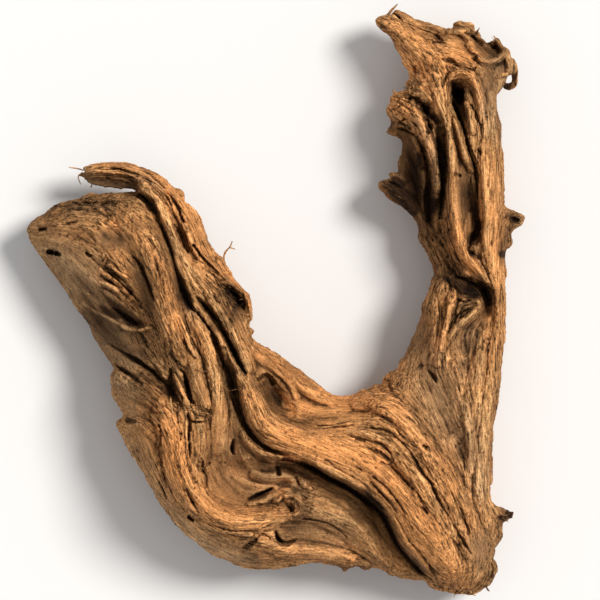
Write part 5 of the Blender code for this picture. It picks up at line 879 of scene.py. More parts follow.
# Where it is darker: partly darker wood, partly painted shade in undercuts, hollows and on faces turned from
# the key light; a strength over 1 goes deeper than the colour of dark wood and painted shade.
DARK = {
    "left top": [(34, 304, 9, 0.4), (60, 314, 10, 0.7), (88, 318, 10, 0.8), (104, 320, 8, 0.7)],
    "hook face": [(68.8, 336, 6, 0.7), (80, 333.6, 6, 0.7), (92.8, 330.4, 6, 0.7), (105.6, 329.6, 5, 0.8)],
    "left face": [(90, 240, 16, 0.4), (108, 214, 12, 0.5), (116, 196, 10, 0.5)],
    "valley": [(132, 296, 5, 0.6), (142, 262, 6, 0.7), (151, 238, 8, 0.8)],
    "under ridge": [(294.4, 76, 9, 0.5), (307.2, 59.2, 8, 0.35), (320, 41.6, 6, 0.1)],
    "flank": [(318, 362, 8, 0.6), (328, 346, 12, 0.8), (336, 322, 12, 0.9), (342, 300, 12, 0.7),
        (352, 280, 10, 0.6)],
    "channels": [(352, 360, 5, 0.7), (354, 330, 5, 0.8), (353, 306, 5, 0.6)],
    "channel": [(377, 345, 6, 0.6), (380, 320, 7, 0.8), (382, 298, 7, 0.8), (376, 284, 6, 0.7)],
    "eye": [(370, 256, 7, 0.6), (386, 250, 8, 0.9), (391, 236, 7, 0.8), (387, 222, 6, 0.5)],
    "hood": [(364, 408, 6, 0.9), (366, 394, 6, 0.8), (371, 378, 5, 0.6)],
    "left hole": [(342.4, 392, 6, 0.8), (349.6, 382.4, 4, 0.6)],
    "crotch recess": [(213, 172, 7, 0.6), (219, 160, 8, 0.7), (228, 150, 7, 0.5)],
    "plates": [(132.8, 168, 7, 0.6)],
    "tangle": [(140.8, 184.8, 4, 0.6)],
    "crown": [(374, 454, 5, 0.6), (386, 446, 7, 0.8), (398, 442, 7, 0.8)],
    "knot": [(232, 78, 6, 0.6), (238, 92, 5, 0.6)],
    "fringe": [(270, 26, 5, 0.7), (292, 25, 5, 0.6)],
    "foot edge": [(396, 24, 6, 0.6), (401, 54, 5, 0.6)],
    "right edge": [(405, 262, 4, 0.5), (406, 284, 4, 0.6), (413, 302, 6, 0.6)],
    "right valley": [(352, 190, 8, 0.4), (356, 166, 10, 0.4), (362, 140, 8, 0.3)],
    "undercut far": [(225.4, 101.4, 3, 0), (240.8, 96.2, 4, 0.2), (256, 86.9, 5, 0.3),
        (268.2, 80.5, 6, 0.4), (279.5, 73.6, 7, 0.5), (289.6, 65.6, 8, 0.55), (296, 58.6, 8, 0.5),
        (300, 49.1, 7, 0.4), (307.4, 35.8, 6, 0.3), (318.1, 23.4, 5, 0.15), (327.2, 14.9, 4, 0)],
    "undercut wall": [(231.2, 114.2, 1.5, 0), (247.1, 108.6, 2, 1), (263, 99.1, 2.6, 1.7),
        (275, 92.7, 3, 1.9), (286.9, 85.5, 3, 2), (298, 76.8, 3, 1.9), (306.5, 67.9, 3, 1.7),
        (311.9, 56.5, 3, 1.5), (318.4, 44.4, 2.8, 1.2), (328.9, 32.3, 2.4, 1), (339.1, 22.2, 2, 0.8)],
    "limb top": [(35.2, 308.8, 4, 0.5), (46.4, 314.4, 5, 0.8), (59.2, 316.8, 5, 0.9), (75.2, 316.8, 5, 0.9),
        (91.2, 316.8, 4, 0.7)],
    "nose": [(32, 302.4, 10, 0.35), (41.6, 299.2, 10, 0.3)],
    "face low": [(76.8, 214.4, 12, 0.5), (91.2, 203.2, 13, 0.6), (107.2, 193.6, 12, 0.6)],
    "chip recess": [(86.4, 288, 7, 0.5), (96, 285.6, 7, 0.5)],
    "band slope": [(131.2, 294.4, 5, 0.5), (137.6, 278.4, 6, 0.7), (142.4, 260.8, 6, 0.6),
        (147.2, 243.2, 7, 0.9)],
    "under band": [(177.6, 200, 5, 0.6), (180.8, 182.4, 6, 0.8), (184, 164, 6, 0.7),
        (187.2, 145.6, 5, 0.4)],
    "flank low": [(320, 377.6, 5, 0.6), (326.4, 360, 10, 1), (328, 340, 14, 1), (332.8, 321.6, 14, 1),
        (339.2, 304, 13, 0.9), (344, 284.8, 12, 0.7), (350.4, 267.2, 10, 0.5)],
    "channel low": [(368, 334.4, 5, 0.5), (372.8, 323.2, 8, 0.9), (376, 308.8, 8, 0.9),
        (376, 292.8, 6, 0.8), (379.2, 278.4, 4, 0.6)],
    "eye shade": [(356.8, 262.4, 6, 0.6), (369.6, 257.6, 7, 0.7), (382.4, 252.8, 6, 0.8),
        (390.4, 243.2, 4, 0.7)],
    "stub shade": [(323.2, 385.6, 5, 0.4), (340.8, 396.8, 7, 0.6), (344, 382.4, 6, 0.7)],
    "snag tip": [(400, 65.6, 5, 0.7), (406.4, 68, 6, 0.9), (398.4, 59.2, 4, 0.8)],
    "crown top": [(369.6, 462.4, 4, 0.3), (379.2, 452.8, 5, 0.8), (385.6, 444.8, 5, 0.6),
        (395.2, 444.8, 5, 0.8)],
    "loop": [(412, 425.6, 3, 0.5), (410.4, 417.6, 4, 0.7), (407.2, 411.2, 4, 0.8)],
    "tangle low": [(131.2, 174.4, 5, 0.9), (135.2, 165.6, 5, 0.9)],
    "belly olive": [(172.8, 51.2, 9, 0.35), (196.8, 44, 8, 0.5), (144, 73.6, 7, 0.4)],
    "right shade": [(366.4, 136, 6, 0.4), (371.2, 123.2, 6, 0.5), (372.8, 110.4, 5, 0.4)],
    "prong side": [(304, 460.8, 4, 0.6), (310.4, 451.2, 4, 0.5), (315.2, 443.2, 4, 0.4)],
    "stub wedge": [(307.2, 334.4, 5, 0.8), (315.2, 328.8, 8, 1.5), (324.8, 320.8, 9, 1.8),
        (331.2, 312, 8, 1.7)],
    "stub valley": [(347.2, 360, 4, 0.7), (348.8, 339.2, 5, 1), (347.2, 320, 6, 1), (344, 305.6, 5, 0.7)],
    "stub hollow": [(329.6, 396.8, 5, 0.6), (339.2, 390.4, 6, 0.9), (347.2, 382.4, 5, 0.7),
        (336, 360, 5, 0.6)],
    "hood mouth": [(361.6, 411.2, 4, 0.8), (368, 406.4, 4, 1), (364.8, 412.8, 3, 0.8)],
    "eye brow": [(352, 267.2, 6, 0.8), (363.2, 260.8, 7, 1), (374.4, 252.8, 8, 1), (379.2, 244.8, 7, 1),
        (369.6, 235.2, 7, 0.8), (364.8, 222.4, 6, 0.5)],
    "right snag": [(408, 307.2, 5, 0.9), (414.4, 308.8, 5, 1), (401.6, 284.8, 4, 0.8),
        (400, 273.6, 4, 0.6)],
    "face low left": [(60.8, 259.2, 6, 0.6), (73.6, 246.4, 7, 0.9), (83.2, 238.4, 6, 0.9),
        (73.6, 222.4, 7, 0.9), (67.2, 230.4, 5, 0.7), (88, 212.8, 7, 0.6), (99.2, 224, 6, 0.7)],
    "middle pocket": [(120, 299.2, 4, 0.6), (126.4, 291.2, 4, 0.6), (140.8, 249.6, 5, 0.8),
        (147.2, 240, 6, 1), (156.8, 230.4, 5, 0.8), (164.8, 222.4, 5, 0.5), (171.2, 216, 4, 0.6)],
    "hood deep": [(362.4, 412.8, 4, 1), (366.4, 406.4, 5, 1), (368.8, 400, 4, 0.9)],
    "pocket deep": [(86.4, 236, 4, 0.8), (96, 230.4, 5, 1), (104, 224.8, 5, 1.2), (112, 221.6, 5, 1.1)],
    "brow deep": [(348.8, 267.2, 5, 0.8), (360, 259.2, 6, 1), (371.2, 251.2, 7, 1), (377.6, 244.8, 6, 0.8)],
    "edge right low": [(401.6, 291.2, 4, 0.7), (401.6, 280, 4, 0.9), (401.6, 270.4, 3, 0.6)],
    "ear cavity": [(180.8, 248, 6, 1), (187.2, 243.2, 6, 1), (177.6, 222.4, 5, 0.6), (182.4, 211.2, 5, 0.5),
        (192, 193.6, 5, 0.8), (195.2, 185.6, 4, 0.7)],
    "plate top": [(108.8, 172.8, 6, 0.8), (118.4, 166.4, 7, 0.9), (124.8, 158.4, 5, 0.5)],
    "crotch top": [(214.4, 190.4, 6, 0.4), (227.2, 182.4, 6, 0.4)],
    "knot all": [(225.6, 78.4, 6, 0.6), (244.8, 74.4, 8, 0.9), (225.6, 51.2, 7, 0.7), (233.6, 57.6, 7, 0.6),
        (219.2, 44.8, 5, 0.6)],
    "frayed band": [(140.8, 211.2, 5, 0.3), (145.6, 200, 5, 0.4)],
    "channel rim": [(376, 332.8, 5, 0.8), (374.4, 342.4, 4, 0.5)],
    "foot end": [(387.2, 11.2, 6, 0.6), (396.8, 22.4, 5, 0.6), (376, 6.4, 5, 0.5)],
    "tangle slit": [(148.8, 179.2, 2, 0.8), (151.2, 169.6, 2, 0.8)],
    "face low wide": [(67.2, 243.2, 6, 0.8), (73.6, 235.2, 8, 1), (78.4, 222.4, 9, 1.15),
        (88, 211.2, 9, 1.05), (97.6, 201.6, 7, 1)],
    "flank deep": [(326.4, 360, 6, 1.2), (331.2, 345.6, 7, 1.4), (334.4, 331.2, 7, 1.4),
        (337.6, 320, 6, 1.2)],
    "stub valley low": [(347.2, 320, 4, 1.8), (345.6, 313.6, 5, 1.9), (344, 307.2, 5, 1.2)],
    "hood rim": [(369.6, 407.2, 3, 2), (370.4, 401.6, 3, 1.8)],
    "brow deeper": [(350.4, 260.8, 5, 1), (357.6, 256, 5, 1.3), (369.6, 250.4, 6, 1.7),
        (379.2, 244.8, 6, 1.6)],
    "right snag tip": [(408, 307.2, 5, 1), (414.4, 305.6, 5, 1.4)],
    "edge right deep": [(402.4, 276.8, 5, 1.6)],
    "snag deep": [(400, 65.6, 4, 0.9), (406.4, 68.8, 5, 1.3)],
    "ear deep": [(184, 244.8, 5, 1.9), (188.8, 240, 4, 1.6), (185.6, 222.4, 6, 0.9)],
    "orange side": [(147.2, 241.6, 4, 1.2), (152, 234.4, 5, 1.5)],
    "plate top two": [(113.6, 180.8, 4, 1.1), (121.6, 176, 4, 1.1), (128.8, 172.8, 3, 1)],
    "bay above": [(210.4, 112, 4, 0.9)],
    "lip patch": [(292.8, 91.2, 6, 0.8), (296, 84, 4, 1.4), (304.8, 75.2, 4, 1.4)],
    "foot left": [(329.6, 32, 4, 1), (336, 22.4, 4, 1.5)],
    "pocket above": [(228, 50.4, 3, 0.9)],
    "prong tip": [(305.6, 465.6, 4, 0.7)],
    "crown dimple": [(364, 456, 5, 0.6)],
    "belly mottle": [(172, 54.4, 3, 0.5)],
    "belly mottle two": [(182.4, 47.2, 3.5, 0.45)],
    "belly mottle three": [(193.6, 43.2, 4, 0.7), (200, 48, 3, 0.7)],
    "belly mottle four": [(201.6, 37.6, 4, 0.55), (206.4, 32, 3, 0.4)],
    "belly spot": [(205.6, 59.2, 2.5, 0.7)],
    "pocket side": [(80, 248, 4, 1), (88, 238.4, 5, 1.1), (97.6, 232.8, 5, 1.2), (105.6, 230.4, 4, 1)],
    "slit side": [(168.8, 224, 3, 0.9), (172, 216, 3, 0.9)],
    "tangle top": [(141.6, 182.4, 2.5, 0.8)],
    "belly tip side": [(123.2, 161.6, 4, 0.8)],
    "wedge top": [(316.8, 336, 4, 1.8), (322.4, 332.8, 4, 1.6)],
    "flank rib": [(335.2, 356.8, 3, 1.5), (336.8, 348.8, 3, 1.5)],
    "stub gap": [(348.8, 368, 3, 1.4), (350.4, 360, 3, 1.4)],
    "s end side": [(376.8, 276.8, 4, 1.5)],
    "panel spot": [(362.4, 194.4, 4, 0.7)],
    "top band side": [(109.6, 302.4, 4, 0.5), (116, 296.8, 4, 0.9)],
    "face hole": [(42.4, 278.4, 4, 1.3)],
    "foot mid": [(365.6, 68, 5, 0.6)],
    "second ridge spot": [(340, 121.6, 4, 0.5)],
    "edge right thin": [(400, 400, 4, 0.4), (400, 376, 4, 0.6), (399.2, 352, 4, 0.3), (400.8, 328, 4, 0.3),
        (402.4, 280, 4, 0.7)],
    "chip gaps": [(83.2, 267.2, 1.5, 0.8), (89.6, 262.4, 1.8, 1), (95.2, 258, 1.8, 1),
        (101.6, 254.4, 1.5, 0.8)],
    "chip gaps two": [(80.8, 258.4, 1.5, 0.7), (87.2, 254.8, 1.6, 0.9), (92.8, 251.2, 1.6, 0.9)],
    "edge right side": [(399.2, 248, 4, 0.3), (399.2, 216, 4, 0.35), (397.6, 176, 4, 0.35),
        (395.2, 136, 4, 0.35), (392, 104, 4, 0.35)],
    "ridge side": [(284.8, 99.2, 6, 0.35), (296, 97.6, 7, 0.4), (307.2, 83.2, 6, 0.4), (368, 70.4, 6, 0.4)],
    "crotch edge": [(228, 185.6, 5, 0.4), (240, 176, 5, 0.45), (252, 169.6, 4, 0.3)],
    "flank side": [(326.4, 204, 5, 0.4), (332.8, 224, 5, 0.4), (339.2, 232, 4, 0.3)],
    "panel spots": [(364, 225.6, 4, 0.6)],
    "channel mid": [(366.4, 332.8, 5, 0.6), (372.8, 331.2, 4, 0.7)],
    "snag all": [(403.2, 70.4, 5, 0.8), (408.8, 67.2, 5, 1.6)],
    "right knot": [(383.2, 358.4, 3, 1)],
    "cavity middle": [(344, 384.8, 4, 1.6)],
    "stub left low": [(313.6, 380, 5, 1)],
    "flank strip": [(338.4, 345.6, 3, 1.5)],
    "face low side": [(81.6, 234.4, 5, 1.3), (89.6, 228.8, 4, 1.5), (96, 225.6, 3, 1.2)],
    "face low under": [(81.6, 220.8, 5, 0.9), (92.8, 215.2, 5, 0.9)],
    "hood rim left": [(362.4, 404.8, 3, 1.5)],
    "face edge": [(57.6, 245.6, 5, 0.6)],
    "strand edge": [(166.4, 284.8, 5, 0.6)],
    "snag root": [(402.4, 65.6, 4, 1.8)],
    "crown tip": [(397.6, 449.6, 3, 1)],
    "pocket slit": [(200, 81.6, 1.8, 1.4), (206.4, 84.4, 2.2, 1.8), (212.8, 87.6, 2, 1.8),
        (217.6, 90, 1.6, 1.4)],
    "side panel": [(110.4, 259.2, 4, 0.6), (115.2, 249.6, 5, 0.8), (119.2, 240, 6, 1),
        (120, 230.4, 4, 0.8)],
}
# Where it is paler: partly paler wood, partly painted light on places that face away from the key light or
# lie in its cast shadow; a strength over 1 is let out of the shade of its surroundings too.
BRIGHT = {
    "crown left": [(318.4, 443.2, 5, 0.8), (323.2, 435.2, 7, 1.7), (332.8, 428.8, 8, 2.4),
        (340.8, 420.8, 8, 2.5), (342.4, 408, 8, 2.3), (347.2, 398.4, 6, 2.5), (350.4, 392, 5, 2.8)],
    "stub top": [(316.8, 403.2, 5, 1.2), (324, 404.8, 5, 1.5)],
    "hood side": [(379.2, 398.4, 4, 1.4), (382.4, 388.8, 4, 1.5), (384.8, 376, 4, 1.2),
        (386.4, 291.2, 3, 1.8)],
    "crown spots": [(368.8, 449.6, 4, 1.6)],
    "prong side": [(326.4, 444.8, 5, 1.4), (331.2, 438.4, 6, 1.5)],
    "chip one": [(89.6, 266.4, 1.8, 1.4), (96, 261.6, 1.8, 1.6), (101.6, 258.4, 1.8, 1.4)],
    "chip two": [(84, 260.8, 1.6, 1.3), (90.4, 256.8, 1.6, 1.5), (97.6, 252.8, 1.6, 1.2)],
    "chip three": [(80.8, 254.4, 1.8, 1.3), (88, 251.2, 2, 1.6), (94.4, 248.8, 1.6, 1.2)],
    "stub left": [(313.6, 395.2, 5, 1.2), (320, 390.4, 5, 1.6), (326.4, 385.6, 5, 1.9),
        (332.8, 379.2, 4, 1.5)],
    "stub strand": [(333.6, 377.6, 4, 1.3), (338.4, 369.6, 4, 1.7), (342.4, 361.6, 3.5, 2),
        (345.6, 352, 3.5, 2.2), (348, 342.4, 3, 2.2), (348.8, 332.8, 3, 1)],
    "s end": [(364, 284.8, 5, 1.5), (370.4, 274.4, 5, 1.6), (376, 264, 4, 1.9), (380.8, 257.6, 4, 2)],
    "channel side": [(382.4, 352, 4, 1.4), (384.8, 342.4, 4, 2), (385.6, 328, 4, 2.2),
        (385.6, 313.6, 4, 2.2), (385.6, 302.4, 3, 1.9)],
    "right panel": [(348.8, 208, 4, 1.6), (348.8, 198.4, 4, 2), (347.2, 190.4, 4, 1.4), (376, 192, 5, 1.8),
        (361.6, 144, 6, 1.2), (364.8, 128, 5, 0.8), (393.6, 208, 4, 0.5), (358.4, 302.4, 5, 0.5)],
    "limb top": [(64, 308.8, 6, 0.8), (80, 310.4, 6, 1), (91.2, 302.4, 6, 1.2), (99.2, 292.8, 5, 1.4),
        (107.2, 281.6, 5, 1.2), (112, 313.6, 7, 0.5), (86.4, 320, 6, 1.6)],
    "face top": [(36.8, 291.2, 7, 0.5), (48, 286.4, 7, 0.5)],
    "plates low": [(97.6, 169.6, 7, 0.5), (102.4, 150.4, 8, 0.6), (99.2, 131.2, 8, 0.4)],
    "belly edge": [(107.2, 124.8, 8, 0.7), (118.4, 108.8, 8, 0.8), (128, 92.8, 9, 1), (140.8, 75.2, 9, 1),
        (160, 56, 9, 1.5), (172.8, 49.6, 9, 1.2), (187.2, 48, 8, 0.6)],
    "belly middle": [(128, 136, 6, 0.8), (134.4, 116, 6, 1.2), (136.8, 104, 6, 1.5), (137.6, 94.4, 5, 1)],
    "belly low side": [(164, 64.8, 5, 1.2), (172, 60.8, 6, 1.6), (182.4, 56, 5, 0.8)],
    "belly underside": [(156.8, 48, 5, 1), (169.6, 43.2, 5, 1), (180.8, 40, 6, 1.6), (192, 36.8, 5, 1.2)],
    "lip": [(209.6, 128, 5, 0.6), (222.4, 121.6, 6, 1), (230.4, 116, 5, 2.3), (238.4, 112.8, 4, 2)],
    "bay upper": [(185.6, 104, 8, 1.5), (196, 97.6, 8, 1.5), (206.4, 92.8, 7, 1.5), (216, 90.4, 6, 1.9),
        (228, 92.8, 7, 2.5), (240, 95.2, 6, 2.3), (251.2, 92, 5, 1.8)],
    "crotch recess": [(220.8, 166.4, 5, 1.6), (227.2, 162.4, 6, 2.4), (232.8, 151.2, 6, 2.6)],
    "saddle": [(264, 140.8, 10, 1.4), (278.4, 139.2, 6, 1.6), (281.6, 148.8, 10, 1),
        (297.6, 150.4, 7, 1.2)],
    "tangle": [(141.6, 178.4, 2.2, 1.2), (145.6, 169.6, 2.4, 1.7), (149.6, 160.8, 2.4, 1.7),
        (152.8, 154.4, 2.2, 1)],
    "pocket side": [(120, 219.2, 5, 0.5)],
    "strand": [(144, 270.4, 5, 0.7), (150.4, 256, 4, 0.6), (158.4, 217.6, 4, 0.5)],
    "flank low": [(339.2, 118.4, 5, 0.3)],
    "foot side": [(323.2, 64, 5, 1), (328.8, 55.2, 5, 1.5), (336, 44, 6, 1.9), (345.6, 35.2, 5, 1.4)],
    "belly end": [(257.6, 49.6, 7, 1.2), (270.4, 44.8, 7, 1.4), (281.6, 40, 6, 1.6)],
    "strand side": [(147.2, 288, 4, 1.7), (151.2, 278.4, 4, 1.6), (153.6, 268.8, 3, 1)],
    "ridge": [(209.6, 160, 8, 0.6), (224, 136, 14, 0.7), (248, 124.8, 16, 0.8), (278.4, 121.6, 16, 0.7),
        (313.6, 99.2, 16, 0.25), (344, 56, 18, 0.4), (360, 32, 16, 0.5)],
    "ridge crease": [(281.6, 131.2, 4, 1.2), (297.6, 123.2, 4, 1.3), (310.4, 110.4, 4, 1.2),
        (321.6, 96, 4, 1)],
    "face ridge": [(67.2, 236.8, 1.5, 0.8), (73.6, 232, 1.5, 0.8), (84, 226.8, 1.5, 0.7),
        (94.4, 221.2, 1.5, 0.7), (103.2, 217.2, 1.6, 0.8), (112, 216, 1.8, 1.3), (120, 218, 2, 1.4)],
    "hollow floor band": [(229, 109.4, 3, 0), (244.8, 104, 3.5, 1.4), (260.4, 94.5, 4.5, 1.9),
        (272.5, 88.1, 5, 2.1), (284.2, 81.1, 5.5, 2.2), (294.9, 72.6, 5.5, 2.2), (302.6, 64.4, 5.5, 2.2),
        (307.5, 53.8, 5.5, 2.2), (314.3, 41.2, 5.5, 2.1), (324.9, 29, 5, 1.2), (334.7, 19.5, 4, 0.5)],
    "channel floor": [(375.2, 320, 4, 1.6), (376, 308, 4, 2), (376, 296, 3.5, 1.8)],
    "gap side": [(124, 306.4, 4, 1.8)],
    "hook root": [(105.6, 325.6, 3.5, 1.5)],
    "foot spot": [(368, 48, 5, 0.8)],
    "bay low": [(192, 88, 6, 1.2)],
    "ear side": [(185.6, 234.4, 4, 1.2)],
    "tip side": [(124, 144, 4, 1)],
    "leaning side": [(144, 157.6, 3, 1.2)],
    "hollow floor": [(308.8, 49.6, 5, 1.2), (316.8, 38.4, 6, 1.8), (324.8, 27.2, 6, 1.8)],
    "eye side": [(392.8, 232.8, 5, 2.6), (389.6, 216, 4, 1), (390.4, 204, 4, 1)],
    "belly hollow": [(172.8, 121.6, 5, 0.9), (183.2, 91.2, 8, 0.8)],
    "crotch": [(204.8, 200, 7, 0.5), (227.2, 180.8, 7, 0.2), (240, 164, 14, 1), (264, 156.8, 14, 1),
        (296, 161.6, 10, 0.9), (313.6, 161.6, 9, 0.8)],
    "bay": [(176, 104, 14, 0.7), (182.4, 86.4, 18, 1), (200, 76, 16, 0.8), (185.6, 118.4, 9, 0.3)],
    "belly": [(144, 136, 9, 0.6), (144, 116, 10, 0.7), (148.8, 96, 10, 0.7), (163.2, 76, 10, 0.7),
        (184, 64, 10, 0.6), (209.6, 60, 10, 0.6), (240, 41.6, 9, 0.6), (268, 38.4, 8, 0.5)],
    "pale strip": [(171.2, 216, 6, 0.5), (169.6, 198.4, 7, 0.6), (171.2, 176, 7, 0.5),
        (175.2, 150.4, 8, 0.9), (176.8, 128, 8, 0.9)],
    "prong": [(307.2, 460.8, 5, 0.5), (320, 452.8, 8, 0.9), (334.4, 443.2, 10, 1), (348.8, 435.2, 9, 0.8),
        (361.6, 444.8, 12, 1), (369.6, 452.8, 9, 1), (356.8, 420.8, 8, 0.7), (376, 412.8, 4, 0.8)],
    "stub": [(313.6, 396.8, 6, 0.7), (323.2, 393.6, 6, 0.7), (334.4, 382.4, 5, 0.6), (356.8, 393.6, 5, 0.7),
        (361.6, 380.8, 4, 0.6)],
    "right ridge": [(388.8, 376, 5, 0.2), (390.4, 336, 5, 0.2), (392, 296, 5, 0.2), (395.2, 256, 5, 0.3)],
    "edge low": [(369.6, 124.8, 4, 1.2), (372, 104, 4, 1.4), (376, 84.8, 4, 1.3)],
    "panel corner": [(320.8, 187.2, 4, 1.4)],
    "second ridge": [(328, 176, 5, 0.2), (316.8, 156.8, 8, 0.7), (318.4, 136, 8, 0.5)],
    "hook": [(128, 337.6, 5, 0.3), (144, 320, 6, 0.4), (156, 300, 6, 0.4)],
    "middle": [(126.4, 305.6, 4, 1.3), (131.2, 294.4, 4, 1.3), (136, 318.4, 5, 1.3), (142.4, 302.4, 5, 1.2),
        (147.2, 289.6, 5, 1.3), (156.8, 270.4, 8, 0.6)],
    "under ridge": [(240, 80, 10, 0.4), (264, 68, 10, 0.4)],
    "hollow side": [(256, 87.2, 5, 1.2), (265.6, 83.2, 4, 0.9), (274.4, 78.4, 4, 1.5), (281.6, 72, 4, 0.8)],
}

# Rootlets and splinters: x, y, height above the wood where they start, radius.
ROOTLETS = {
    "hook tip one": [(66.4, 344, 0, 0.8), (60.8, 345.6, 1, 0.65), (54.4, 346.4, 2.5, 0.4)],
    "hook tip two": [(72, 330.4, 1, 0.5), (74.4, 336.8, 3, 0.55), (80.8, 343.2, 4, 0.5),
        (86.4, 347.2, 3, 0.4)],
    "hook tip three": [(65.6, 342.4, 0, 0.6), (61.6, 339.2, 1, 0.5), (64, 332.8, 1, 0.35)],
    "hook tip four": [(78.4, 346.4, 0, 0.6), (72, 343.2, 2, 0.5), (67.2, 337.6, 2, 0.35)],
    "twig": [(179.2, 270.4, -1, 0.9), (178.4, 274.4, 1, 0.8), (180.8, 280, 3, 0.75), (184, 282.4, 4, 0.7)],
    "twig fork": [(183.6, 282.4, 5, 0.65), (184.8, 284.8, 6, 0.55), (185.6, 287.2, 6, 0.35)],
    "twig side": [(183.6, 282.4, 5, 0.65), (185.6, 281.6, 5, 0.55), (188, 280.8, 5, 0.35)],
    "prong splinter": [(310.4, 468.8, -1, 1.3), (313.6, 472.8, 1, 1.1), (318.4, 477.6, 2, 0.35)],
    "channel fibre": [(289.6, 82.4, 3, 0.35), (293.6, 84, 5, 0.45), (296.8, 88, 6, 0.3)],
    "channel splinter": [(298.4, 76, 3, 0.4), (299.2, 79.2, 5, 0.9), (302.4, 82.4, 6, 0.4)],
    "pale fibre": [(157.6, 184.8, 1, 0.35), (162.4, 184, 2, 0.4), (168, 183.2, 1, 0.3)],
    "pale fibre two": [(177.6, 168, 2, 0.35), (184, 168, 3, 0.35), (190.4, 169.6, 2, 0.25)],
    "face splinter one": [(109.6, 205.6, -0.5, 0.9), (118.4, 203.2, 2, 0.8), (128.8, 201.6, 3, 0.35)],
    "face splinter two": [(115.2, 194.4, -0.5, 0.8), (121.6, 193.6, 2, 0.7), (129.6, 191.2, 3, 0.3)],
    "face splinter three": [(80, 268, -0.5, 0.8), (89.6, 263.2, 1.5, 0.7), (100.8, 259.2, 2, 0.3)],
    "face splinter four": [(82.4, 259.2, -0.5, 0.8), (91.2, 255.2, 1.5, 0.8), (98.4, 250.4, 2, 0.3)],
    "face splinter five": [(88, 273.6, -0.5, 0.7), (94.4, 268.8, 2, 0.6), (99.2, 262.4, 2.5, 0.3)],
    "face curl": [(86, 276, 0, 0.6), (85.6, 272.8, 2, 0.8), (84, 269.6, 2.5, 0.8), (81.6, 266.4, 1.5, 0.4)],
    "face splinter six": [(89.6, 243.2, -0.5, 0.6), (99.2, 236.8, 1.2, 0.7), (109.6, 227.2, 1.5, 0.3)],
    "face splinter seven": [(97.6, 240, -0.5, 0.5), (104.8, 234.4, 1.2, 0.7), (110.4, 230.4, 1.5, 0.3)],
    "face splinter eight": [(84.8, 264, -0.5, 0.6), (92.8, 262.4, 1.8, 0.9), (100.8, 259.2, 2, 0.4)],
    "face splinter nine": [(96, 265.6, 0, 0.7), (99.2, 262.4, 1.6, 1), (102, 259.2, 1.6, 0.6)],
    "face chip": [(69.6, 245.6, 0, 0.5), (71.6, 244.4, 0.6, 0.6), (74, 244.4, 0.6, 0.3)],
    "leaning fibre": [(141.6, 172.8, 0, 0.5), (144, 164.8, 1, 0.6), (148.8, 156, 1.5, 0.3)],
    "leaning curl": [(144, 164, 0, 0.6), (145.6, 160.8, 1, 0.6), (148, 157.6, 1, 0.3)],
    "frayed one": [(134.4, 198.4, -0.5, 0.8), (142.4, 193.6, 2, 0.7), (149.6, 195.2, 3, 0.3)],
    "frayed two": [(137.6, 190.4, -0.5, 0.8), (144.8, 190.4, 2.5, 0.7), (152, 188.8, 3, 0.3)],
    "frayed three": [(131.2, 195.2, -0.5, 0.7), (137.6, 188.8, 2, 0.6), (145.6, 185.6, 2, 0.3)],
    "frayed four": [(148.8, 204.8, -0.5, 0.8), (155.2, 198.4, 2, 0.8), (159.2, 190.4, 2, 0.3)],
    "cross one": [(148.8, 157.6, 0, 0.9), (157.6, 152, 1.8, 1.1), (168.8, 149.6, 2, 0.4)],
    "cross two": [(151.2, 152.8, 0, 0.7), (160, 149.6, 1.6, 1.2), (170.4, 148.4, 1.6, 0.3)],
    "cross four": [(155.2, 156.8, 0, 0.6), (162.4, 151.2, 2.2, 0.7), (166.4, 147.2, 1.6, 0.3)],
    "cross three": [(142.4, 163.2, 0, 0.9), (147.2, 156, 2, 0.9), (153.6, 150.4, 2, 0.4)],
    "ledge one": [(255.2, 138.4, -0.5, 0.8), (264, 140, 1.2, 0.8), (272.8, 140.8, 1.5, 0.3)],
    "ledge two": [(268.8, 141.6, -0.5, 0.6), (276, 143.2, 1.2, 0.6), (281.6, 144.8, 1.2, 0.3)],
    "belly tip one": [(130.4, 140.8, -0.5, 1.1), (125.6, 144.8, 1.5, 1.1), (121.6, 149.6, 2, 0.5)],
    "belly tip two": [(132.8, 147.2, -0.5, 1), (129.6, 153.6, 1.5, 1), (128, 160, 1.5, 0.4)],
    "belly tip three": [(139.2, 150.4, -0.5, 1), (137.6, 157.6, 2, 0.9), (137.6, 164, 2, 0.4)],
    "crown sheet": [(397.6, 418.4, 0, 1.4), (402.4, 420.8, 2, 1.6), (407.2, 420.8, 2, 1.4)],
    "ear one": [(177.6, 246.4, -0.5, 0.8), (184, 242.4, 3, 0.7), (189.6, 236.8, 3, 0.3)],
    "ear three": [(198.4, 243.2, -0.5, 0.6), (194.4, 240.8, 1.5, 0.6), (191.2, 240, 1.5, 0.3)],
    "crown point one": [(380.8, 452.8, -0.5, 1.1), (382.4, 456, 1, 0.9), (384, 458.4, 1, 0.4)],
    "crown point two": [(399.2, 446.4, -0.5, 1.1), (396.8, 449.6, 1, 0.9), (395.2, 452, 1, 0.4)],
    "stub point one": [(318.4, 403.2, -0.5, 1.1), (316, 406.4, 0.5, 0.9), (313.6, 408.8, 0.5, 0.4)],
    "stub point two": [(328, 405.6, -0.5, 1), (327.2, 408.8, 0.5, 0.8), (328.8, 411.2, 0.5, 0.4)],
    "foot fringe one": [(388.8, 11.2, -1, 1), (390.4, 8, 0, 0.8), (392, 6.4, 0, 0.4)],
    "foot fringe two": [(376, 7.2, -1, 1), (378.4, 4, 0, 0.8), (380.8, 3.2, 0, 0.4)],
    "foot hole bridge": [(394.4, 30.4, 0, 1.2), (396.8, 24, 2, 1.1), (394.4, 18.4, 0, 0.9)],
}


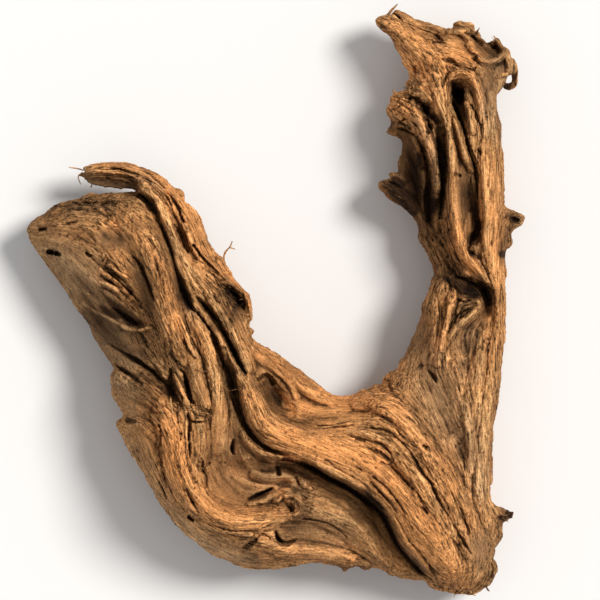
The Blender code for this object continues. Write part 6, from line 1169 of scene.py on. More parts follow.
def spline(points, spacing, closed=False):
    """Points along a smooth line through every given row, carrying all its columns."""
    rows = np.asarray(points, float)
    if closed:
        ends = np.vstack([rows[-1:], rows, rows[:2]])
    else:
        ends = np.vstack([2 * rows[0] - rows[1], rows, 2 * rows[-1] - rows[-2]])
    found = []
    for a, b, c, d in zip(ends[:-3], ends[1:-2], ends[2:-1], ends[3:]):
        steps = max(1, int(np.ceil(np.hypot(*(c - b)[:2]) / spacing)))
        t = np.arange(steps)[:, None] / steps
        found.append(
            0.5 * (2 * b + (c - a) * t + (2 * a - 5 * b + 4 * c - d) * t**2 + (3 * b - a - 3 * c + d) * t**3)
        )
    if not closed:
        found.append(rows[-1:])
    return np.vstack(found)


class Plan:
    """A grid of plan positions that maps are drawn on: the whole plan, or a window of it."""

    def __init__(self, cell, x, y):
        self.cell = cell
        self.x = x
        self.y = y
        self.shape = (len(x), len(y))

    def window(self, xs, ys, reach):
        """The grid's slices that hold some positions and all within reach of them."""

        def cut(axis, values):
            low = int((min(values) - reach - axis[0]) / self.cell)
            high = int((max(values) + reach - axis[0]) / self.cell) + 2
            return slice(max(low, 0), max(min(high, len(axis)), 0))

        return cut(self.x, xs), cut(self.y, ys)

    def near(self, path, reach):
        """The window around a stroke, the distance to the stroke there, and its further columns."""
        where = self.window(path[:, 0], path[:, 1], reach)
        part = Plan(self.cell, self.x[where[0]], self.y[where[1]])
        return where, *distance_to(part, path, reach)

    def sampled(self, values, points):
        """The map's values at plan points, between its grid positions."""
        x = np.clip((points[:, 0] - self.x[0]) / self.cell, 0, self.shape[0] - 1.001)
        y = np.clip((points[:, 1] - self.y[0]) / self.cell, 0, self.shape[1] - 1.001)
        i, j = x.astype(int), y.astype(int)
        s, t = x - i, y - j
        low = values[i, j] * (1 - t) + values[i, j + 1] * t
        high = values[i + 1, j] * (1 - t) + values[i + 1, j + 1] * t
        return low * (1 - s) + high * s


def distance_to(plan, path, reach):
    """Distance to a line of points, and the line's further columns at its nearest place.

    Out of reach the distance is infinite and the columns are 0.
    """
    best = np.full(plan.shape, np.inf, np.float32)
    columns = np.zeros((path.shape[1] - 2,) + plan.shape, np.float32)
    for a, b in zip(path[:-1], path[1:]):
        where = plan.window((a[0], b[0]), (a[1], b[1]), reach)
        x = plan.x[where[0], None]
        y = plan.y[None, where[1]]
        along = b[:2] - a[:2]
        t = ((x - a[0]) * along[0] + (y - a[1]) * along[1]) / max(along @ along, 1e-9)
        t = np.clip(t, 0, 1)
        d = np.hypot(x - a[0] - t * along[0], y - a[1] - t * along[1])
        nearer = d < best[where]
        best[where] = np.where(nearer, d, best[where])
        for column, start, end in zip(columns, a[2:], b[2:]):
            column[where] = np.where(nearer, start + t * (end - start), column[where])
    return best, columns


def bell(q):
    """A ridge with soft flanks, from -1 to 1 across a stroke."""
    return np.clip(1 - q**2, 0, 1) ** 2


def dome(q):
    """A ridge with steep flanks."""
    return np.clip(1 - q**2, 0, 1) ** 0.75


def furrow(q):
    """A furrow with soft flanks, wider than its stroke's half width."""
    return bell(q / FURROW_WIDTH)


def shingle(q):
    """A strip that rises to one side and ends there in a step."""
    return np.clip(0.35 + 0.65 * (q + 1) / 2, 0, 1)


def between(low, high, values):
    """0 up to the low value, 1 from the high one on, and a smooth slope between them."""
    t = np.clip((values - low) / (high - low), 0, 1)
    return t * t * (3 - 2 * t)


def height_map(plan, table, profile, join=np.add):
    """One height map from a table of strokes of one profile; they are added up, or joined in another way."""
    total = np.zeros(plan.shape, np.float32)
    for rows in table.values():
        path = spline(rows, FORM_SPACING)
        where, d, (width, height) = plan.near(path, FORM_REACH * path[:, 2].max())
        q = np.minimum(d / np.maximum(width, NARROWEST), 9)
        total[where] = join(total[where], height * profile(q))
    return total


def look_map(plan, table):
    """How strongly a look applies at each place; it fades with the distance from its strokes."""
    total = np.zeros(plan.shape, np.float32)
    for rows in table.values():
        path = spline(rows if len(rows) > 1 else 2 * rows, LOOK_SPACING)
        where, d, (width, strength) = plan.near(path, LOOK_REACH * path[:, 2].max())
        fade = np.exp(-LOOK_FADE * (np.minimum(d, 999) / np.maximum(width, 1)) ** 2)
        total[where] = np.maximum(total[where], strength * fade)
    return total


def blurred(values, size, cell):
    """Three running means along each axis."""
    radius = max(1, int(round(size / cell)))
    for _ in range(3):
        for axis in (0, 1):
            pad = [(0, 0), (0, 0)]
            pad[axis] = (radius + 1, radius)
            total = np.cumsum(np.pad(values, pad, mode="edge"), axis=axis, dtype=np.float64)
            high = np.take(total, np.arange(2 * radius + 1, total.shape[axis]), axis=axis)
            low = np.take(total, np.arange(total.shape[axis] - 2 * radius - 1), axis=axis)
            values = (high - low) / (2 * radius + 1)
    return values.astype(np.float32)


def noise(points, name):
    """Smooth random values from 0 to 1 at some points, between the knots of one of the noises."""
    size, seed = NOISES[name]
    points = points / size
    base = np.floor(points).astype(np.int64)
    part = points - base
    part = part * part * (3 - 2 * part)
    total = np.zeros(len(points))
    for corner in range(8):
        step = np.array([corner & 1, corner >> 1 & 1, corner >> 2 & 1])
        key = (base + step) @ np.array(KNOT_FACTORS) + seed * SEED_FACTOR
        key &= LOW_BITS
        for shift, factor in MIXES:
            key = ((key ^ (key >> shift)) * factor) & LOW_BITS
        share = np.prod(np.where(step, part, 1 - part), axis=1)
        total += share * ((key >> 8) & 0xFFFF) / 0xFFFF
    return total


def outline_depth(plan):
    """How far each plan position lies inside the outline; outside it is negative."""
    line = spline(OUTLINE, OUTLINE_SPACING, closed=True)
    line = np.vstack([line, line[:1]])
    d, _ = distance_to(plan, line, REACH)
    d = np.minimum(d, REACH)
    inside = np.zeros(plan.shape, bool)
    for column, x in enumerate(plan.x):
        crosses = (line[:-1, 0] > x) != (line[1:, 0] > x)
        a, b = line[:-1][crosses], line[1:][crosses]
        at = np.sort(a[:, 1] + (x - a[:, 0]) / (b[:, 0] - a[:, 0]) * (b[:, 1] - a[:, 1]))
        inside[column] = np.searchsorted(at, plan.y) % 2 == 1
    return np.where(inside, d, -d)


def raggedness(plan):
    """Small random steps of the outline, larger where the wood crumbles."""
    x, y = np.meshgrid(plan.x, plan.y, indexing="ij")
    points = np.stack([x.ravel(), y.ravel(), 0 * x.ravel()], axis=1)
    small = noise(points, "small steps") - 0.5 + 0.6 * (noise(points, "fine steps") - 0.5)
    large = noise(points, "large steps") - 0.5
    crumbling = 0.7 + 2.2 * look_map(plan, CRUMBLE)
    return 0.7 * small.reshape(plan.shape) + crumbling * large.reshape(plan.shape)


def inflated(inside, cell):
    """Solves for the height whose curvature is even inside the outline, from a coarse grid to a fine one."""
    levels = [(inside, cell)]
    while min(levels[-1][0].shape) > COARSEST_GRID:
        levels.append((levels[-1][0][::2, ::2], 2 * levels[-1][1]))
    height = np.zeros(levels[-1][0].shape)
    for mask, size in reversed(levels):
        if height.shape != mask.shape:
            height = np.repeat(np.repeat(height, 2, 0), 2, 1)[: mask.shape[0], : mask.shape[1]]
        height = height * mask
        for _ in range(COARSE_SWEEPS if size == levels[-1][1] else FINE_SWEEPS):
            mean = np.zeros(mask.shape)
            total = height[:-2, 1:-1] + height[2:, 1:-1] + height[1:-1, :-2] + height[1:-1, 2:]
            mean[1:-1, 1:-1] = total / 4
            height = (mean + size**2 / 4) * mask
    return height


class Shape:
    """The maps that one side of the wood is made from.

    The outline gives the thickness, as if a skin over it were blown up. The middle surface lies at a share of
    the mean thickness around each place. From there each side reaches out by its own share of the thickness
    and by its swellings, strands and furrows.
    """

    def __init__(self, plan, side):
        self.plan = plan
        self.side = side
        depth = outline_depth(plan) + raggedness(plan)
        height = inflated(depth > 0, plan.cell)

        # Close to the outline the grid is too coarse, so the height follows from its mean slope there.
        least = 0.3 * plan.cell
        beside = (depth > least) & (depth < EDGE_BAND)
        slope = blurred(np.where(beside, height / np.maximum(depth, least), 0), EDGE_BLUR, plan.cell)
        weight = blurred(beside.astype(float), EDGE_BLUR, plan.cell)
        slope = np.where(weight > 1e-3, slope / np.maximum(weight, 1e-3), STEEPEST_EDGE)
        square = np.where(depth > 2 * plan.cell, 2 * height, 2 * slope * depth)
        thick = np.sqrt(np.maximum(square, 0))
        thick = thick / (1 + (thick / THICKEST) ** 4) ** 0.25
        self.wood = thick > 0
        middle = blurred(MIDDLE_SHARE * thick, MIDDLE_BLUR, plan.cell)
        middle = middle / np.maximum(blurred(self.wood.astype(float), MIDDLE_BLUR, plan.cell), 0.02)
        middle = middle + height_map(plan, LIFTS, bell) - FLOOR_LEVEL
        soft = 1 - np.exp(-thick / EDGE_SOFTNESS)
        if side > 0:
            swells, strands, furrows, share = SWELLS, STRANDS, FURROWS, UPPER_SHARE
        else:
            swells, strands, furrows, share = UNDER_SWELLS, UNDER_STRANDS, UNDER_FURROWS, LOWER_SHARE
        relief = height_map(plan, swells, bell) + height_map(plan, strands, dome, np.maximum)
        relief = relief - height_map(plan, furrows, furrow, np.maximum)
        self.reach = np.maximum(share * thick + soft * relief, np.minimum(THINNEST, 0.3 * thick))
        self.thick = thick.astype(np.float32)
        self.depth = depth.astype(np.float32)
        self.square = np.where(self.wood, self.reach**2, square).astype(np.float32)
        self.middle = middle.astype(np.float32)


def fibre_angles(plan, tables):
    """Which way the fibres run at each place, from the strokes' directions spread over the plan.

    Angles are doubled on the way, so that both ways along a fibre count as one.
    """
    cos, sin = (np.zeros(plan.shape, np.float32) for _ in range(2))
    for table in tables:
        for rows in table.values():
            path = spline([row[:3] for row in rows], LOOK_SPACING)
            along = np.gradient(path[:, :2], axis=0)
            angle = 2 * np.arctan2(along[:, 1], along[:, 0])
            path = np.column_stack([path[:, :3], np.cos(angle), np.sin(angle)])
            where, d, (width, c, s) = plan.near(path, 1.5 * path[:, 2].max() + 4)
            near = np.exp(-((np.minimum(d, 99) / (0.8 * width + 2.5)) ** 2))
            cos[where] += near * c
            sin[where] += near * s
    for size, share in SPREADS:
        cos += share * blurred(cos, size, plan.cell)
        sin += share * blurred(sin, size, plan.cell)
    return np.arctan2(sin, cos) / 2


def combed(values, angle, steps):
    """The values smeared along the fibres, so many grid steps each way."""
    ux, uy = np.cos(angle), np.sin(angle)
    i0, j0 = np.meshgrid(np.arange(values.shape[0]), np.arange(values.shape[1]), indexing="ij")
    total = values.astype(np.float32).copy()
    for way in (1, -1):
        x, y = i0.astype(np.float32), j0.astype(np.float32)
        dx, dy = way * ux, way * uy
        for step in range(1, steps + 1):
            x += dx
            y += dy
            i = np.clip(np.rint(x).astype(np.int32), 0, values.shape[0] - 1)
            j = np.clip(np.rint(y).astype(np.int32), 0, values.shape[1] - 1)
            fade = 0.5 + 0.5 * np.cos(np.pi * step / (steps + 1))
            total += fade * values[i, j]
            turn_x, turn_y = ux[i, j], uy[i, j]
            flip = np.where(turn_x * dx + turn_y * dy < 0, -1, 1)
            dx, dy = turn_x * flip, turn_y * flip
    return total


def fibre_map(plan, angle, width, length, seed):
    """Fibres of one width in plan, 0 in the grooves and 1 on the ridges."""
    random = np.random.default_rng(seed)
    coarse = max(width, plan.cell)
    shape = (int(plan.shape[0] * plan.cell / coarse) + 3, int(plan.shape[1] * plan.cell / coarse) + 3)
    knots = random.random(shape).astype(np.float32)
    x = np.arange(plan.shape[0]) * plan.cell / coarse
    y = np.arange(plan.shape[1]) * plan.cell / coarse
    i, j = x.astype(int), y.astype(int)
    s, t = (x - i)[:, None], (y - j)[None, :]
    s, t = s * s * (3 - 2 * s), t * t * (3 - 2 * t)
    low = knots[i][:, j] * (1 - t) + knots[i][:, j + 1] * t
    high = knots[i + 1][:, j] * (1 - t) + knots[i + 1][:, j + 1] * t
    values = combed(low * (1 - s) + high * s, angle, int(length / plan.cell))
    values = (values - values.mean()) / values.std()
    return 0.5 + 0.5 * np.tanh(0.9 * values)


def grooved(values):
    """Rounded fibres with narrow grooves between them, from -1 to 0.3."""
    return 0.3 - 1.3 * np.clip(1 - values / 0.55, 0, 1) ** 1.3


def openness(height, cell):
    """How much of the sky each place of a height map sees, from 0 to 1."""
    total = np.zeros(height.shape, np.float32)
    for way in range(SKY_WAYS):
        angle = 2 * np.pi * way / SKY_WAYS
        steepest = np.zeros(height.shape, np.float32)
        for distance in SKY_DISTANCES:
            i, j = (int(round(distance * f / cell)) for f in (np.cos(angle), np.sin(angle)))
            away = np.hypot(i, j) * cell
            if away > 0:
                other = np.roll(height, (-i, -j), axis=(0, 1))
                steepest = np.maximum(steepest, (other - height) / away)
        total += 1 - steepest / np.sqrt(1 + steepest**2)
    return total / SKY_WAYS


def bar_distance(points, x, y, z):
    """Distance from each grid position to a round bar along the points; inside it is negative."""
    nearest = np.full(np.broadcast_shapes(x.shape, y.shape, z.shape), np.inf)
    for a, b in zip(points[:-1], points[1:]):
        along = b[:3] - a[:3]
        t = (x - a[0]) * along[0] + (y - a[1]) * along[1] + (z - a[2]) * along[2]
        t = np.clip(t / (along @ along), 0, 1)
        dx, dy, dz = x - a[0] - t * along[0], y - a[1] - t * along[1], z - a[2] - t * along[2]
        nearest = np.minimum(nearest, np.sqrt(dx**2 + dy**2 + dz**2) - (a[3] + t * (b[3] - a[3])))
    return nearest


def wood_field(shape, columns, heights):
    """Negative inside the wood and positive outside it, for a slab of the grid's columns."""
    plan = shape.plan
    z = heights[None, None, :].astype(np.float32)
    level = z - shape.middle[columns, :, None]
    field = np.sqrt(np.maximum(level**2 + THICKEST**2 - shape.square[columns, :, None], 0)) - THICKEST
    if shape.side < 0:
        field = np.maximum(field, -z)
    bar = spline(LOOSE_PRONG, FORM_SPACING)
    bar[:, 2] += plan.sampled(shape.middle, bar[:1])[0]
    near = plan.window(bar[:, 0], bar[:, 1], 6)
    start, stop = max(near[0].start, columns.start), min(near[0].stop, columns.stop)
    if start < stop:
        own = slice(start - columns.start, stop - columns.start)
        x, y = plan.x[start:stop, None, None], plan.y[None, near[1], None]
        bar_field = bar_distance(bar, x, y, heights[None, None, :])
        field[own, near[1]] = np.minimum(field[own, near[1]], bar_field)
    return field


def surface_net(shape, low_level, high_level):
    """Vertices and quads of the wood's surface between two heights, in slabs across the plan.

    Each grid cube that the surface passes through gets one vertex, in the middle of where the cube's edges
    cross the surface, and each crossed edge gets a quad between the four cubes around it.
    """
    plan = shape.plan
    rise = RISE * plan.cell
    heights = np.arange(low_level, high_level, rise)
    size = (len(plan.x), len(plan.y), len(heights))
    ids, places, quads = [], [], []
    for first_column in range(0, size[0] - 1, SLAB):
        last_column = min(first_column + SLAB + 1, size[0])
        field = wood_field(shape, slice(first_column, last_column), heights)
        inside = field < 0
        for axis in range(3):
            low = [slice(0, -1) if k == axis else slice(None) for k in range(3)]
            high = [slice(1, None) if k == axis else slice(None) for k in range(3)]
            if axis and last_column < size[0]:
                low[0] = high[0] = slice(0, -1)
            at = np.argwhere(inside[tuple(low)] != inside[tuple(high)])
            after = at.copy()
            after[:, axis] += 1
            start, end = field[tuple(at.T)], field[tuple(after.T)]
            at[:, 0] += first_column
            place = at.astype(float)
            place[:, axis] += start / (start - end)
            corners = []
            for step in ((-1, -1), (0, -1), (0, 0), (-1, 0)):
                cube = at.copy()
                cube[:, (axis + 1) % 3] += step[0]
                cube[:, (axis + 2) % 3] += step[1]
                corners.append(cube)
            whole = np.all([(cube >= 0).all(axis=1) for cube in corners], axis=0)
            corners = [np.ravel_multi_index(tuple(cube[whole].T), size) for cube in corners]
            ids += corners
            places += 4 * [place[whole]]
            quad = np.stack(corners, axis=1)
            quads.append(np.where((start < 0)[whole, None], quad, quad[:, ::-1]))
    found, index = np.unique(np.concatenate(ids), return_inverse=True)
    count = np.bincount(index)
    places = np.concatenate(places)
    vertices = np.stack([np.bincount(index, places[:, k]) / count for k in range(3)], axis=1)
    vertices = vertices * [plan.cell, plan.cell, rise] + [plan.x[0], plan.y[0], heights[0]]
    return vertices, np.searchsorted(found, np.concatenate(quads))


def facing(vertices, quads):
    """The surface's direction at each vertex."""
    a, b, c, d = (vertices[quads[:, k]] for k in range(4))
    face = np.cross(c - a, d - b)
    normal = np.zeros(vertices.shape)
    for k in range(4):
        for axis in range(3):
            normal[:, axis] += np.bincount(quads[:, k], face[:, axis], len(vertices))
    return normal / np.maximum(np.linalg.norm(normal, axis=1), 1e-9)[:, None]


def facing_up(normals):
    """1 where the surface looks straight up or down, and 0 at upright sides."""
    return np.abs(normals[:, 2]) ** 1.5


def without_spares(quads):
    """The vertices that some quads use, and the quads renumbered for them alone."""
    used, index = np.unique(quads, return_inverse=True)
    return used, index.reshape(quads.shape)


def beyond(points, line):
    """Whether plan points lie to the left of a line, going by its nearest stretch."""
    line = np.asarray(line, float)
    nearest = np.full(len(points), np.inf)
    left = np.zeros(len(points), bool)
    for a, b in zip(line[:-1], line[1:]):
        along = b - a
        t = np.clip((points - a) @ along / (along @ along), 0, 1)
        off = points - a - t[:, None] * along
        d = (off**2).sum(axis=1)
        closer = d < nearest
        nearest = np.where(closer, d, nearest)
        turn = along[0] * (points[:, 1] - a[1]) - along[1] * (points[:, 0] - a[0])
        left = np.where(closer, turn > 0, left)
    return left


def piece_of(points):
    """Which piece each plan point belongs to, as a number in NAMES."""
    x, y = points.T
    over = {name: beyond(points, line) for name, line in BORDERS.items()}
    number = NAMES.index
    on_hook = over["hook"] & (x < HOOK_RIGHT) & (y > HOOK_LOW)
    limb = np.where(on_hook, number("hooked_strand"), number("left_limb"))
    upper = np.where(over["prong"], number("upper_prong"), number("crown"))
    right = np.where(over["neck"] & (y > NECK_LOW), upper, number("right_limb"))
    found = np.where(over["base"], number("root_base_east"), number("root_base_west"))
    found = np.where(~over["left fork"] & (x < LEFT_SIDE_END), limb, found)
    return np.where(over["right fork"] & (x > RIGHT_SIDE_START), right, found)


def node_of(name):
    """The solid that a piece stands for."""
    return name.replace("_east", "").replace("_west", "")


class Strokes:
    """Many thin strokes along the fibres, drawn at half the plan's cell so that they stay crisp."""

    def __init__(self, plan, angle, random):
        self.plan = plan
        self.angle = angle
        self.random = random
        self.cell = plan.cell / 2
        self.shape = (2 * plan.shape[0], 2 * plan.shape[1])

    def seeds(self, count, density):
        """Random places, more of them where the density is high."""
        chance = np.cumsum(density.ravel().astype(np.float64))
        found = np.searchsorted(chance, self.random.random(count) * chance[-1])
        i, j = np.unravel_index(found, density.shape)
        inside = self.random.random((count, 2)) - 0.5
        plan = self.plan
        return np.stack([plan.x[i], plan.y[j]], axis=1) + inside * plan.cell

    def direction(self, points):
        """The fibres' direction at the grid position nearest to each point."""
        plan = self.plan
        i = np.clip(np.rint((points[:, 0] - plan.x[0]) / plan.cell).astype(int), 0, plan.shape[0] - 1)
        j = np.clip(np.rint((points[:, 1] - plan.y[0]) / plan.cell).astype(int), 0, plan.shape[1] - 1)
        return self.angle[i, j]

    def traced(self, seeds, lengths, swerve):
        """Points along the fibres through each seed, and how far along a stroke each lies, from -1 to 1."""
        steps = int(np.ceil(lengths.max() / 2 / self.cell))
        start = self.direction(seeds) + swerve
        halves = []
        for way in (1, -1):
            points, going = seeds.copy(), way * np.stack([np.cos(start), np.sin(start)], axis=1)
            rows = []
            for _ in range(steps):
                points = points + self.cell * going
                turn = self.direction(points) + swerve
                turn = np.stack([np.cos(turn), np.sin(turn)], axis=1)
                going = turn * np.where((turn * going).sum(axis=1) < 0, -1, 1)[:, None]
                rows.append(points)
            halves.append(rows)
        path = np.stack(halves[1][::-1] + [seeds] + halves[0], axis=1)
        along = (np.arange(2 * steps + 1) - steps) * self.cell
        return path, along[None, :] / (lengths[:, None] / 2)

    def drawn(self, traced, widths, heights, profile, ends, mode):
        """The traced strokes as a height map: the highest one at each place, or the last one drawn."""
        path, share = traced
        ahead = np.gradient(path, axis=1)
        ahead /= np.maximum(np.linalg.norm(ahead, axis=2, keepdims=True), 1e-9)
        aside = np.stack([-ahead[..., 1], ahead[..., 0]], axis=2)
        taper = np.clip((1 - np.abs(share)) / ends, 0, 1) ** 0.7
        widths, heights = (np.broadcast_to(values[:, None], share.shape) for values in (widths, heights))
        reach = widths * taper if ends > 0.3 else widths
        total = np.zeros(self.shape[0] * self.shape[1], np.float32)
        low = (self.plan.x[0] - self.cell / 2, self.plan.y[0] - self.cell / 2)
        count = int(np.ceil(widths.max() / (LINE_PITCH * self.cell)))
        for k in range(-count, count + 1):
            offset = LINE_PITCH * k * self.cell
            use = (np.abs(share) <= 1) & (abs(offset) <= reach)
            place = path[use] + offset * aside[use]
            value = heights[use] * profile(offset / np.maximum(widths[use], 1e-6)) * taper[use]
            i = np.rint((place[:, 0] - low[0]) / self.cell).astype(int)
            j = np.rint((place[:, 1] - low[1]) / self.cell).astype(int)
            ok = (i >= 0) & (i < self.shape[0]) & (j >= 0) & (j < self.shape[1])
            index = i[ok] * self.shape[1] + j[ok]
            if mode == "highest":
                np.maximum.at(total, index, value[ok].astype(np.float32))
            else:
                total[index] = value[ok]
        fine = total.reshape(self.plan.shape[0], 2, self.plan.shape[1], 2)
        return fine.mean(axis=(1, 3))


class Skin:
    """One side of the wood: its surface, its relief and the maps that its colours come from."""

    def __init__(self, side, cell):
        self.side = side
        plan = self.plan = Plan(cell, np.arange(*PLAN_X, cell), np.arange(*PLAN_Y, cell))
        shape = self.shape = Shape(plan, side)
        self.angle = fibre_angles(plan, (STRANDS, FLOWS) if side > 0 else (UNDER_STRANDS,))
        seed = UPPER_SEED if side > 0 else UNDER_SEED
        self.coarse = fibre_map(plan, self.angle, *COARSE_FIBRES, seed)
        self.mid = fibre_map(plan, self.angle, *MID_FIBRES, seed + 1)
        self.smooth = look_map(plan, SMOOTH)
        self.crumble = look_map(plan, CRUMBLE)
        # The dark and bright tints are partly painted shade and painted light.
        self.tints = [look_map(plan, table) for table in (ORANGE, GREY, DARK, BRIGHT)]
        self.top = np.where(shape.wood, shape.middle + side * shape.reach, 0)
        self.relief, self.cracks, self.paint = self.fibre_relief(np.random.default_rng(seed + 5))
        height = side * self.top + self.relief * shape.wood
        if side < 0:
            height = np.where(shape.wood, height, 0)
        self.open = openness(height.astype(np.float32), cell)
        self.cavity = np.clip((height - blurred(height, CAVITY_REACH, cell)) / CAVITY_DEPTH, -1, 1)

    def fibre_relief(self, random):
        """Fibre relief in plan in millimetres, its cracks and pits alone, and thin streaks of paler wood."""
        upper = 1.0 if self.side > 0 else 0.0
        fibrous = 1 - 0.9 * self.smooth * upper
        crumble = self.crumble * upper
        wood = self.shape.wood.astype(np.float32)
        strokes = Strokes(self.plan, self.angle, random)

        def several(kind, density, profile, ends, stray, mode="highest"):
            """All strokes of one kind; ends is the share that tapers, stray how far in radians they turn."""
            count, *limits = STROKE_KINDS[kind]
            count = int(count * (1.0 if self.side > 0 else UNDER_STROKES))
            seeds = strokes.seeds(count, density)
            lengths, widths, heights = (random.uniform(*pair, count) for pair in limits)
            traced = strokes.traced(seeds, lengths, random.normal(0, stray, count))
            return strokes.drawn(traced, widths, heights, profile, ends, mode)

        strips = several("strips", wood * fibrous, shingle, 0.12, 0.06, "last")
        fibres = several("fibres", wood * fibrous, dome, 0.25, 0.12, "last")
        splinters = several("splinters", wood * crumble + 1e-4, shingle, 0.2, 0.5)
        cracks = several("cracks", wood * fibrous, bell, 0.5, 0.12)
        pits = several("pits", wood * (0.3 + 0.7 * fibrous), bell, 0.6, 0.6)
        paint = several("paint", wood, np.ones_like, 0.02, 0.08, "last")
        cracks = cracks * fibrous
        relief = COARSE_RELIEF * (self.coarse - 0.5) * (0.4 + 0.6 * fibrous)
        relief = relief + MID_RELIEF * grooved(self.mid) * fibrous
        relief = relief + strips * (0.12 + 0.88 * fibrous) + FIBRE_RELIEF * fibres * fibrous
        relief = relief + splinters * crumble
        return relief - cracks - pits, cracks + pits, paint

    def surface(self):
        """Vertices, quads and directions of this side of the wood, before its relief."""
        shape = self.shape
        if self.side > 0:
            low, high = shape.middle[shape.wood].min() - 3, self.top.max() + 3
        else:
            low, high = -1.5 * RISE * self.plan.cell, shape.middle[shape.wood].max() + 4
        vertices, quads = surface_net(shape, low, high)
        level = self.side * (vertices[:, 2] - self.plan.sampled(shape.middle, vertices))
        used, quads = without_spares(quads[(level[quads] > -OVERLAP).all(axis=1)])
        vertices = vertices[used]
        return vertices, quads, facing(vertices, quads)

    def nearness(self, vertices):
        """How much the upper side's looks hold at each vertex: in full there, and less down the sides."""
        if self.side > 0:
            return np.ones(len(vertices))
        below = self.plan.sampled(self.shape.middle, vertices) - vertices[:, 2]
        return between(LOOKS_END, LOOKS_FULL, below)

    def angle_at(self, points):
        """The fibres' direction in plan at some places."""
        c = self.plan.sampled(np.cos(2 * self.angle), points)
        s = self.plan.sampled(np.sin(2 * self.angle), points)
        return np.arctan2(s, c) / 2


def layers(vertices, thin):
    """Layers of wood at the upright sides, above and below 0, with a share of thinner ones."""
    return noise(vertices, "side layers") - 0.5 + thin * (noise(vertices, "thin side layers") - 0.5)


def relief_at(skin, vertices, normals):
    """How far each vertex moves along its direction, in millimetres."""

    def at(values):
        return skin.plan.sampled(values, vertices)

    upward = facing_up(normals)
    near = skin.nearness(vertices)
    fibrous = 1 - 0.6 * near * at(skin.smooth)
    move = upward * at(skin.relief) + (1 - upward) * (SIDE_RELIEF * layers(vertices, 0.5) * fibrous)
    rough = noise(vertices, "roughness") + 0.6 * noise(vertices, "fine roughness")
    rough = rough + 0.8 * noise(vertices, "broad roughness") - 1.2
    move = move + (ROUGH_RELIEF - 0.4 * upward) * rough * fibrous
    crumble = near * at(skin.crumble)
    chunks = noise(vertices, "chunks") + 0.5 * noise(vertices, "small chunks") - 0.75
    pits = np.clip(0.42 - noise(vertices, "pits"), 0, 1)
    move = move * (1 - 0.35 * crumble) + crumble * (CHUNK_RELIEF * chunks - PIT_RELIEF * pits)
    move = move * np.clip(at(skin.shape.thick) / FULL_RELIEF_FROM, 0.25, 1)
    if skin.side < 0:
        below = at(skin.shape.middle) - vertices[:, 2]
        move = (move - 0.4 * between(3, 0, below)) * np.clip(vertices[:, 2] / 1.5, 0, 1)
    return move


def linear(colour):
    """A screen colour in linear light."""
    colour = np.asarray(colour, float) / 255
    return np.where(colour <= 0.04045, colour / 12.92, ((colour + 0.055) / 1.055) ** 2.4)


def mixed(first, second, share):
    """The colours that lie a share of the way from the first to the second."""
    return first + (np.asarray(second) - first) * share[:, None]


def wood_colour(skin, vertices, normals):
    """The colour of each vertex, in linear light."""

    def at(values):
        return skin.plan.sampled(values, vertices)

    upward = facing_up(normals)
    near = skin.nearness(vertices)
    smooth, crumble = near * at(skin.smooth), near * at(skin.crumble)
    broad = noise(vertices, "broad colour") - 0.5
    patch = noise(vertices, "patches") - 0.5
    speckle = noise(vertices, "speckle") - 0.5
    crumbs = noise(vertices, "crumbs") - 0.5

    # The tone runs from shade over body to pale wood.
    streaks = COARSE_TONE * (at(skin.coarse) - 0.5) + MID_TONE * (at(skin.mid) - 0.5)
    streaks = streaks + PAINT_TONE * (at(skin.paint) - 0.5)
    streaks = upward * streaks + (1 - upward) * LAYER_TONE * layers(vertices, 0.7)
    # The relief's hollows are darkened as painted shade, and its crests lightened.
    cavity = at(skin.cavity) * upward
    tone = MIDDLE_TONE + streaks * (1 - 0.72 * smooth) + PATCH_TONE * patch + BROAD_TONE * broad
    tone = tone + CAVITY_TONE * cavity + SPECKLE_TONE * speckle * (1 - 0.5 * smooth)
    tone = np.clip(tone + crumble * CRUMB_TONE * crumbs, 0, 1)
    shade, body, pale = (linear(colour)[None] for colour in (SHADE, BODY, PALE))
    lower, upper = mixed(shade, body, between(0, 0.5, tone)), mixed(body, pale, between(0.5, 1.0, tone))
    colour = np.where((tone < 0.5)[:, None], lower, upper)

    # Named places are tinted, some as darker, greyer or warmer wood and some as painted shade and painted
    # light; the underside takes its tints from broad random patches.
    orange, grey, dark, bright = (near * at(tint) for tint in skin.tints)
    orange = orange * (0.7 + 0.6 * patch) + (1 - near) * np.clip(0.35 + 1.2 * broad, 0, 1)
    grey = grey * (0.8 + 0.5 * broad) + (1 - near) * np.clip(0.35 - 1.2 * broad, 0, 1)
    dark = dark * (0.9 + 0.5 * patch)
    light = 0.5 + tone
    tints = (
        (ORANGE_WOOD, 1.4, ORANGE_SHARE * orange),
        (GREY_WOOD, 1.2, GREY_SHARE * grey),
        (DARK_WOOD_AND_SHADE, 1, DARK_SHARE * dark),
    )
    for tint, contrast, share in tints:
        colour = mixed(colour, linear(tint)[None] * light[:, None] ** contrast, np.clip(share, 0, 1))
    # Painted light and painted shade: a bright strength over 1 brightens further, and a dark one darkens
    # further.
    lifted, deepened = np.clip(bright - 1, 0, 1), np.clip(dark - 1, 0, 1)
    colour = colour * ((1 + 0.5 * bright) * (1 - 0.6 * deepened))[:, None]
    colour = colour * np.minimum(1, (BRIGHTEST + 0.12 * lifted) / colour.max(axis=1))[:, None]

    # Places that see little of the sky are darker, as painted shade, and cracks are darkest, also as painted
    # shade, less so at the outline's edge.
    outer = (1 - upward) * between(5, 2, at(skin.shape.depth))
    seen = at(skin.open)
    seen = seen + outer * (0.75 - seen)
    seen = seen + 0.7 * lifted * (1 - seen)
    colour = colour * (1 - 0.6 * between(0.80, 0.30, seen))[:, None]
    cracks = (1 - outer) * at(skin.cracks)
    crevice = between(-0.15, -0.85, cavity) * 0.68 + between(0.5, 1.8, cracks) * 0.62
    return mixed(colour, linear(CREVICE_SHADE)[None], np.clip(crevice, 0, 0.9))


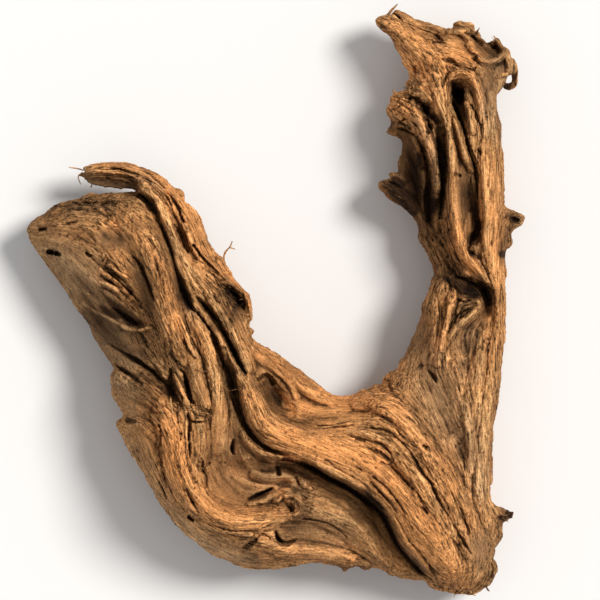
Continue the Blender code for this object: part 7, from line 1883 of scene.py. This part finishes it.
class Shading:
    """Short ways to add nodes to a material."""

    def __init__(self, name):
        self.material = bpy.data.materials.new(name)
        self.material.use_nodes = True
        self.nodes = self.material.node_tree.nodes
        self.links = self.material.node_tree.links
        self.surface = self.nodes["Principled BSDF"].inputs

    def add(self, kind):
        return self.nodes.new("ShaderNode" + kind)

    def link(self, start, end):
        self.links.new(start, end)

    def attribute(self, name):
        """One of the mesh's own colour layers."""
        node = self.add("VertexColor")
        node.layer_name = name
        return node

    def math(self, operation, *values):
        """The result of one operation on numbers and sockets."""
        node = self.add("Math")
        node.operation = operation
        for socket, value in zip(node.inputs, values):
            if isinstance(value, (int, float)):
                socket.default_value = value
            else:
                self.link(value, socket)
        return node.outputs[0]

    def grain(self, vector, scale, detail):
        """Noise at a place, from 0 to 1."""
        node = self.add("TexNoise")
        node.inputs["Scale"].default_value = scale
        node.inputs["Detail"].default_value = detail
        node.inputs["Roughness"].default_value = GRAIN_ROUGHNESS
        self.link(vector, node.inputs["Vector"])
        return node.outputs["Fac"]


def wood_material():
    """Dry weathered wood: the mesh's own colours, with thin fibres, pores and dust over them.

    The fibres are noise stretched along one of a few ways in plan. The mesh says how much of each way a
    place takes, and how fibrous it is.
    """
    wood = Shading("weathered_wood")
    math, link = wood.math, wood.link
    place = wood.add("TexCoord").outputs["Object"]
    colour = wood.attribute("wood")
    fibres = None
    for half in range(2):
        weights = wood.add("SeparateColor")
        ways = wood.attribute(f"ways_{half}")
        link(ways.outputs["Color"], weights.inputs["Color"])
        for k in range(4):
            turned = wood.add("Mapping")
            turned.vector_type = "TEXTURE"
            turned.inputs["Rotation"].default_value = (0, 0, np.pi * (4 * half + k) / WAYS)
            turned.inputs["Scale"].default_value = FIBRE_SIZE
            link(place, turned.inputs["Vector"])
            weight = weights.outputs[k] if k < 3 else ways.outputs["Alpha"]
            grain = wood.grain(turned.outputs["Vector"], 1.0, 2)
            one = math("MULTIPLY", math("SUBTRACT", grain, 0.5), weight)
            fibres = one if fibres is None else math("ADD", fibres, one)
    fibres = math("MULTIPLY", fibres, colour.outputs["Alpha"])
    dust = math("SUBTRACT", wood.grain(place, DUST_SCALE, 3), 0.5)
    hairlines = math("MINIMUM", math("SUBTRACT", fibres, HAIRLINE), 0.0)
    shade = math("MULTIPLY_ADD", fibres, FIBRE_CONTRAST, COLOUR_LEVEL)
    shade = math("ADD", shade, math("MULTIPLY", hairlines, HAIRLINE_CONTRAST))
    shade = math("ADD", shade, math("MULTIPLY", dust, DUST_CONTRAST))
    shade = math("MAXIMUM", shade, DARKEST_SHADE)
    tint = wood.add("VectorMath")
    tint.operation = "SCALE"
    link(colour.outputs["Color"], tint.inputs[0])
    link(shade, tint.inputs["Scale"])
    link(tint.outputs["Vector"], wood.surface["Base Color"])
    link(math("MULTIPLY_ADD", dust, -0.5, WOOD_ROUGHNESS), wood.surface["Roughness"])
    wood.surface["Specular IOR Level"].default_value = WOOD_SHINE
    bump = wood.add("Bump")
    bump.inputs["Strength"].default_value = 1.0
    bump.inputs["Distance"].default_value = BUMP_DEPTH
    link(math("ADD", math("MULTIPLY", fibres, 1.1), math("MULTIPLY", dust, 0.5)), bump.inputs["Height"])
    link(bump.outputs["Normal"], wood.surface["Normal"])
    return wood.material


def in_place(points):
    """Plan millimetres to metres about the root's own origin."""
    points = np.array(points, float)
    points[:, :2] -= PLAN_CENTRE
    return points / 1000


def way_weights(angle):
    """How much of each of the fixed ways makes up each direction in plan."""
    step = np.pi / WAYS
    turn = (angle[:, None] - step * np.arange(WAYS)) % np.pi
    turn = np.minimum(turn, np.pi - turn)
    weight = np.clip(1 - turn / step, 0, 1)
    return weight / np.sqrt((weight**2).sum(axis=1))[:, None]


def add_mesh(name, vertices, quads, normals, colours, angles):
    """A piece of the wood from quads in plan millimetres, with its colours and its fibres' direction."""
    mesh = bpy.data.meshes.new(name)
    mesh.vertices.add(len(vertices))
    mesh.vertices.foreach_set("co", in_place(vertices).ravel())
    mesh.loops.add(quads.size)
    mesh.loops.foreach_set("vertex_index", quads.ravel().astype(np.int32))
    mesh.polygons.add(len(quads))
    mesh.polygons.foreach_set("loop_start", np.arange(0, quads.size, 4, dtype=np.int32))
    mesh.update(calc_edges=True)
    mesh.polygons.foreach_set("use_smooth", np.ones(len(quads), bool))
    weights = way_weights(angles)
    for label, values in (("wood", colours), ("ways_0", weights[:, :4]), ("ways_1", weights[:, 4:])):
        layer = mesh.color_attributes.new(label, "FLOAT_COLOR", "POINT")
        layer.data.foreach_set("color", values.astype(np.float32).ravel())
    mesh.normals_split_custom_set_from_vertices(normals.tolist())
    mesh.materials.append(WOOD)
    obj = bpy.data.objects.new(name, mesh)
    bpy.context.scene.collection.objects.link(obj)
    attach(obj, "root")
    return obj


def add_skin(side, cell, ending):
    """One side of the wood, as one mesh for each piece; below, the base is one piece."""
    skin = Skin(side, cell)
    vertices, quads, normals = skin.surface()
    move = relief_at(skin, vertices, normals)
    strength = 1 - 0.75 * skin.plan.sampled(skin.smooth, vertices)
    colours = np.column_stack([wood_colour(skin, vertices, normals), strength])
    angles = skin.angle_at(vertices)
    vertices = vertices + normals * move[:, None]
    if side < 0:
        vertices[:, 2] = np.maximum(vertices[:, 2], 0.0)
    normals = facing(vertices, quads)
    number = piece_of(vertices[quads].mean(axis=1)[:, :2])
    if side < 0:
        number[number == NAMES.index("root_base_east")] = NAMES.index("root_base_west")
    for k, name in enumerate(NAMES):
        own = quads[number == k]
        if len(own):
            used, index = without_spares(own)
            label = (node_of(name) if side < 0 else name) + ending
            obj = add_mesh(label, vertices[used], index, normals[used], colours[used], angles[used])
            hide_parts(node_of(name))
            print(obj.name, 2 * len(own), "triangles")
    return skin


def tubes(lines, sides):
    """Tapered round tubes along lines of x, y, z and radius; all lines have as many points."""
    lines = np.asarray(lines, float)
    count, steps = lines.shape[:2]
    ahead = np.gradient(lines[:, :, :3], axis=1)
    ahead /= np.maximum(np.linalg.norm(ahead, axis=2, keepdims=True), 1e-9)
    across = np.cross(ahead, [0.0, 0.0, 1.0])
    across /= np.maximum(np.linalg.norm(across, axis=2, keepdims=True), 1e-9)
    up = np.cross(across, ahead)
    turn = 2 * np.pi * np.arange(sides) / sides
    ring = np.cos(turn)[:, None] * across[:, :, None] + np.sin(turn)[:, None] * up[:, :, None]
    vertices = lines[:, :, None, :3] + lines[:, :, None, 3:] * ring
    index = np.arange(count * steps * sides).reshape(count, steps, sides)
    after = np.roll(index, -1, axis=2)
    quads = np.stack([index[:, :-1], after[:, :-1], after[:, 1:], index[:, 1:]], axis=-1).reshape(-1, 4)
    return vertices.reshape(-1, 3), quads[:, ::-1], np.repeat(np.arange(count), steps * sides)


def strand_heights(skin, points):
    """The height of the wood's upper side along lines; past the edge a line keeps its last height."""
    flat = points.reshape(-1, 2)
    height = skin.plan.sampled(skin.top + skin.relief, flat).reshape(points.shape[:2])
    inside = (skin.plan.sampled(skin.shape.wood.astype(float), flat) > 0.99).reshape(points.shape[:2])
    for step in range(1, points.shape[1]):
        height[:, step] = np.where(inside[:, step], height[:, step], height[:, step - 1])
    return height


def sliver_lines(skin, random):
    """Loose fibres and splinters that stand up a little where the wood is frayed."""
    frayed = (skin.shape.depth > 2.5) * (np.clip(skin.crumble - 0.25, 0, 1) + 0.004)
    seeds = Strokes(skin.plan, skin.angle, random).seeds(SLIVERS, frayed)
    angle = skin.angle_at(seeds) + random.normal(0, 0.22, SLIVERS) + np.pi * random.integers(0, 2, SLIVERS)
    length = random.uniform(*SLIVER_LENGTH, SLIVERS)
    bend = random.normal(0, 0.16, SLIVERS)
    t = np.linspace(0, 1, len(SLIVER_TAPER))
    way = angle[:, None] + bend[:, None] * t
    step = length[:, None] / (len(SLIVER_TAPER) - 1)
    x = seeds[:, :1] + np.cumsum(np.cos(way) * step, axis=1) - np.cos(way[:, :1]) * step
    y = seeds[:, 1:] + np.cumsum(np.sin(way) * step, axis=1) - np.sin(way[:, :1]) * step
    rise = random.uniform(*SLIVER_RISE, SLIVERS)[:, None] * t**1.6
    z = strand_heights(skin, np.stack([x, y], axis=2)) - 0.5 + rise
    radius = random.uniform(*SLIVER_RADIUS, SLIVERS)[:, None] * np.array(SLIVER_TAPER)
    return list(np.stack([x, y, z, radius], axis=2))


def rootlet_line(skin, rows):
    """One listed rootlet with as many points as a sliver, set on the wood that it grows from."""
    line = np.array(rows, float)
    share = np.linspace(0, len(line) - 1, len(SLIVER_TAPER))
    path = np.stack([np.interp(share, np.arange(len(line)), line[:, k]) for k in range(4)], axis=1)
    on_wood = skin.plan.sampled(skin.shape.wood.astype(float), path[:1]) > 0.99
    path[:, 2] += skin.plan.sampled(skin.top + skin.relief if on_wood else skin.shape.middle, path[:1])
    return path


def add_slivers(skin):
    """The slivers and the listed rootlets, as one mesh of thin tubes."""
    random = np.random.default_rng(SLIVER_SEED)
    lines = sliver_lines(skin, random) + [rootlet_line(skin, rows) for rows in ROOTLETS.values()]
    lines = np.array(lines)
    lines[:, :, 3] *= random.uniform(0.75, 1.25, lines.shape[:2])
    vertices, quads, number = tubes(lines, TUBE_SIDES)
    tone = random.uniform(0, 1, len(lines))[number]
    pale = np.where(number < SLIVERS, tone, 0.8 * tone + 0.1)
    pale = np.clip(pale + 0.8 * (noise(vertices, "sliver tone") - 0.5), 0, 1)
    colours = mixed(linear(SHADE)[None], linear(PALE)[None], pale)
    # Slivers are darkened by the dark tint beneath them, which is partly painted shade.
    dark = skin.plan.sampled(skin.tints[2], vertices)
    colours = colours * (1 - 0.6 * np.clip(dark, 0, 1))[:, None]
    colours = np.column_stack([colours, np.ones(len(colours))])
    add_mesh("slivers", vertices, quads, facing(vertices, quads), colours, skin.angle_at(vertices))


def add_floor():
    """A wide pale floor just under the wood."""
    bpy.ops.mesh.primitive_plane_add(size=FLOOR_SIZE, location=(0, 0, -FLOOR_DROP))
    floor = bpy.context.object
    floor.name = "floor"
    pale = Shading("pale_floor")
    pale.surface["Base Color"].default_value = FLOOR_COLOUR
    pale.surface["Roughness"].default_value = FLOOR_ROUGHNESS
    floor.data.materials.append(pale.material)


def add_lights():
    """A soft key light from the upper right, and an even fill from all round."""
    key = bpy.data.lights.new("key", "SUN")
    key.energy = KEY_STRENGTH
    key.angle = np.radians(KEY_SPREAD)
    key.color = KEY_COLOUR
    lamp = bpy.data.objects.new("key", key)
    lamp.rotation_euler = Vector(KEY_WAY).normalized().to_track_quat("Z", "Y").to_euler()
    bpy.context.scene.collection.objects.link(lamp)
    world = bpy.data.worlds.new("studio")
    world.use_nodes = True
    ground = world.node_tree.nodes["Background"]
    ground.inputs["Color"].default_value = (1.0, 1.0, 1.0, 1)
    ground.inputs["Strength"].default_value = FILL_STRENGTH
    bpy.context.scene.world = world


def add_camera():
    """A camera that looks straight down on the middle of the root."""
    camera = bpy.data.cameras.new("camera")
    camera.lens = LENS
    camera.sensor_width = SENSOR
    camera.clip_end = FARTHEST
    obj = bpy.data.objects.new("camera", camera)
    middle = (SOLID_BOX[0][2] + SOLID_BOX[1][2]) / 2
    obj.location = (*in_place([FRAME_CENTRE])[0][:2], middle + CAMERA_HEIGHT)
    obj.rotation_euler = (0, 0, 0)
    bpy.context.scene.collection.objects.link(obj)
    bpy.context.scene.camera = obj
    bpy.context.scene.view_settings.view_transform = "Standard"


WOOD = wood_material()
upper_skin = add_skin(1, UPPER_CELL, "_upper")
add_skin(-1, UNDER_CELL, "_under")
add_slivers(upper_skin)
add_floor()
add_lights()
add_camera()
